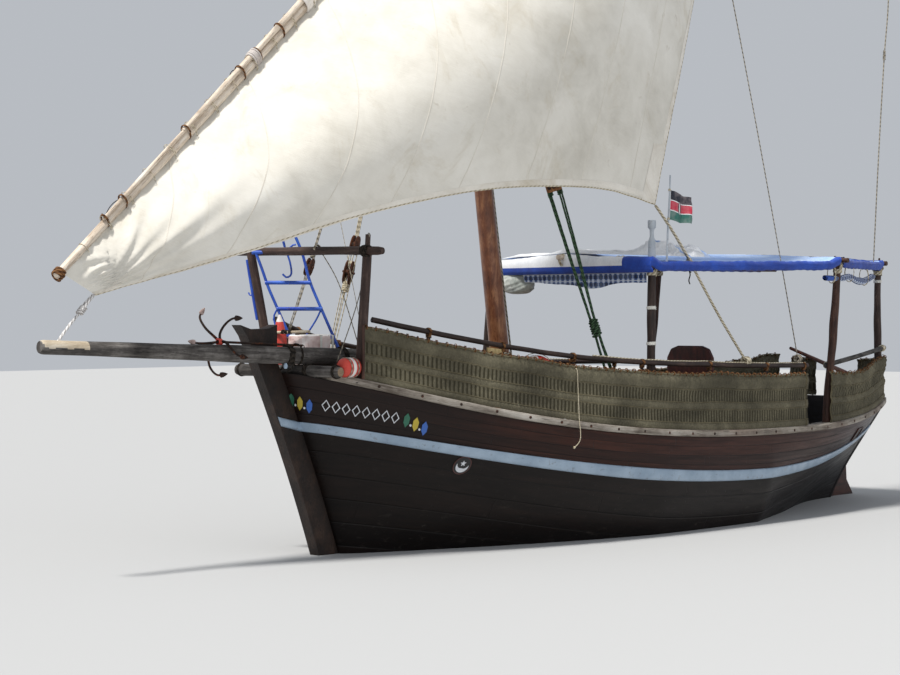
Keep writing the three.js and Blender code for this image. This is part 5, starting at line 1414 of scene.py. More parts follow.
def port_stay():
    base, head = stay_line(1.6, 1.452)
    base = base + np.array([0, 0, 0.062])
    line = unit(head - base)
    span = head - base
    side = unit(np.cross(line, np.array([0.74, 0.67, 0])))
    side2 = np.cross(line, side)
    ropes, blocks, seizing = Shape(), Shape(), Shape()
    top, knot, low = base + span * 0.4, base + span * 0.165, base + span * 0.02
    for k, f in enumerate((-1, -0.68, 0.62, 1)):
        depth = side2 * 0.014 * (1 if k % 2 else -1)
        a = top + side * 0.075 * f + depth
        b = knot + side * 0.026 * f + depth
        c = low + side * (0.075 if f > 0 else 0.03) * f + depth
        ropes.tube(resample([a, (a * 0.55 + b * 0.45) + side * 0.004 * f, b, (b + c) / 2, c], 0.08), 0.0115,
                   8, strands=3, pitch=0.07)
    start = head + unit(np.array([base[0] - head[0], base[1] - head[1], 0])) * 0.115
    for f in (-1, 1):
        ropes.tube(np.array([top + line * 0.12 + side * 0.02 * f, start + side * 0.02 * f]), 0.013, 8,
                   strands=3, pitch=0.08)
        ropes.coil(top - line * 0.05 + side * 0.055 * f, line, 0.026, 0.009, 3, 0.018)
    seizing.coil(knot, line, 0.046, 0.013, 6, 0.030, squash=(1, 0.8), sides=8)
    seizing.coil(knot + line * 0.02, line, 0.036, 0.012, 5, 0.036, squash=(1, 0.8), sides=8, seed=12)
    ropes.coil(base + line * 0.04, line, 0.055, 0.012, 5, 0.024, squash=(1, 0.7))
    ropes.coil(base + line * 0.55, line, 0.04, 0.011, 3, 0.022, squash=(1, 0.7))
    ropes.tube(np.array([base, base + line * 0.1]), 0.03, 10)
    blocks.box(top + line * 0.02, side, line, side2, (0.085, 0.05, 0.05))
    for f in (-1, 0, 1):
        blocks.lathe([(0.022, -0.057), (0.022, 0.057)], top + side * 0.05 * f + line * 0.02, side2, 12,
                     up=tuple(line), slot=1)
    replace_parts(ropes.make("port_stay_ropes", "hull", [GREEN_ROPE], slot_name="green_rope"), "stay_port")
    seizing.make("port_stay_seizing", "hull", [GREEN_ROPE], slot_name="green_rope")
    blocks.make("port_stay_block", "hull", [PEG_WOOD, NAIL_IRON], slot_name="dark_wood")


starboard_fore()
starboard_aft()
port_stay()


# Running ropes between the sail and the hull
def sheet_rope():
    rail = np.array([-0.69, 1.515, 1.955])
    bend = np.array([0.42, 1.5, 3.115])
    shape = Shape()
    for shift in (0.0, 0.024):
        side = np.array([0.01, 0.02, 0]) * (shift / 0.024)
        shape.tube(resample([CLEW + np.array([0.0, 0.0, -0.02]) + side,
                             (CLEW + bend) / 2 + np.array([0, 0, 0.01]) + side, bend + side], 0.04), 0.012, 8,
                   strands=3, pitch=0.07)
    shape.tube(resample([bend, (bend * 0.5 + rail * 0.5) + np.array([0, 0, -0.03]), rail], 0.04), 0.0155, 10,
               strands=3, pitch=0.08)
    shape.coil(bend, unit(rail - bend), 0.022, 0.010, 5, 0.02)
    shape.coil(rail, (1, 0.05, 0), 0.045, 0.012, 4, 0.024, up=(0, 0, 1))
    rope = shape.make("sheet_rope", None, [PALE_ROPE], slot_name="pale_rope")
    tuple(CLEW)
    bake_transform(rope)


def tack_rope():
    low = np.array([8.355, 0.015, 2.264])
    shape = Shape()
    tip = TACK + np.array([0.02, 0, 0.0])
    mid = tip + (low - tip) * 0.33
    for k in (-1, 1):
        shape.tube(resample([tip + np.array([0, 0.012 * k, 0]), mid + np.array([0.02, 0.03 * k, 0])], 0.02),
                   0.012, 8)
    shape.tube(resample([mid, low + (mid - low) * 0.4 + np.array([0.01, 0, 0.0]), low], 0.02), 0.014, 8,
               strands=3, pitch=0.07)
    shape.coil(mid, unit(low - tip), 0.026, 0.012, 4, 0.024)
    rope = shape.make("tack_rope", None, [WHITE_ROPE], slot_name="pale_rope")
    tuple(TACK)
    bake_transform(rope)


def vang_rope():
    start = sail_surface(np.array([1.0]), np.array([0.4]))[0, 0]
    rail = np.array([-1.80, 1.52, 1.97])
    shape = Shape()
    spots = []
    for t in np.linspace(0, 1, 9):
        spots.append(start + (rail - start) * t + np.array([-0.035, 0, 0.0]) * 4 * t * (1 - t))
    shape.tube(resample(spots, 0.12), 0.0065, 7)
    rope = shape.make("leech_line", None, [GREY_ROPE], slot_name="pale_rope")
    tuple(start)
    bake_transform(rope)
    knot = Shape()
    knot.coil(rail, (1, 0.1, 0), 0.04, 0.0075, 5, 0.016, up=(0, 0, 1))
    knot.make("leech_line_hitch", "hull", [GREY_ROPE], slot_name="pale_rope")


def peak_vang():
    """Slack rope from the quarter up to the peak of the yard."""
    foot, knot = np.array([-4.43, 0.995, 3.195]), np.array([-4.56, 1.075, 5.95])
    peak = yard_at(0.985) + YARD_PORT * 0.05
    shape = Shape()
    spots = resample([foot, (foot + knot) / 2 + [0.012, 0, 0], knot, (-4.62, 1.10, 6.75), (-4.64, 1.02, 8.6),
                      (-4.25, 0.80, 10.9), peak + [-0.35, 0.1, -0.95], peak], 0.12)
    shape.tube(spots, 0.0085, 8)
    shape.coil(knot, (-0.05, 0.03, 1), 0.013, 0.008, 6, 0.02, up=(1, 0, 0), sides=7, seed=8)
    rope = shape.make("peak_vang", None, [GREY_ROPE], slot_name="pale_rope")
    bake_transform(rope)
    hitch = Shape()
    hitch.coil(foot - [0, 0, 0.045], SIDE_RUN, 0.039, 0.0075, 4, 0.016, up=(0, 0, 1), sides=7, seed=9)
    hitch.make("peak_vang_hitch", "hull", [GREY_ROPE], slot_name="pale_rope")


sheet_rope()
tack_rope()
vang_rope()
SIDE_RUN = unit(np.array([-2.03, -0.615, 0.0]))
peak_vang()


# Woven side screens
def mat_height(x):
    return np.interp(x, [-5.2, -2.6, 0.2, 2.7, 5.2], [0.56, 0.62, 0.65, 0.585, 0.53])


def mat_top(x):
    return cap_top(x) + mat_height(x)


def mat_material(name, dark, mid, light):
    g = Graph(name)
    x, y, _ = g.split(g.coords("UV"))
    at = g.coords("Object")
    broad = g.noise(at, 1.5, 5, 0.65)
    fine = g.noise(g.coords("UV", (40, 9, 1)), 3.0, 4, 0.65)
    straw = g.noise(g.coords("UV", (9, 120, 1)), 2.0, 3, 0.6)
    plait = g.math("SINE", x * 393.0 + y * 210.0)
    other = g.math("SINE", x * 393.0 - y * 210.0)
    weave = g.math("MAXIMUM", plait, other)
    tone = broad * 0.45 + fine * 0.25 + straw * 0.2 + weave * 0.045
    colour = g.ramp(tone, [(0.3, dark), (0.47, mid), (0.64, light)])
    damp = g.ramp(g.noise(g.coords("Object", (0.5, 0.5, 1.4)), 2.0, 4, 0.6), fade(0.5, 0.7))
    colour = g.mix(damp * 0.35, colour, shade(dark, 0.55))
    height = weave * 0.35 + fine * 0.5 + straw * 0.35
    return g.finish(colour, 0.86, g.bump(height, 0.6, 0.006), Specular_IOR_Level=0.22)


MAT_PALM = mat_material("mat_palm", "312e25", "5d5848", "918a72")
MAT_HEM = mat_material("mat_hem", "2f2b20", "5e5743", "928970")
# The slits are closed faces in this dark colour: painted shade standing for the openings
MAT_SLIT_SHADE = mat_material("mat_slit_shade", "2a281e", "3e3a2c", "57513d")
BANDS = [0, 0.02, 0.045, 0.075, 0.11, 0.15, 0.19, 0.23, 0.265, 0.285, 0.33, 0.385, 0.44, 0.48, 0.50, 0.53,
         0.565, 0.60, 0.635, 0.655, 0.70, 0.755, 0.81, 0.85, 0.87, 0.90, 0.935, 0.97, 1.0]
STRAND = 0.034
SLIT = 0.019
LACE_PITCH = 0.115


def mat_columns(length):
    """Distances along a mat: three lines for each strand, with a slit after it."""
    s, kind = [], []
    at = 0.0
    while at + STRAND + SLIT < length:
        s.extend([at, at + STRAND * 0.3, at + STRAND * 0.7, at + STRAND])
        kind.extend([0, 1, 1, 2])
        at += STRAND + SLIT
    s.append(length)
    kind.append(0)
    return np.array(s), np.array(kind)


def mat_piece(name, nodes, base, length, side_of, height, crumple=0.0, seed=1, torn=0.0, rests=None):
    """Mat from a base line, its outward side and its height at each distance along it."""
    s, kind = mat_columns(length)
    v = np.array(BANDS)
    slit_rows = ((v >= 0.28) & (v < 0.50)) | ((v >= 0.65) & (v < 0.87))
    foot, out, high = base(s), side_of(s), height(s)
    scallop = (0.5 + 0.5 * np.cos(2 * np.pi * (s + 0.01 * np.sin(s * 9)) / LACE_PITCH)) ** 3
    top = high - 0.007 * scallop + 0.012 * waves(s * 2.2, 0, seed + 3, 4, 1.0) * (1 + torn * 3)
    down = v[None] * np.ones((len(s), 1))
    z = top[:, None] * (1 - down)
    bulge = (0.016 * np.sin(np.pi * np.clip(down / 0.26, 0, 1))
             + 0.010 * np.sin(np.pi * np.clip((down - 0.5) / 0.15, 0, 1)))
    bulge += (0.012 * np.sin(np.pi * np.clip((down - 0.86) / 0.14, 0, 1))
              - 0.004 * np.sin(np.pi * np.clip((down - 0.28) / 0.22, 0, 1)))
    bulge += 0.008 * waves(s[:, None] * 0.9, down * 2.5, seed, 5, 1.1) * np.sin(np.pi * down) ** 0.5
    bulge += (crumple * 0.03 * waves(s[:, None] * 2.6, down * 4.0, seed + 7, 6,
                                     1.2) * (0.25 + 0.75 * (1 - down)))
    ridge = np.where(kind == 1, 0.0028, 0.0)[:, None] * np.ones(len(v))
    fine = 0.0016 * waves(s[:, None] * 14, down * 6, seed + 11, 4, 1.5)
    gap = np.where((kind == 2)[:, None] & slit_rows[None], -0.005, 0.0)
    reach = bulge + ridge + fine + gap
    p = foot[:, None] + out[:, None] * reach[..., None] + np.array([0, 0, 1.0]) * z[..., None]
    uv = np.stack([s[:, None] * np.ones(len(v)), down * float(high.mean())], -1)
    shape = Shape()
    n, m = p.shape[:2]
    i, j = [q.ravel() for q in np.meshgrid(np.arange(n - 1), np.arange(m - 1), indexing="ij")]
    slit = (kind[i] == 2) & slit_rows[j]
    order = [(i, j), (i + 1, j), (i + 1, j + 1), (i, j + 1)]
    faces = np.stack([a * m + b for a, b in order], -1)
    corners = np.stack([uv[a, b] for a, b in order], 1)
    shape.put(p.reshape(-1, 3), faces.tolist(), corners.reshape(-1, 2).tolist())
    # Faces in the slits take the second material, the painted shade of the openings
    shape.slots[-len(faces):] = slit.astype(int).tolist()
    mat = shape.make(name, "hull", [MAT_PALM, MAT_SLIT_SHADE], angle=None, slot_name="woven_mat")
    if nodes:
        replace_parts(mat, *nodes)

    hem = Shape()
    top_path = p[::2, 0] + out[::2] * 0.002
    hem.tube(top_path, 0.011 + 0.002 * waves(s[::2] * 20, 0, seed, 4, 1), 7, caps=True)
    for row, r in ((8, 0.006), (14, 0.006), (18, 0.005), (24, 0.006)):
        hem.tube(p[::2, row] + out[::2] * 0.003, r, 6)
    for end in (0, -2):
        hem.tube(p[end] + out[end] * 0.002, 0.010, 7)
    if length > 3:
        stick = Shape()
        stick.tube(resample([p[0, 0] + np.array([0, 0, 0.03]), p[0, 12] + out[0] * 0.006, p[0, -1]], 0.06)
                   + out[0] * 0.008, 0.017, 10, wobble=0.06, seed=seed)
        stick.make(f"{name}_stick", "hull", [RED_POLE])
    edge = hem.make(f"{name}_hem", "hull", [MAT_HEM], angle=None, slot_name="woven_mat")
    lace = Shape()
    marks = np.arange(0.03, length - 0.03, LACE_PITCH)
    for k, mark in enumerate(marks):
        q = int(np.argmin(abs(s - mark)))
        a = unit(p[min(q + 2, n - 1), 0] - p[max(q - 2, 0), 0])
        lace.coil(p[q, 0] + np.array([0, 0, 0.006]), a, 0.022, 0.0042, 1.6, 0.012, seed=k + seed, sides=6,
                  per=12)
    points = [p[min(int(np.argmin(abs(s - t))), n - 1), 0] + np.array([0, 0, 0.010 + 0.006 * (k % 2)])
              + out[0] * 0.004 for k, t in enumerate(np.arange(0.03, length - 0.03, LACE_PITCH / 2))]
    lace.tube(resample(points, 0.03), 0.0042, 6)
    lace.make(f"{name}_lacing", "hull", [BROWN_ROPE], angle=None, slot_name="pale_rope")
    area_of = float(high.mean() * length)
    rests or f"cap_rail_{'port' if out[0][1] > 0 else 'starboard'}"
    return mat


def side_mat(name, nodes, side, front, aft, crumple=0.0, seed=1, torn=0.0):
    x = np.linspace(front, aft, 400)
    y = side * (half_breadth(x) + 0.029)
    z = cap_top(x) + 0.004
    line = np.stack([x, y, z], -1)
    at = lengths(line)
    tangent = unit(np.gradient(line * np.array([1, 1, 0]), axis=0))
    out = np.stack([-tangent[:, 1] * -side, tangent[:, 0] * -side, tangent[:, 0] * 0], -1)

    def place(s):
        return np.stack([np.interp(s, at, line[:, k]) for k in range(3)], -1)

    def outward(s):
        return unit(np.stack([np.interp(s, at, out[:, k]) for k in range(3)], -1))

    def height(s):
        return mat_height(np.interp(s, at, x)) - 0.004

    return mat_piece(name, nodes, place, float(at[-1]), outward, height, crumple, seed, torn)


def stern_mat(name, node, side):
    top = float(cap_top(STERN_END))
    x = transom_x(top) - 0.03
    a, b = np.array([x, side * 0.74, top + 0.004]), np.array([x, side * 0.33, top + 0.004])

    def place(s):
        return a + (b - a) * (s / 0.41)[:, None]

    mat_piece(name, [node], place, 0.41, lambda s: np.array([[-1.0, 0, 0]]) * np.ones((len(s), 1)),
              lambda s: np.full(len(s), 0.49), 0.6, 5, 0.4, "transom")


side_mat("screen_port", ["mat_port"], 1, 5.03, -1.92, 0.15, 1)
side_mat("screen_port_aft", ["mat_port_aft"], 1, -2.55, -4.96, 1.0, 2, 1.0)
side_mat("screen_starboard", ["mat_starboard"], -1, 4.85, -1.92, 0.2, 3)
side_mat("screen_starboard_aft", ["mat_starboard_aft"], -1, -2.55, -4.96, 1.0, 4, 1.0)
stern_mat("screen_stern_port", "mat_stern_port", 1)
stern_mat("screen_stern_starboard", "mat_stern_starboard", -1)


# Rails inside the screens
def rail_at(x, side):
    return np.stack([x, side * (half_breadth(x) - 0.08), mat_top(x) + 0.112], -1)


def rails(side, name):
    x = np.linspace(4.88, -2.09, 160)
    path = rail_at(x, side)
    path[:, 2] += 0.004 * waves(x, 0, 5 + side, 4, 1.5)
    shape = Shape()
    shape.tube(path, 0.028 * (1 + 0.05 * waves(x * 2, 0, 8, 4, 1)), 14, chamfer=0.3, wobble=0.05,
               seed=7 + side, squash=1.15)
    ties = Shape()
    for k, spot in enumerate([4.3, 3.42, 2.45, 1.35, 0.1, -1.1, -2.0]):
        top = rail_at(np.array(spot), side)
        foot = np.array([spot, top[1], float(cap_top(spot)) + 0.001])
        shape.tube(resample([foot, (foot + top) / 2 + np.array([0.006, 0.004, 0]),
                             top - np.array([0, 0, 0.02])], 0.05), 0.020, 10, up=(1, 0, 0), wobble=0.06,
                   seed=20 + k)
        ties.coil(top, (1, 0, 0), 0.036, 0.0065, 3, 0.013, seed=k)
        ties.coil(top - np.array([0, 0, 0.045]), (0, 0, 1), 0.026, 0.006, 3, 0.012, up=(1, 0, 0), seed=k + 30)
    rail = shape.make(f"rail_{name}_pole", "hull", [RAIL_POLE], slot_name="dark_wood")
    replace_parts(rail, f"rail_{name}")
    ties.make(f"rail_{name}_ties", "hull", [BROWN_ROPE], angle=None, slot_name="pale_rope")
    lay = Shape()
    x = np.linspace(2.15, -2.05, 70)
    top = (rail_at(x, side) + np.stack([x * 0, 0.004 * waves(x * 3, 0, 3, 4, 1),
                                        0.035 + 0.003 * waves(x * 4, 0, 4, 4, 1)], -1))
    lay.tube(top, 0.0075, 7)
    lay.make(f"rail_{name}_rope", "hull", [PALE_ROPE], angle=None, slot_name="pale_rope")


rails(1, "port")
rails(-1, "starboard")

plate = Shape()
spot = rail_at(np.array(3.52), 1)
plate.box(spot + np.array([0, 0.0, -0.075]), unit(np.array([1, -0.3, 0.12])), unit(np.array([0.3, 1, 0])),
          (0, 0, 1), (0.10, 0.012, 0.034))
plate.make("rail_plate", "hull", [BAMBOO], slot_name="weathered_wood")


def stern_rail_piece():
    ends = np.array([(-2.68, 1.366, 1.865), (-4.89, 0.885, 2.057)])
    path = resample([ends[0], ends.mean(0) + [0, 0.006, -0.004], ends[1]], 0.05)
    shape = Shape()
    shape.tube(path, 0.030, 14, chamfer=0.35, wobble=0.07, seed=77)
    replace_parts(shape.make("stern_rail_pole", "hull", [GREY_LOG], slot_name="pale_spar"), "stern_rail")
    ties = Shape()
    for share in (0.025, 0.955):
        ties.coil(ends[0] + (ends[1] - ends[0]) * share, ends[1] - ends[0], 0.037, 0.008, 5, 0.017, seed=4)
    ties.make("stern_rail_ties", "hull", [PALE_ROPE], angle=None, slot_name="pale_rope")


stern_rail_piece()


# Lifebuoy inside the port screen
RING_RADIUS = 0.27


def lifebuoy_piece():
    x = 2.95
    turn = math.atan2(float(half_breadth(x + 0.15) - half_breadth(x - 0.15)), 0.30)
    centre = np.array([x, float(half_breadth(x)) - 0.112, float(cap_top(x)) + 0.327])
    along_ = np.array([math.cos(turn), math.sin(turn), 0])
    out = np.array([-math.sin(turn), math.cos(turn), 0])
    shape = Shape()
    t = np.linspace(0, 2 * math.pi, 73)
    ring = centre + RING_RADIUS * (along_ * np.cos(t)[:, None] + np.array([0, 0, 1.0]) * np.sin(t)[:, None])
    for k in range(8):
        part = ring[k * 9:k * 9 + 10]
        shape.tube(part, 0.0575 if k % 2 else 0.0560, 18, up=out, caps=False, slot=k % 2)
    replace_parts(shape.make("lifebuoy_ring", "hull", [RED_PAINT, RED_WHITE], slot_name="red_float"),
                "lifebuoy")
    line = Shape()
    for k in range(4):
        a = math.pi / 4 + k * math.pi / 2
        spots = []
        for q in np.linspace(a, a + math.pi / 2, 9):
            lift = 0.335 + 0.012 * math.sin((q - a) * 2)
            spots.append(centre + lift * (along_ * math.cos(q) + np.array([0, 0, 1.0]) * math.sin(q)))
        line.tube(resample(spots, 0.03), 0.004, 6)
        band = centre + RING_RADIUS * (along_ * math.cos(a) + np.array([0, 0, 1.0]) * math.sin(a))
        tangent = -along_ * math.sin(a) + np.array([0, 0, 1.0]) * math.cos(a)
        line.coil(band, tangent, 0.0605, 0.004, 3, 0.010, up=out, seed=k)
    line.make("lifebuoy_line", "hull", [PALE_ROPE], angle=None, slot_name="pale_rope")


lifebuoy_piece()


# Cord that hangs out of the port screen
CORD_X = 2.54
CORD_R = 0.005
CORD_ROWS = [(0, 0, 0.025), (0, 0.014, 0.025), (-0.001, 0.026, 0.040), (-0.003, 0.030, 0.070),
             (-0.012, 0.028, 0.200), (-0.022, 0.030, 0.400), (-0.030, 0.034, 0.600), (-0.034, 0.048, 0.720),
             (-0.032, 0.042, 0.800), (0.005, 0.036, 0.850), (0.060, 0.040, 0.880)]


def mat_face(x):
    return np.array([x, float(half_breadth(x)) + 0.040, 0.0])


def hanging_cord_piece():
    before = float(min(q for q in STATION_X if q > CORD_X))
    after = float(max(q for q in STATION_X if q < CORD_X))
    a, b = mat_face(before), mat_face(after)
    start = a + (b - a) * (CORD_X - before) / (after - before)
    chord = unit(a - b)
    out = np.array([-chord[1], chord[0], 0])
    top = float(mat_top(CORD_X))
    rows = [start + chord * p + out * (q + 2 * GAP) + np.array([0, 0, top - d]) for p, q, d in CORD_ROWS]
    path = resample(rows, count=40)
    curve = bpy.data.curves.new("cord", "CURVE")
    curve.dimensions = "3D"
    curve.bevel_depth = CORD_R
    curve.bevel_resolution = 3
    curve.use_fill_caps = True
    spline = curve.splines.new("POLY")
    spline.points.add(len(path) - 1)
    for point, place in zip(spline.points, path):
        point.co = (*place, 1.0)
    curve.materials.append(PALE_ROPE)
    cord = bpy.data.objects.new("hanging_cord_rope", curve)
    bpy.context.scene.collection.objects.link(cord)
    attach(cord, "hull")
    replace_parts(cord, "hanging_cord")
    knot = Shape()
    knot.coil(path[-1] - unit(path[-1] - path[-3]) * 0.012, unit(path[-1] - path[-3]), 0.0085, 0.0045, 2.5,
              0.008, up=(0, 0, 1), sides=7)
    end = knot.make("hanging_cord_knot", "hull", [PALE_ROPE], angle=None, slot_name="pale_rope")
    round(float(lengths(path)[-1]), 3)


hanging_cord_piece()


# Bowsprit: a weathered log with bare pale wood on top near its end
SPRIT_END = 8.58
SPRIT_LENGTH = 4.08


def sprit_at(x):
    share = (SPRIT_END - x) / SPRIT_LENGTH
    return np.array([x, 0.28 * share, 2.218 - 0.1642 * share])


def sprit_radius(x):
    return 0.065 + 0.033 * (SPRIT_END - x) / SPRIT_LENGTH


def bare_wood(shape, bare):
    """Mark the faces of the last tube where the bark has gone."""
    points = np.concatenate(shape.points[-3:])
    start = shape.count - len(points)
    for k, face in enumerate(shape.faces):
        if min(face) >= start:
            x, _, z = points[np.array(face) - start].mean(axis=0)
            if bare(x, z):
                shape.slots[k] = 1


def bowsprit_piece():
    shape = Shape()
    xs = np.concatenate([np.linspace(4.53, 8.1, 60), np.linspace(8.13, 8.55, 30)])
    path = np.array([sprit_at(x) for x in xs])
    radius = np.array([sprit_radius(x) for x in xs])
    radius = radius * (1 + 0.025 * np.sin(xs * 2.3) + 0.02 * np.sin(xs * 5.1 + 1))
    radius[-3:] *= [0.985, 0.94, 0.85]
    shape.tube(path, radius, sides=36, chamfer=0.12, wobble=0.035, seed=61)
    bare_wood(shape, lambda x, z: 8.05 < x < 8.545 and z > float(sprit_at(x)[2]) + 0.006 * math.sin(31 * x)
              - 0.004)
    log = shape.make("bowsprit_log", "hull", [GREY_LOG, FRESH_WOOD], slot_name="weathered_wood", angle=28)
    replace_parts(log, "bowsprit")

    lashing = Shape()
    for x, turns, rope in [(5.585, 4, 0.0085), (5.60, 3, 0.0085), (4.86, 4, 0.009)]:
        r = sprit_radius(x)
        lashing.coil(sprit_at(x), (1, -0.07, 0.04), r + rope * 1.05, rope, turns, rope * 1.7, sides=8,
                     seed=int(x * 9))
    for side, drop in [(1, 0.30), (-1, 0.30)]:
        x = 5.59
        c = sprit_at(x)
        r = sprit_radius(x)
        knee = [c + [0, side * 0.02, r + 0.012], c + [0, side * (r * 0.75), r * 0.78],
                c + [0.002, side * (r + 0.012), 0.0], c + [-0.02, side * (r * 0.8), -r * 1.1],
                [x - 0.09, side * 0.072, c[2] - drop * 0.72], [x - 0.12, side * 0.075, c[2] - drop]]
        lashing.tube(resample(knee, 0.02), 0.0095, 8, strands=3, pitch=0.07)
    lashing.make("bowsprit_gammoning", "hull", [DARK_ROPE])

    cap = Shape()
    cap.lathe([(0.0, -0.03), (0.014, -0.028), (0.021, -0.01), (0.021, 0.01), (0.012, 0.028), (0.0, 0.03)],
              sprit_at(5.6) + [0.06, 0.05, -sprit_radius(5.6) - 0.015], sides=14)
    cap.make("bowsprit_toggle", "hull", [WHITE_PAINT])


def cathead_piece():
    shape = Shape()
    y = np.linspace(-0.757, 0.757, 50)
    z = sheer_z(5.38) + 0.0625
    path = np.stack([5.38 + 0.004 * np.sin(y * 5), y, z + 0.003 * np.sin(y * 4 + 1)], -1)
    radius = 0.0605 * (1 + 0.03 * np.sin(y * 7))
    radius[[0, -1]] *= 0.86
    radius[[1, -2]] *= 0.95
    shape.tube(path, radius, sides=30, chamfer=0.1, wobble=0.03, seed=63, end_slot=1)
    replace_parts(shape.make("cathead", "hull", [GREY_LOG, CUT_WOOD], slot_name="weathered_wood", angle=30),
                "cathead_log")
    ring = Shape()
    for y0 in (-0.70, 0.70):
        ring.coil((5.38, y0, z), (0, 1, 0), 0.0675, 0.005, 4, 0.009, sides=7, seed=5)
    for y0 in (-0.30, 0.30):
        ring.coil((5.38, y0, z), (0, 1, 0), 0.0685, 0.0065, 5, 0.012, sides=7, seed=8)
        ring.tube(resample([(5.33, y0, z - 0.05), (5.31, y0 * 0.8, z - 0.075), (5.35, y0 * 0.5, z - 0.1)],
                           0.02), 0.0065, 7)
    ring.make("cathead_bands", "hull", [DARK_ROPE])


bowsprit_piece()
cathead_piece()


# Gallows over the foredeck: two posts and a bar
POST_TOP = [np.array([4.98, 0.76, 3.33]), np.array([5.17, -0.80, 3.21])]
POST_FOOT = [np.array([4.98, 0.62, 1.50]), np.array([4.93, -0.62, 1.50])]
BAR_ENDS = [np.array([4.99, 0.985, 3.16]), np.array([5.16, -1.31, 3.19])]


def bar_at(t):
    return BAR_ENDS[0] * (1 - t) + BAR_ENDS[1] * t


def gallows_piece():
    shape = Shape()
    for k in range(2):
        foot, top = POST_FOOT[k], POST_TOP[k]
        start = (cap_top(foot[0]) - foot[2] - 0.01) / (top[2] - foot[2])
        t = np.linspace(start, 1, 40)
        path = foot + (top - foot) * t[:, None]
        path[:, 0] += 0.006 * np.sin(t * 5 + k) * np.sin(t * math.pi)
        radius = 0.056 + ((0.047, 0.046)[k] - 0.056) * t
        if k == 0:
            radius = np.where(path[:, 2] > 3.185, 0.027, radius)
        shape.tube(path, radius, 20, wobble=0.05, seed=65 + k, chamfer=0.15)
    t = np.linspace(0.004, 0.996, 40)
    path = np.array([bar_at(v) for v in t])
    path[:, 2] += 0.003 * np.sin(t * math.pi * 2)
    radius = 0.043 * (1 + 0.03 * np.sin(t * 17))
    radius[[0, -1]] *= 0.82
    shape.tube(path, radius, 22, wobble=0.045, seed=67, chamfer=0.2)
    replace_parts(shape.make("gallows_poles", "hull", [BROWN_POLE], slot_name="dark_wood", angle=35), "gallows")

    rope = Shape()
    for post, t in [(0, 0.098), (1, 0.778)]:
        c = bar_at(t)
        rope.coil(c, (0, 1, 0), 0.062, 0.007, 6, 0.011, up=(1, 0, 0), squash=(1.25, 0.9), sides=7,
                  seed=9 + post)
        rope.coil(c, (0, 0.02, 1), 0.056, 0.007, 4, 0.012, up=(1, 0, 0), squash=(1.2, 0.9), sides=7,
                  seed=3 + post)
    for z in (1.93, 2.01):
        share = (z - 1.5) / 1.71
        rope.coil(POST_FOOT[1] + (POST_TOP[1] - POST_FOOT[1]) * share, POST_TOP[1] - POST_FOOT[1], 0.049,
                  0.006, 4, 0.011, up=(1, 0, 0), sides=7, seed=4)
    rope.make("gallows_lashings", "hull", [DARK_ROPE])
    line = Shape()
    line.tube(resample([(4.985, 0.757, 3.318), (4.99, 0.775, 3.345), (4.99, 0.79, 3.338),
                        (4.985, 0.772, 3.29)], 0.01), 0.005, 7)
    line.make("gallows_tail", "hull", [GREY_ROPE])


gallows_piece()


# Blue tube ladder leaning over the foredeck
LADDER_TOP = np.array([4.945, -0.455, 2.85])
LADDER_RUN = np.array([-0.325, 0.289, -1.0])
LADDER_HALF = np.array([-0.155, 0.172, 0.0])
RUNGS = (1.98, 2.276, 2.573, 2.85, 3.17)


def on_ladder(share, z):
    return LADDER_TOP + LADDER_RUN * (2.85 - z) + LADDER_HALF * share


def ladder_bow(z):
    """The tubes stand a little steeper above the middle rung."""
    return np.array([-0.03, 0.034, 0]) * smooth((z - 2.75) / 0.5)


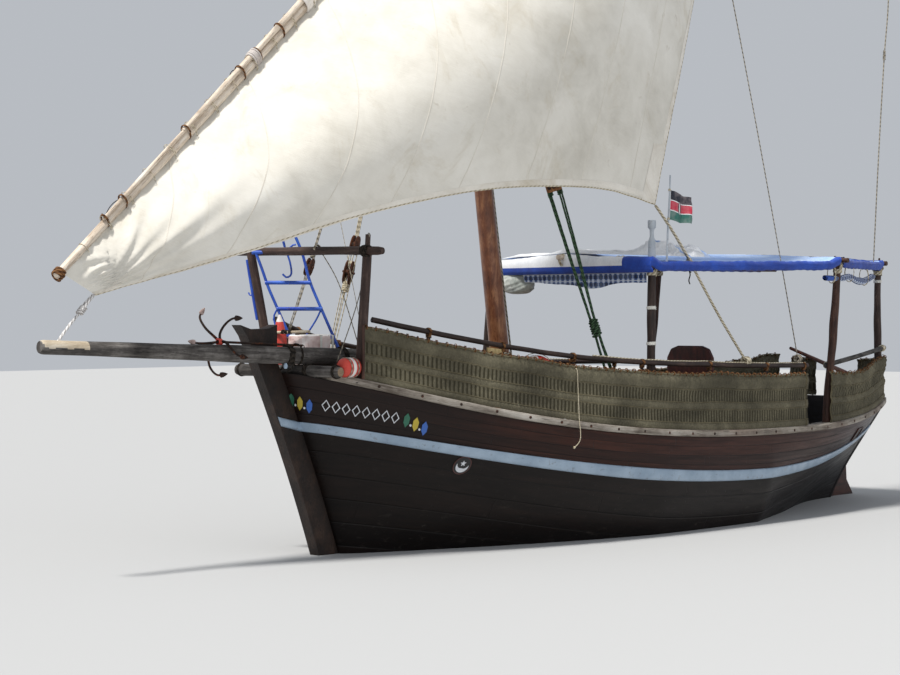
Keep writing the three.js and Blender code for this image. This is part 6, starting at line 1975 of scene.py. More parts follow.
def ladder_piece():
    shape = Shape()
    low = 1.62
    for side in (-1, 1):
        zs = np.linspace(low, 3.37, 30)
        path = np.array([on_ladder(side * (1.0 + 0.06 * smooth((z - 2.9) / 0.3)), z) + ladder_bow(z)
                         for z in zs])
        shape.tube(path, 0.0155, 14, wobble=0.02, chamfer=0.2)
    for z in RUNGS:
        path = np.array([on_ladder(s, z) for s in np.linspace(-1.02, 1.02, 14)])
        shape.tube(path, 0.0205 if z > 2.4 else 0.014, 14, wobble=0.02)
    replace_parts(shape.make("ladder_tubes", "hull", [BLUE_PAINT], slot_name="blue_paint", angle=50),
                "boarding_ladder")
    extra = Shape()
    hook = [on_ladder(s, z) for s, z in [(0.50, 3.17), (0.62, 3.26), (0.64, 3.32), (0.58, 3.24), (0.50, 3.05),
                                         (0.30, 2.93), (0.06, 2.905), (-0.06, 2.94)]]
    hook = np.array(hook) + [0.035, 0.03, 0]
    hook[0] -= [0.035, 0.03, 0]
    extra.tube(resample(hook, 0.025), 0.0105, 12, chamfer=0.2)
    extra.tube(resample([on_ladder(0.727, 3.21), on_ladder(1.0, 3.25), on_ladder(1.12, 3.252)], 0.03), 0.010,
               12)
    extra.tube(resample([on_ladder(1.0, 2.573), on_ladder(0.6, 2.47), on_ladder(0.10, 2.36),
                         on_ladder(-0.3, 2.276)], 0.04), 0.0095, 12)
    extra.tube(resample([on_ladder(-1.0, 2.573), on_ladder(-1.3, 2.50), on_ladder(-1.42, 2.40),
                         on_ladder(-1.2, 2.30), on_ladder(-1.0, 2.276)], 0.04), 0.0095, 12)
    extra.box(on_ladder(0.86, 2.262), (1, 0, 0), (0, 1, 0), (0, 0, 1), (0.03, 0.035, 0.008))
    extra.make("ladder_fittings", "hull", [BLUE_PAINT], angle=50)
    weld = Shape()
    for z in RUNGS:
        for side in (-1, 1):
            c = on_ladder(side * 0.99, z)
            weld.lathe([(0.0, -0.017), (0.020, -0.015), (0.0235, 0.0), (0.020, 0.015), (0.0, 0.017)], c,
                       axis=LADDER_HALF, up=(0, 0, 1), sides=12)
    weld.make("ladder_welds", "hull", [BLUE_PAINT])
    prop = Shape()
    post = POST_FOOT[1] + (POST_TOP[1] - POST_FOOT[1]) * 0.92
    low_post = POST_FOOT[1] + (POST_TOP[1] - POST_FOOT[1]) * 0.56
    prop.tube(resample([post + [0.020, -0.056, 0.02], (post + low_post) / 2 + [0.020, -0.058, 0],
                        low_post + [0.020, -0.058, 0]], 0.05), 0.019, 14, chamfer=0.2)
    hooked = (post * 0.42 + low_post * 0.58) + [0.020, -0.070, 0]
    prop.tube(resample([hooked, hooked + [0.01, -0.03, 0.004], hooked + [0.014, -0.045, 0.03]], 0.01), 0.008,
              10)
    prop.make("ladder_boathook", "hull", [BLUE_PAINT])


ladder_piece()


# Folding grapnel stowed on the bowsprit: arms as offsets from the hub, ahead, to port and up
GRAPNEL_HUB = np.array([6.43, 0.125, 2.244])
GRAPNEL_ARMS = [
    [(0, 0, 0), (0.03, -0.068, 0.06), (0.07, -0.155, 0.15), (0.08, -0.213, 0.25), (0.05, -0.20, 0.31)],
    [(0, 0, 0), (0.02, 0.018, 0.08), (0.0, 0.068, 0.17), (-0.05, 0.125, 0.23), (-0.10, 0.168, 0.235)],
    [(0, 0, 0), (0.0, 0.07, 0.0), (-0.02, 0.135, -0.06), (-0.06, 0.191, -0.13), (-0.10, 0.25, -0.15)],
    [(0, 0, 0), (0.03, -0.10, -0.02), (0.04, -0.13, -0.10), (0.03, -0.12, -0.25), (-0.02, -0.07, -0.33),
     (-0.08, -0.03, -0.325)],
    [(0, 0, 0), (0.2, 0.0, -0.012), (0.30, -0.012, -0.008), (0.355, -0.03, 0.004)],
]
PALE_ARMS = (0, 4)


def grapnel_piece():
    shape = Shape()
    near = sprit_at(5.35)
    end = near + [0, -0.045, sprit_radius(5.35) + 0.016]
    back = unit(end - GRAPNEL_HUB)
    side = unit(np.cross(back, (0, 0, 1)))
    up = np.cross(side, back)
    shape.tube(resample([GRAPNEL_HUB, (GRAPNEL_HUB + end) / 2, end], 0.1), 0.0125, 14, wobble=0.06, seed=5)
    for k, arm in enumerate(GRAPNEL_ARMS):
        path = resample([GRAPNEL_HUB + np.array(v) for v in arm], 0.018)
        shape.tube(path, np.linspace(0.0145, 0.0105, len(path)), 12, up=side, wobble=0.07, seed=6 + k)
        tip, ahead = path[-1], unit(path[-1] - path[-3])
        out = unit(np.cross(ahead, side) + 0.01)
        fluke = np.array([tip + ahead * v for v in (-0.048, -0.036, -0.012, 0.014, 0.034)])
        shape.tube(fluke, [0.012, 0.028, 0.026, 0.016, 0.004], 14, up=out, squash=0.45,
                   slot=1 if k in PALE_ARMS else 0)
    shape.lathe([(0.0, -0.024), (0.018, -0.022), (0.025, -0.008), (0.026, 0.012), (0.02, 0.028), (0.0, 0.03)],
                GRAPNEL_HUB, axis=back, up=(0, 0, 1), sides=22)
    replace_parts(shape.make("grapnel_iron", "hull", [RUST, CHALKY_IRON], slot_name="iron", angle=35),
                "grapnel_anchor")

    ring = Shape()
    ring.coil(GRAPNEL_HUB + back * -0.012, back, 0.030, 0.008, 4, 0.013, up=(0, 0, 1), sides=8, seed=7)
    ring.make("grapnel_hub_band", "hull", [RED_PAINT])
    lash = Shape()
    c = sprit_at(5.46)
    lash.coil(c + [0, -0.01, 0.012], (1, -0.07, 0.04), sprit_radius(5.46) + 0.013, 0.0045, 3, 0.011, sides=7,
              squash=(1.08, 1.0), seed=38)
    ring_path = [end + back * 0.004 + side * (0.026 * math.sin(v)) + up * (0.026 * math.cos(v) - 0.018)
                 for v in np.linspace(0, 6.283, 22)]
    lash.tube(ring_path, 0.0045, 8, caps=False)
    lash.make("grapnel_lashings", "hull", [DARK_ROPE])


grapnel_piece()


# Marker buoy, wrapped box, float and small gear on the foredeck
def buoy_material():
    g = Graph("marker_buoy")
    v = g.coords("Object")
    _, _, z = g.split(v)
    lobes = g.noise(v, 9.0, 2.0)
    height = z + lobes * 0.03
    red = g.mix(g.noise(v, 5.0), "a3241d", "c9473a")
    white = g.mix(g.noise(v, 6.0), "d9d3cd", "f2efec")
    tip = g.span(height, 2.452, 2.459)
    low = g.span(height, 1.96, 1.967)
    colour = g.mix(low, white, red)
    colour = g.mix(tip, colour, white)
    grime = g.span(g.noise(v, 3.0), 0.52, 0.75, 0, 0.5)
    colour = g.mix(grime, colour, "5d4a40")
    return g.finish(colour, 0.42, g.bump(g.noise(v, 60.0), 0.15, 0.004), Coat_Weight=0.1)


def buoy_piece():
    foot = np.array([5.215, -0.300, 1.671])
    rows = [(0.0, 0.0), (0.05, 0.002), (0.078, 0.018), (0.089, 0.06), (0.0915, 0.14), (0.0915, 0.26),
            (0.0915, 0.375), (0.087, 0.43), (0.078, 0.50), (0.068, 0.56), (0.052, 0.62), (0.036, 0.68),
            (0.020, 0.715), (0.013, 0.735), (0.0, 0.738)]
    rows = [(r, z * 1.14) for r, z in rows]
    shape = Shape()
    shape.lathe(rows, foot, sides=36)
    for z in (0.15, 0.37):
        shape.lathe([(0.0905, z - 0.012), (0.095, z - 0.006), (0.095, z + 0.006), (0.0905, z + 0.012)], foot,
                    sides=36)
    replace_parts(shape.make("buoy_body", "hull", [buoy_material()], slot_name="red_float", angle=50),
                "marker_buoy")
    band = Shape()
    band.coil(foot + [0, 0, 0.405], (0, 0, 1), 0.0935, 0.006, 3, 0.012, up=(1, 0, 0), sides=7, seed=2)
    band.tube(resample([foot + [0.09, 0.02, 0.41], foot + [0.11, 0.04, 0.3], foot + [0.095, 0.06, 0.16],
                        foot + [0.1, 0.06, 0.02]], 0.03), 0.005, 7)
    band.make("buoy_lashing", "hull", [PALE_ROPE])


def wrap_material():
    g = Graph("wrapped_box")
    v = g.coords("Object")
    _, _, z = g.split(v)
    tone = g.noise(v, 7.0, 3.0)
    colour = g.ramp(tone, [(0.3, "c9aaa6"), (0.5, "e6d2ce"), (0.7, "f4eeec")])
    top = g.span(z, 2.285, 2.295)
    colour = g.mix(top, colour, "f3f1ef")
    stain = g.span(g.noise(g.coords("Object", (1, 1, 3)), 4.0), 0.55, 0.8, 0, 0.55)
    colour = g.mix(stain, colour, "8b6b5c")
    wrinkle = g.noise(g.coords("Object", (2, 2, 9)), 7.0, 4.0, 0.6, 1.2)
    return g.finish(colour, 0.33, g.bump(wrinkle, 0.55, 0.012), Coat_Weight=0.15)


CORNERS = [(-1, -1), (1, -1), (1, 1), (-1, 1)]


def chest_piece():
    x0, x1, y0, y1 = 4.84, 5.19, -0.22, 0.10
    low, high = 1.44 + 0.2 * (4.92 - 3.75), 2.30
    shape = Shape()
    rings = []
    levels = np.concatenate([[low], np.linspace(low + 0.02, high - 0.02, 24), [high - 0.006, high]])
    for level, z in enumerate(levels):
        last = len(levels) - 1
        inset = 0.014 if level in (0, last) else 0.004 if level == last - 1 else 0.0
        ring = []
        for k, (sx, sy) in enumerate(CORNERS):
            for t in np.linspace(0, 0.93, 12):
                nx, ny = CORNERS[(k + 1) % 4]
                ring.append((sx + (nx - sx) * t, sy + (ny - sy) * t))
        ring = np.array(ring)
        hx, hy = (x1 - x0) / 2 - inset - 0.004, (y1 - y0) / 2 - inset - 0.004
        corner = (np.abs(ring[:, 0]) ** 16 + np.abs(ring[:, 1]) ** 16) ** (1 / 16)
        px, py = ring[:, 0] / corner * hx, ring[:, 1] / corner * hy
        sag = 0.004 * waves(np.arctan2(py, px) * 2.0, np.full(len(ring), z * 6), 31, 5)
        px, py = px - np.sign(ring[:, 0]) * np.abs(sag), py - np.sign(ring[:, 1]) * np.abs(sag)
        rings.append(np.stack([px + (x0 + x1) / 2, py + (y0 + y1) / 2, np.full(len(ring), z)], -1))
    p = np.array(rings)
    shape.grid(p, wrap=True, flip=True)
    shape.fan(p[0], p[0].mean(axis=0), flip=True)
    shape.fan(p[-1], p[-1].mean(axis=0) + [0, 0, 0.002])
    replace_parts(shape.make("box_wrapped", "hull", [wrap_material()], slot_name="wrapped_box", angle=50),
                "deck_chest")

    tape = Shape()
    cx, cy = (x0 + x1) / 2, (y0 + y1) / 2
    hx, hy = (x1 - x0) / 2, (y1 - y0) / 2
    for x in (4.83, 5.00):
        ring = [(x, cy - hy, low + 0.01), (x, cy - hy, high), (x, cy, high + 0.002), (x, cy + hy, high),
                (x, cy + hy, low + 0.01)]
        tape.tube(resample(ring, 0.02, curve=False), 0.017, 8, up=(1, 0, 0), squash=0.14)
    for z in (1.86, 2.15):
        ring = [(cx + hx * a, cy + hy * b, z) for a, b in [(-1, -1), (1, -1), (1, 1), (-1, 1), (-1, -1)]]
        tape.tube(resample(ring, 0.02, curve=False), 0.015, 8, up=(0, 0, 1), squash=0.14, caps=False)
    tape.make("box_tape", "hull", [WHITE_TAPE])

    stick = Shape()
    y = np.linspace(-0.335, 0.135, 24)
    path = np.stack([5.232 - 0.24 * y + 0.004 * np.sin(y * 9), y, 2.333 + 0.006 * np.sin(y * 6)], -1)
    stick.tube(path, 0.0155, 14, wobble=0.06, seed=12, chamfer=0.2)
    stick.make("box_stick", "hull", [FRESH_WOOD])
    tie = Shape()
    for y0 in (-0.185, -0.145, -0.10):
        tie.coil((5.232 - 0.24 * y0, y0, 2.333), (-0.24, 1, 0), 0.0185, 0.0045, 4, 0.0085, up=(0, 0, 1),
                 sides=7, seed=int(50 * -y0))
    tie.tube(resample([(5.115, -0.12, 2.306), (5.098, -0.11, 2.27), (5.1, -0.1, 2.2)], 0.02), 0.0045, 7)
    tie.make("box_stick_ties", "hull", [DARK_ROPE])


def float_piece():
    centre = np.array([5.20, 0.70, cap_top(5.17) + 0.086])
    rows = [(0.0, -0.128), (0.028, -0.127), (0.053, -0.120), (0.076, -0.105), (0.093, -0.084), (0.098, -0.06),
            (0.098, -0.03), (0.098, 0.03), (0.098, 0.06), (0.093, 0.084), (0.076, 0.105), (0.053, 0.120),
            (0.028, 0.127), (0.0, 0.128)]
    shape = Shape()
    shape.lathe(rows, centre, axis=(1, 0, 0), up=(0, 0, 1), sides=34)
    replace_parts(shape.make("float_body", "hull", [RED_PAINT], slot_name="red_float", angle=60), "float_red")
    band = Shape()
    band.lathe([(0.0975, -0.022), (0.1005, -0.018), (0.1005, 0.018), (0.0975, 0.022)], centre, axis=(1, 0, 0),
               up=(0, 0, 1), sides=34)
    band.make("float_band", "hull", [RED_WHITE])
    tie = Shape()
    for dx in (-0.05, 0.052):
        tie.coil(centre + [dx, 0, 0], (1, 0, 0), 0.1005, 0.0045, 2, 0.009, up=(0, 0, 1), sides=7, seed=4)
    tie.tube(resample([centre + [0.02, -0.03, -0.099], centre + [-0.1, -0.09, -0.07], (4.99, 0.64, 2.03)],
                      0.03), 0.0045, 7)
    tie.make("float_lanyard", "hull", [GREY_ROPE])


def guys_piece():
    shape = Shape()
    for path in ([(5.05, 0.105, 3.215), (5.02, 0.36, 2.86), (4.985, 0.662, 2.12)],
                 [(4.99, 0.735, 2.97), (4.99, 0.60, 2.60), (5.02, 0.44, 2.20), (5.05, 0.38, 2.03)]):
        shape.tube(resample(path, 0.05), 0.0055, 8, strands=3, pitch=0.06)
    for c, axis in [((5.05, 0.09, 3.19), (0, 1, 0)), ((4.985, 0.662, 2.10), (0, 0.05, 1))]:
        shape.coil(c, axis, 0.045, 0.0055, 3, 0.012, up=(1, 0, 0), sides=7, seed=6)
    shape.make("gallows_guys", "hull", [GREY_ROPE])


buoy_piece()
chest_piece()
float_piece()
guys_piece()


# Awning: posts, poles and the staff
SIDE_LINES = {"port": [(1.23, 1.50, 3.06), (-2.85, 1.465, 3.13), (-4.88, 0.85, 3.13)],
              "starboard": [(0.68, -1.30, 3.06), (-2.85, -1.33, 3.13), (-4.88, -0.85, 3.13)]}
POST_LINES = {
    "port": [((1.11, 1.448), (1.085, 1.448, 3.05)), ((-2.62, 1.415), (-2.79, 1.465, 3.13)),
             ((-4.80, 0.838), (-4.80, 0.838, 3.13))],
    "starboard": [((0.69, -1.452), (0.665, -1.30, 3.06)), ((-2.62, -1.415), (-2.79, -1.33, 3.129))]}
CROSS_LINES = {"awning_bow_pole": ((1.184, 1.545, 3.119), (0.65, -1.34, 3.118)),
               "awning_mid_pole": ((-2.79, 1.62, 3.187), (-2.79, -1.48, 3.187)),
               "awning_stern_pole": ((-4.79, 0.98, 3.188), (-4.79, -0.98, 3.188))}
STAFF_FOOT, STAFF_TOP = np.array([0.87, 1.4968, 3.06]), np.array([0.74, 1.45, 4.11])
TAPE_AT = {("port", 0): (2.57, 2.18), ("port", 2): (2.95,)}


def crooked(foot, top, bend, seed, low):
    t = np.linspace(0, 1, 60)
    a = np.array([foot[0], foot[1], low])
    path = a + (np.array(top) - a) * t[:, None]
    ends = np.sin(t * math.pi)
    path[:, 0] += bend * ends * waves(t * 3.2, 0, seed, 4, 1.0)
    path[:, 1] += bend * 0.5 * ends * waves(t * 3.0, 1, seed + 2, 4, 1.0)
    return path


def awning_posts(name):
    side = 1 if name == "port" else -1
    shape, tape, rope = Shape(), Shape(), Shape()
    for k, (foot, top) in enumerate(POST_LINES[name]):
        path = crooked(foot, top, 0.018, 70 + k + side, cap_top(foot[0]) - 0.004)
        t = np.linspace(0, 1, len(path))
        radius = 0.046 + 0.006 * (1 - t) + 0.003 * np.sin(t * 11 + k)
        shape.tube(path, radius * (1, 1.06, 0.98)[k], 20, up=(1, 0, 0), wobble=0.06, seed=80 + k, slot=k,
                   chamfer=0.15)
        for z in TAPE_AT.get((name, k), ()):
            c = path[np.argmin(abs(path[:, 2] - z))]
            tape.coil(c, (0, 0, 1), 0.052, 0.004, 5, 0.0075, up=(1, 0, 0), sides=6, squash=(1, 1), seed=k + 2)
        c = np.array(top) + [0, 0, -0.02]
        rope.coil(c + [0, 0, -0.055], (0, 0, 1), 0.053, 0.006, 5, 0.011, up=(1, 0, 0), sides=7, seed=k)
        rope.coil(c + [0, 0, 0.0], (1, 0, 0.15), 0.060, 0.006, 3, 0.02, up=(0, 0, 1), sides=7, seed=k + 4)
    p = resample(SIDE_LINES[name], 0.06, curve=False)
    p[:, 2] += 0.004 * waves(p[:, 0] * 2.0, 0, 5, 4, 1.0)
    shape.tube(p, 0.0295 * (1 + 0.05 * waves(p[:, 0] * 3.1, 2, 6, 4, 1.0)), 16, wobble=0.04, seed=90,
               chamfer=0.15, slot=1)
    if name == "port":
        head = [(0.046, 3.03), (0.0445, 3.12), (0.0435, 3.30), (0.0415, 3.335), (0.034, 3.36), (0.0245, 3.39),
                (0.0235, 3.43), (0.0245, 3.465), (0.034, 3.480), (0.0455, 3.492), (0.0468, 3.52),
                (0.0468, 3.560), (0.043, 3.576), (0.0, 3.58)]
        shape.lathe(head, (1.085, 1.448, 0), sides=26, slot=3)
        for x, z in [(-2.735, 3.155), (-2.80, 3.14)]:
            shape.tube([(x, 1.462, z - 0.03), (x - 0.004, 1.464, z + 0.04), (x + 0.002, 1.462, z + 0.085)],
                       [0.017, 0.0165, 0.0135], 12, up=(1, 0, 0), wobble=0.06, slot=1, chamfer=0.2)
    piece = shape.make(f"awning_frame_{name}", "hull", [RAIL_POLE, RED_POLE, BROWN_POLE, GREY_PAINT],
                       slot_name="red_wood", angle=45)
    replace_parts(piece, f"awning_side_{name}")
    if tape.points:
        tape.make(f"awning_tape_{name}", "hull", [WHITE_TAPE], slot_name="white_paint")
    rope.make(f"awning_ties_{name}", "hull", [PALE_ROPE], slot_name="pale_rope")


def cross_poles():
    for k, (name, (port, starboard)) in enumerate(CROSS_LINES.items()):
        t = np.linspace(0, 1, 46)[:, None]
        path = np.array(port) * (1 - t) + np.array(starboard) * t
        path[:, 2] += 0.004 * np.sin(t[:, 0] * 9 + k) * np.sin(t[:, 0] * math.pi)
        r = 0.0295 * (1 + 0.05 * np.sin(t[:, 0] * 13 + k))
        shape = Shape()
        shape.tube(path, r, 18, wobble=0.05, seed=93 + k, chamfer=0.2)
        if k == 2:
            shape.tube([(-4.735, 0.90, 3.16), (-4.733, 0.90, 3.235), (-4.737, 0.90, 3.26)],
                       [0.015, 0.014, 0.011], 12, up=(1, 0, 0), wobble=0.05)
        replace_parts(shape.make(f"{name}_log", "hull", [RED_POLE], slot_name="red_wood", angle=45), name)
    p = resample([(1.085, 0.08, 3.181), (-2.79, 0.08, 3.249), (-4.86, 0.08, 3.25)], 0.08, curve=False)
    shape = Shape()
    shape.tube(p, 0.0325 + 0.001 * np.sin(p[:, 0] * 5), 18, wobble=0.04, seed=97, chamfer=0.15)
    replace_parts(shape.make("awning_ridge_log", "hull", [YARD_WOOD], slot_name="pale_spar", angle=45),
                "awning_ridge_pole")
    rope = Shape()
    for x, z in [(1.0, 3.15), (-2.79, 3.218), (-4.79, 3.219)]:
        rope.coil((x, 0.08, z), (0.3, 1, 0), 0.052, 0.006, 4, 0.012, up=(0, 0, 1), squash=(1.25, 0.9),
                  sides=7, seed=4)
    rope.make("awning_ridge_ties", "hull", [PALE_ROPE], slot_name="pale_rope")


for name in ("port", "starboard"):
    awning_posts(name)
cross_poles()


# Staff with its flag
def staff_at(z):
    return STAFF_TOP + (STAFF_FOOT - STAFF_TOP) * ((STAFF_TOP[2] - z) / (STAFF_TOP[2] - STAFF_FOOT[2]))


def flag_piece():
    shape = Shape()
    z = np.linspace(3.065, 4.10, 50)
    path = np.array([staff_at(v) for v in z])
    path[:, 0] += 0.003 * np.sin(z * 6)
    shape.tube(path, 0.0125 - 0.0035 * (z - 3.06), 14, up=(1, 0, 0), wobble=0.05, chamfer=0.2)
    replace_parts(shape.make("staff_pole", "hull", [GREY_PAINT], slot_name="white_paint", angle=45),
                "flagstaff")
    tie = Shape()
    for v in (3.93, 3.60):
        tie.coil(staff_at(v), STAFF_TOP - STAFF_FOOT, 0.0135, 0.003, 4, 0.006, up=(1, 0, 0), sides=6, seed=3)
    tie.make("flag_ties", "hull", [PALE_ROPE], slot_name="pale_rope")

    fly, drop = 0.325, 0.336
    t = np.linspace(0, 1, 70)[:, None]
    v = np.linspace(0, 1, 50)[None]
    z = 3.93 - drop * v + 0 * t
    hoist_x = (STAFF_TOP[0] + (STAFF_FOOT[0] - STAFF_TOP[0]) * (STAFF_TOP[2] - z) / (STAFF_TOP[2]
                                                                                     - STAFF_FOOT[2]))
    hoist_y = (STAFF_TOP[1] + (STAFF_FOOT[1] - STAFF_TOP[1]) * (STAFF_TOP[2] - z) / (STAFF_TOP[2]
                                                                                     - STAFF_FOOT[2]))
    curl = 0.018 * np.sin(t * 14 + v * 2.2) * t + 0.008 * waves(t * 9, v * 5, 41, 5, 1.0) * t
    x = hoist_x - 0.008 - fly * t * (1 - 0.10 * (1 - v) * t) + 0.03 * np.clip(t - 0.86, 0, 1) * 6 * (0.5 - v)
    y = hoist_y + 0.026 * np.sin(t * 7.5 + v * 0.8) * t + 0.06 * t + curl
    z = z - 0.055 * t - 0.035 * t**2 * (1 - v) + 0.012 * np.sin(t * 8 + v) * t
    p = np.stack([x + 0 * z, y + 0 * z, z], -1)
    uv = np.stack([t * fly + 0 * v, (1 - v) * drop + 0 * t], -1)
    g = Graph("flag_cloth")
    at = g.coords("UV")
    s, h, _ = g.split(at)
    weave = g.math("SINE", s * 1900) * g.math("SINE", h * 1900)
    stripes = g.ramp(h * (1 / drop), [(0.0, "2b6b60"), (0.315, "e8ecee"), (0.345, "c02c45"),
                                      (0.655, "e8ecee"), (0.685, "141a2a")], "CONSTANT")
    oval = ((s - 0.165) / 0.03) ** 2.0 + ((h - 0.168) / 0.075) ** 2.0
    inner = ((s - 0.165) / 0.008) ** 2.0 + ((h - 0.168) / 0.075) ** 2.0
    colour = g.mix(g.math("LESS_THAN", oval, 1.0), stripes, "3a1220")
    colour = g.mix(g.math("LESS_THAN", inner, 1.0), colour, "e8ecee")
    hem = g.math("LESS_THAN", s, 0.014)
    colour = g.mix(hem, colour, "d8dadc")
    faded = g.span(g.noise(g.coords("Object"), 12.0, 4.0), 0.4, 0.7, 0, 0.22)
    colour = g.mix(faded, colour, "d8c8c8")
    cloth_look = g.finish(colour, 0.78, g.bump(weave, 0.2, 0.002), Sheen_Weight=0.1)
    shape = Shape()
    shape.grid(p, uv)
    piece = shape.make("flag_sheet", "hull", [cloth_look], slot_name="flag_cloth", angle=None)
    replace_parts(piece, "flag")


flag_piece()


# Cloth of the awning
def check_material(name, dark, light, line, size):
    """Printed check: squares in two blues crossed by pale lines."""
    g = Graph(name)
    at = g.coords("UV")
    x, y, _ = g.split(at)
    fx = g.math("FRACT", x / size)
    fy = g.math("FRACT", y / size)
    wide_x, wide_y = g.math("LESS_THAN", fx, 0.5), g.math("LESS_THAN", fy, 0.5)
    both = wide_x * wide_y
    one = wide_x + wide_y - both
    colour = g.mix(one, light, line)
    colour = g.mix(both, colour, dark)
    thin = g.math("LESS_THAN", g.math("FRACT", x / size + 0.28), 0.07)
    colour = g.mix(thin, colour, "e6eaf2")
    thin = g.math("LESS_THAN", g.math("FRACT", y / size + 0.28), 0.07)
    colour = g.mix(thin, colour, "e6eaf2")
    worn = g.span(g.noise(g.coords("Object"), 5.0, 5.0), 0.42, 0.7, 0, 0.3)
    colour = g.mix(worn, colour, "9fb0cc")
    weave = g.math("SINE", x * 1300) * g.math("SINE", y * 1300)
    height = weave * 0.1 + g.noise(g.coords("Object"), 9.0, 4.0)
    return g.finish(colour, 0.84, g.bump(height, 0.3, 0.01), Sheen_Weight=0.12)


CHECK_CLOTH = check_material("check_cloth", "101c3c", "b9c6dc", "31508c", 0.085)
# The tarp's top is a pale blue of painted sunlight on the deep blue cloth of its hems
SUNLIT_TARP_TOP = cloth("tarp_top_sunlit", "7fa8ee", "bdd5f8", 700, fold=0.9, stain="d4e2f6")
TARP_HEM = cloth("tarp_hem", "0e2878", "2350b8", 700, fold=0.8)
BAG_PRINT = cloth("bag_print", "5f6a6c", "cfd2cc", 500, fold=1.1, stain="8a9488")


def ridge_line(x):
    return np.interp(x, [-4.86, -2.79, 1.085], [3.288, 3.287, 3.219])


def tarp(name, node, front, back, sag, seed, nose):
    """Cloth over the ridge pole, rolled round the side poles at its edges."""
    n, m = 150, 61
    t = np.linspace(0, 1, n)[:, None]
    w = np.linspace(1, -1, m)[None]
    wide = np.abs(w)

    def span(key):
        return front[key] + (back[key] - front[key]) * t

    side = np.where(w > 0, span("port"), span("starboard"))
    x_mid = (span("x_port") + span("x_starboard")) / 2
    x = x_mid + (np.where(w > 0, span("x_port"), span("x_starboard")) - x_mid) * wide
    y = 0.08 + (side - 0.08) * wide
    edge = span("z") + 0 * w - sag * smooth(t / 0.05) * smooth((1 - t) / 0.05)
    z = ridge_line(x) + (edge - ridge_line(x)) * wide
    loose = np.sin(np.pi * np.clip(wide, 0, 1)) ** 1.2
    z -= loose * (0.030 * np.sin(np.pi * t) ** 0.6 + 0.012)
    z += loose * 0.016 * waves(x * 1.6, y * 2.6, seed, 6, 1.1)
    pull = np.exp(-((wide - 0.93) / 0.09) ** 2) * np.cos(x * 19 + seed) ** 2
    z -= 0.008 * pull
    top = np.stack([x + 0 * w, y + 0 * t, z], -1)
    roll = [(0.010, 0.004), (0.022, -0.012), (0.027, -0.034), (0.026, -0.058), (0.018, -0.082),
            (0.004, -0.100), (-0.014, -0.108), (-0.030, -0.100), (-0.040, -0.082)]
    columns = []
    for s, at in ((1, 0), (-1, -1)):
        base = top[:, at]
        rows = []
        for out, drop in roll:
            lump = 0.006 * waves(base[:, 0] * 5, drop * 30, seed + 5, 4, 1.0)
            point = base.copy()
            point[:, 1] += s * (out + lump)
            point[:, 2] += drop + lump
            rows.append(point)
        columns.append(rows)
    p = np.stack(columns[0][::-1] + [top[:, k] for k in range(m)] + columns[1], 1)
    edge_count = len(roll)
    if nose:
        lip = []
        for out, drop in [(0.018, -0.004), (0.040, -0.022), (0.050, -0.055), (0.052, -0.098), (0.048, -0.140),
                          (0.030, -0.178), (0.010, -0.182)][::-1]:
            row = p[0].copy()
            lump = 0.006 * waves(row[:, 1] * 5, drop * 25, seed + 9, 4, 1.0)
            row[:, 0] += out + lump
            share = np.clip((row[:, 2] - 3.04) / 0.10, 0, 1)
            row[:, 2] += drop * share - (row[:, 2] - 3.165) * np.clip(-drop / 0.05, 0, 1) * share
            lip.append(row)
        p = np.concatenate([np.array(lip), p])
    shape = Shape()
    uv = np.stack([p[..., 0], lengths_across(p)], -1)
    shape.grid(p, uv, flip=True)
    slots = np.zeros((p.shape[0] - 1, p.shape[1] - 1), int)
    slots[:, :edge_count + 1] = 1
    slots[:, -edge_count - 1:] = 1
    if nose:
        slots[:8] = 1
        over = (p[3:9, :-1, 1] < 1.12) & (p[3:9, :-1, 1] > -1.15)
        slots[3:9][over] = 2
    else:
        slots[-3:] = 1
    shape.slots = slots.ravel().tolist()
    # Slot 0, the top, carries the painted sunlit blue; the rolled edges keep the deep blue
    piece = shape.make(name, "hull", [SUNLIT_TARP_TOP, TARP_HEM, WHITE_CLOTH], slot_name="blue_cloth", angle=None)
    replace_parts(piece, node)
    return piece, p


def lengths_across(p):
    step = np.linalg.norm(np.diff(p, axis=1), axis=-1)
    return np.concatenate([np.zeros((len(p), 1)), np.cumsum(step, axis=1)], 1)


def flat_size(p):
    """Length, girth and area of a grid of points."""
    a = float(lengths_across(p.transpose(1, 0, 2))[:, -1].max())
    b = float(lengths_across(p)[:, -1].max())
    u, v = np.diff(p, axis=0)[:, :-1], np.diff(p, axis=1)[:-1]
    return (round(a, 3), round(b, 3)), round(float(np.linalg.norm(np.cross(u, v), axis=-1).sum()), 3)


MAIN_FRONT = {"x_port": 1.236, "x_starboard": 0.696, "port": 1.560, "starboard": -1.362, "z": 3.162}
MAIN_BACK = {"x_port": -2.735, "x_starboard": -2.735, "port": 1.530, "starboard": -1.392, "z": 3.232}
AFT_FRONT = {"x_port": -2.845, "x_starboard": -2.845, "port": 1.510, "starboard": -1.390, "z": 3.232}
AFT_BACK = {"x_port": -4.735, "x_starboard": -4.735, "port": 0.945, "starboard": -0.945, "z": 3.232}
main_tarp, main_grid = tarp("canopy_cloth", "canopy", MAIN_FRONT, MAIN_BACK, 0.056, 101, True)
aft_tarp, aft_grid = tarp("canopy_aft_cloth", "canopy_aft", AFT_FRONT, AFT_BACK, 0.03, 113, False)
for piece, grid in ((main_tarp, main_grid), (aft_tarp, aft_grid)):
    flat, area = flat_size(grid)


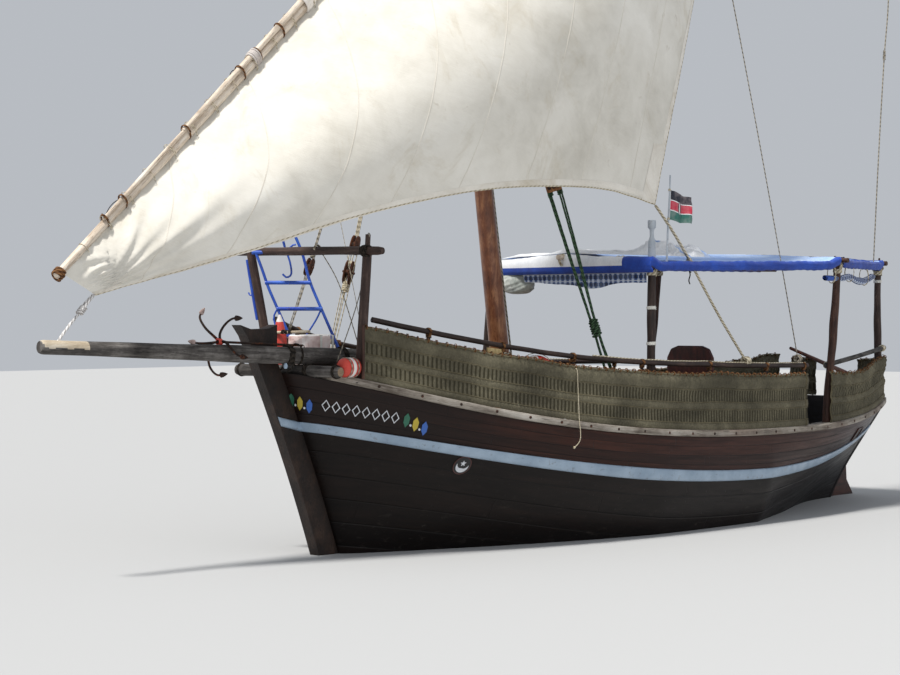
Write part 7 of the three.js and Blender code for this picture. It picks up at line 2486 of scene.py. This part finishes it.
def valance_piece():
    port, starboard = [np.array(v) for v in CROSS_LINES["awning_bow_pole"]]
    t = np.linspace(0.03, 0.965, 150)[:, None]
    v = np.linspace(0, 1, 26)[None]
    base = port + (starboard - port) * t
    depth = 0.262 + 0.06 * np.exp(-((t - 0.34) / 0.10) ** 2) - 0.02 * smooth((t - 0.55) / 0.2)
    depth = depth + 0.008 * waves(t * 9, 0, 5, 4, 1.0)
    fold = 0.014 * waves(t * 16, v * 1.2, 6, 5, 1.0) * v + 0.006 * np.sin(t * 60 + v)
    p = np.stack([base[:, 0][:, None] + 0.036 + fold - 0.02 * v, base[:, 1][:, None] + 0 * v,
                  base[:, 2][:, None] + 0.012 - depth * v], -1)
    uv = np.stack([t * 2.94 + 0 * v, v * depth], -1)
    shape = Shape()
    shape.grid(p, uv, flip=True)
    piece = shape.make("valance_cloth", "hull", [CHECK_CLOTH], slot_name="checked_cloth", angle=None)
    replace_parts(piece, "canopy_valance")
    flat, area = flat_size(p)
    ties = Shape()
    for share in (0.17, 0.195, 0.62, 0.645):
        c = port + (starboard - port) * share
        ties.coil(c + [0.012, 0, -0.02], starboard - port, 0.078, 0.0045, 2, 0.014, up=(0, 0, 1),
                  squash=(1.05, 0.75), sides=6, seed=int(share * 90))
    ties.make("valance_ties", "hull", [PALE_ROPE], slot_name="pale_rope")


valance_piece()


def heap(name, x, y, rise_of, material, seed, skew=0.0, slots=None):
    """Loose cloth lying in folds on the awning."""
    u = np.linspace(0, 1, 110)[:, None]
    v = np.linspace(0, 1, 70)[None]
    px = x[0] + (x[1] - x[0]) * u + 0.05 * waves(u * 5, v * 5, seed, 4, 1.0)
    py = y[0] + (y[1] - y[0]) * v + 0.05 * waves(u * 4, v * 6, seed + 3, 4, 1.0)
    px = px + skew * py
    edge = (np.sin(np.pi * u) * np.sin(np.pi * v)) ** 0.35
    lumps = (0.5 + 0.32 * waves(u * 4.0, v * 3.5, seed + 5, 6, 1.2)
             + 0.18 * waves(u * 9 + v * 5, v * 4, seed + 8, 5, 1.5))
    bed = ridge_line(px) + (3.166 - ridge_line(px)) * np.clip(np.abs(py - 0.08) / 1.45, 0, 1.05)
    pz = bed + 0.010 + rise_of(u, v) * np.clip(lumps, 0.05, 1.2) * edge
    p = np.stack([px, py, pz], -1)
    uv = np.stack([u * abs(x[1] - x[0]) + 0 * v, v * abs(y[1] - y[0]) + 0 * u], -1)
    shape = Shape()
    shape.grid(p, uv, flip=(x[1] - x[0]) * (y[1] - y[0]) < 0)
    if slots is not None:
        kind = slots(u[:-1], v[:, :-1]) * np.ones((len(u) - 1, v.shape[1] - 1), int)
        shape.slots = kind.astype(int).ravel().tolist()
    piece = shape.make(name, "hull", material, slot_name="canvas", angle=None)
    flat, area = flat_size(p)
    return piece


heap("awning_bundle", (1.02, -0.22), (0.78, 1.50),
     lambda u, v: 0.29 * np.sin(np.pi * np.clip(u * 1.05, 0, 1)) ** 0.6 * (0.75 + 0.25 * np.sin(np.pi * v)),
     [WHITE_CLOTH, PALE_BLUE_CLOTH], 131,
     slots=lambda u, v: (u > 0.70) | ((u > 0.40) & (u < 0.46)))
heap("awning_cover", (0.93, 0.40), (-1.12, 1.05),
     lambda u, v: 0.10 * (0.5 + 0.5 * np.sin(v * 9) ** 2), [WHITE_CLOTH], 141, skew=0.18)


def rolled_blind():
    """Side blind rolled up under the port side pole."""
    path = resample([(-2.44, 1.50, 2.965), (-2.9, 1.44, 2.965), (-3.25, 1.35, 2.99), (-3.62, 1.24, 2.945),
                     (-3.95, 1.15, 2.95), (-4.35, 1.02, 3.01)], 0.03)
    s = lengths(path)
    tangent, a, b = frames(path, (0, 0, 1))
    angle = np.linspace(0, 2.6 * 2 * math.pi, 90)
    girth = (0.052 * (1 + 0.12 * waves(s * 3, 0, 7, 5, 1.0)) * (0.85
                                                                + 0.25 * np.exp(-((s - 1.28) / 0.22) ** 2)))
    turn = 1 - 0.62 * angle / angle[-1]
    r = (girth[:, None] * turn[None] * (1 + 0.10 * waves(s[:, None] * 4, np.cos(angle)[None] * 1.5, 151, 5,
                                                         1.0)))
    p = (path[:, None] + a[:, None] * (r * np.cos(angle + 1.2))[..., None]
         + b[:, None] * (r * np.sin(angle + 1.2))[..., None])
    p += tangent[:, None] * (0.012 * np.sin(angle * 0.9))[None, :, None]
    shape = Shape()
    shape.grid(p, np.stack([s[:, None] + 0 * angle[None], lengths_across(p)], -1), flip=True)
    slots = np.ones((len(path) - 1, len(angle) - 1), int)
    slots[:6] = 0
    slots[:, 50:] = 0
    shape.slots = slots.ravel().tolist()
    piece = shape.make("blind_roll", "hull", [BLUE_CLOTH, CHECK_CLOTH], slot_name="checked_cloth", angle=None)
    flat, area = flat_size(p)
    ties = Shape()
    for share in (0.12, 0.45, 0.80):
        k = int(share * (len(path) - 1))
        ties.coil(path[k] + [0, -0.01, 0.055], tangent[k], 0.118, 0.0045, 2, 0.012, up=(0, 0, 1),
                  squash=(1.0, 0.5), sides=6, seed=k)
    ties.make("blind_ties", "hull", [PALE_ROPE], slot_name="pale_rope")


rolled_blind()


def hanging_bag():
    """Soft patterned bag slung under the awning's forward starboard corner."""
    u = np.linspace(0, math.pi, 40)[:, None]
    v = np.linspace(0, 2 * math.pi, 57)[None, :-1]
    r = np.sin(u) ** 0.75
    sag = 1 + 0.22 * np.clip(np.cos(u), -1, 0) ** 2
    x = 0.70 + 0.13 * r * np.cos(v) * sag
    y = -0.86 + 0.25 * r * np.sin(v) * sag
    z = 2.90 + 0.145 * np.cos(u) + 0 * v
    lump = 0.018 * waves(v * 2 + u, u * 2, 9, 6, 1.1) * r
    p = np.stack([x + lump * np.cos(v), y + lump * np.sin(v), z + 0.012 * waves(v, u * 3, 11, 4, 1.0) * r],
                 -1)
    shape = Shape()
    uv = np.stack([u * 0.2 + 0 * v, v * 0.2 + 0 * u], -1)
    uv = np.concatenate([uv, uv[:, :1] + [0, 0.4 * math.pi]], 1)
    shape.grid(p, uv, wrap=True)
    piece = shape.make("awning_bag", "hull", [BAG_PRINT], slot_name="wrapped_box", angle=None)
    tie = Shape()
    tie.tube(resample([(0.70, -0.86, 3.03), (0.705, -0.87, 3.07), (0.725, -0.90, 3.125)], 0.02), 0.006, 8)
    tie.coil((0.74, -0.89, 3.118), (0.65 - 1.184, -2.885, 0), 0.036, 0.005, 3, 0.012, up=(0, 0, 1), sides=7,
             seed=3)
    tie.tube(resample([(0.45, 1.50, 3.03), (0.44, 1.515, 2.97), (0.445, 1.50, 2.90), (0.43, 1.505, 2.86)],
                      0.02), 0.007, 8)
    tie.tube(resample([(0.45, 1.47, 3.06), (0.45, 1.52, 3.03), (0.445, 1.53, 2.99)], 0.02), 0.006, 8)
    tie.make("awning_loose_ties", "hull", [DARK_ROPE], slot_name="green_rope")


hanging_bag()


# Floor at the waterline, pale surroundings and soft light
floor_mesh = bpy.data.meshes.new("floor")
floor_mesh.from_pydata([(-60, -60, 0), (60, -60, 0), (60, 60, 0), (-60, 60, 0)], [], [(0, 1, 2, 3)])
floor = bpy.data.objects.new("floor", floor_mesh)
bpy.context.scene.collection.objects.link(floor)
g = Graph("floor")
floor_mesh.materials.append(g.finish((0.44, 0.445, 0.45), 0.9, Specular_IOR_Level=0.1))

world = bpy.data.worlds.new("world")
world.use_nodes = True
world.node_tree.nodes["Background"].inputs[0].default_value = (0.80, 0.84, 0.90, 1.0)
world.node_tree.nodes["Background"].inputs[1].default_value = 0.6
bpy.context.scene.world = world


def area(name, place, target, power, size, colour=(1, 1, 1)):
    data = bpy.data.lights.new(name, "AREA")
    data.energy = power
    data.size = size
    data.color = colour
    lamp = bpy.data.objects.new(name, data)
    lamp.location = place
    lamp.rotation_euler = (Vector(target) - Vector(place)).to_track_quat("-Z", "Y").to_euler()
    bpy.context.scene.collection.objects.link(lamp)


sun = bpy.data.lights.new("sun", "SUN")
sun.energy = 4.2
sun.angle = math.radians(7)
sun.color = (1.0, 0.97, 0.92)
sun_lamp = bpy.data.objects.new("sun", sun)
sun_lamp.rotation_euler = (-Vector((0.45, 0.01, 0.89))).to_track_quat("-Z", "Y").to_euler()
bpy.context.scene.collection.objects.link(sun_lamp)
area("fill", (8, 18, 9), (0, 0, 2.5), 420, 12)

bpy.context.scene.view_settings.view_transform = "Standard"
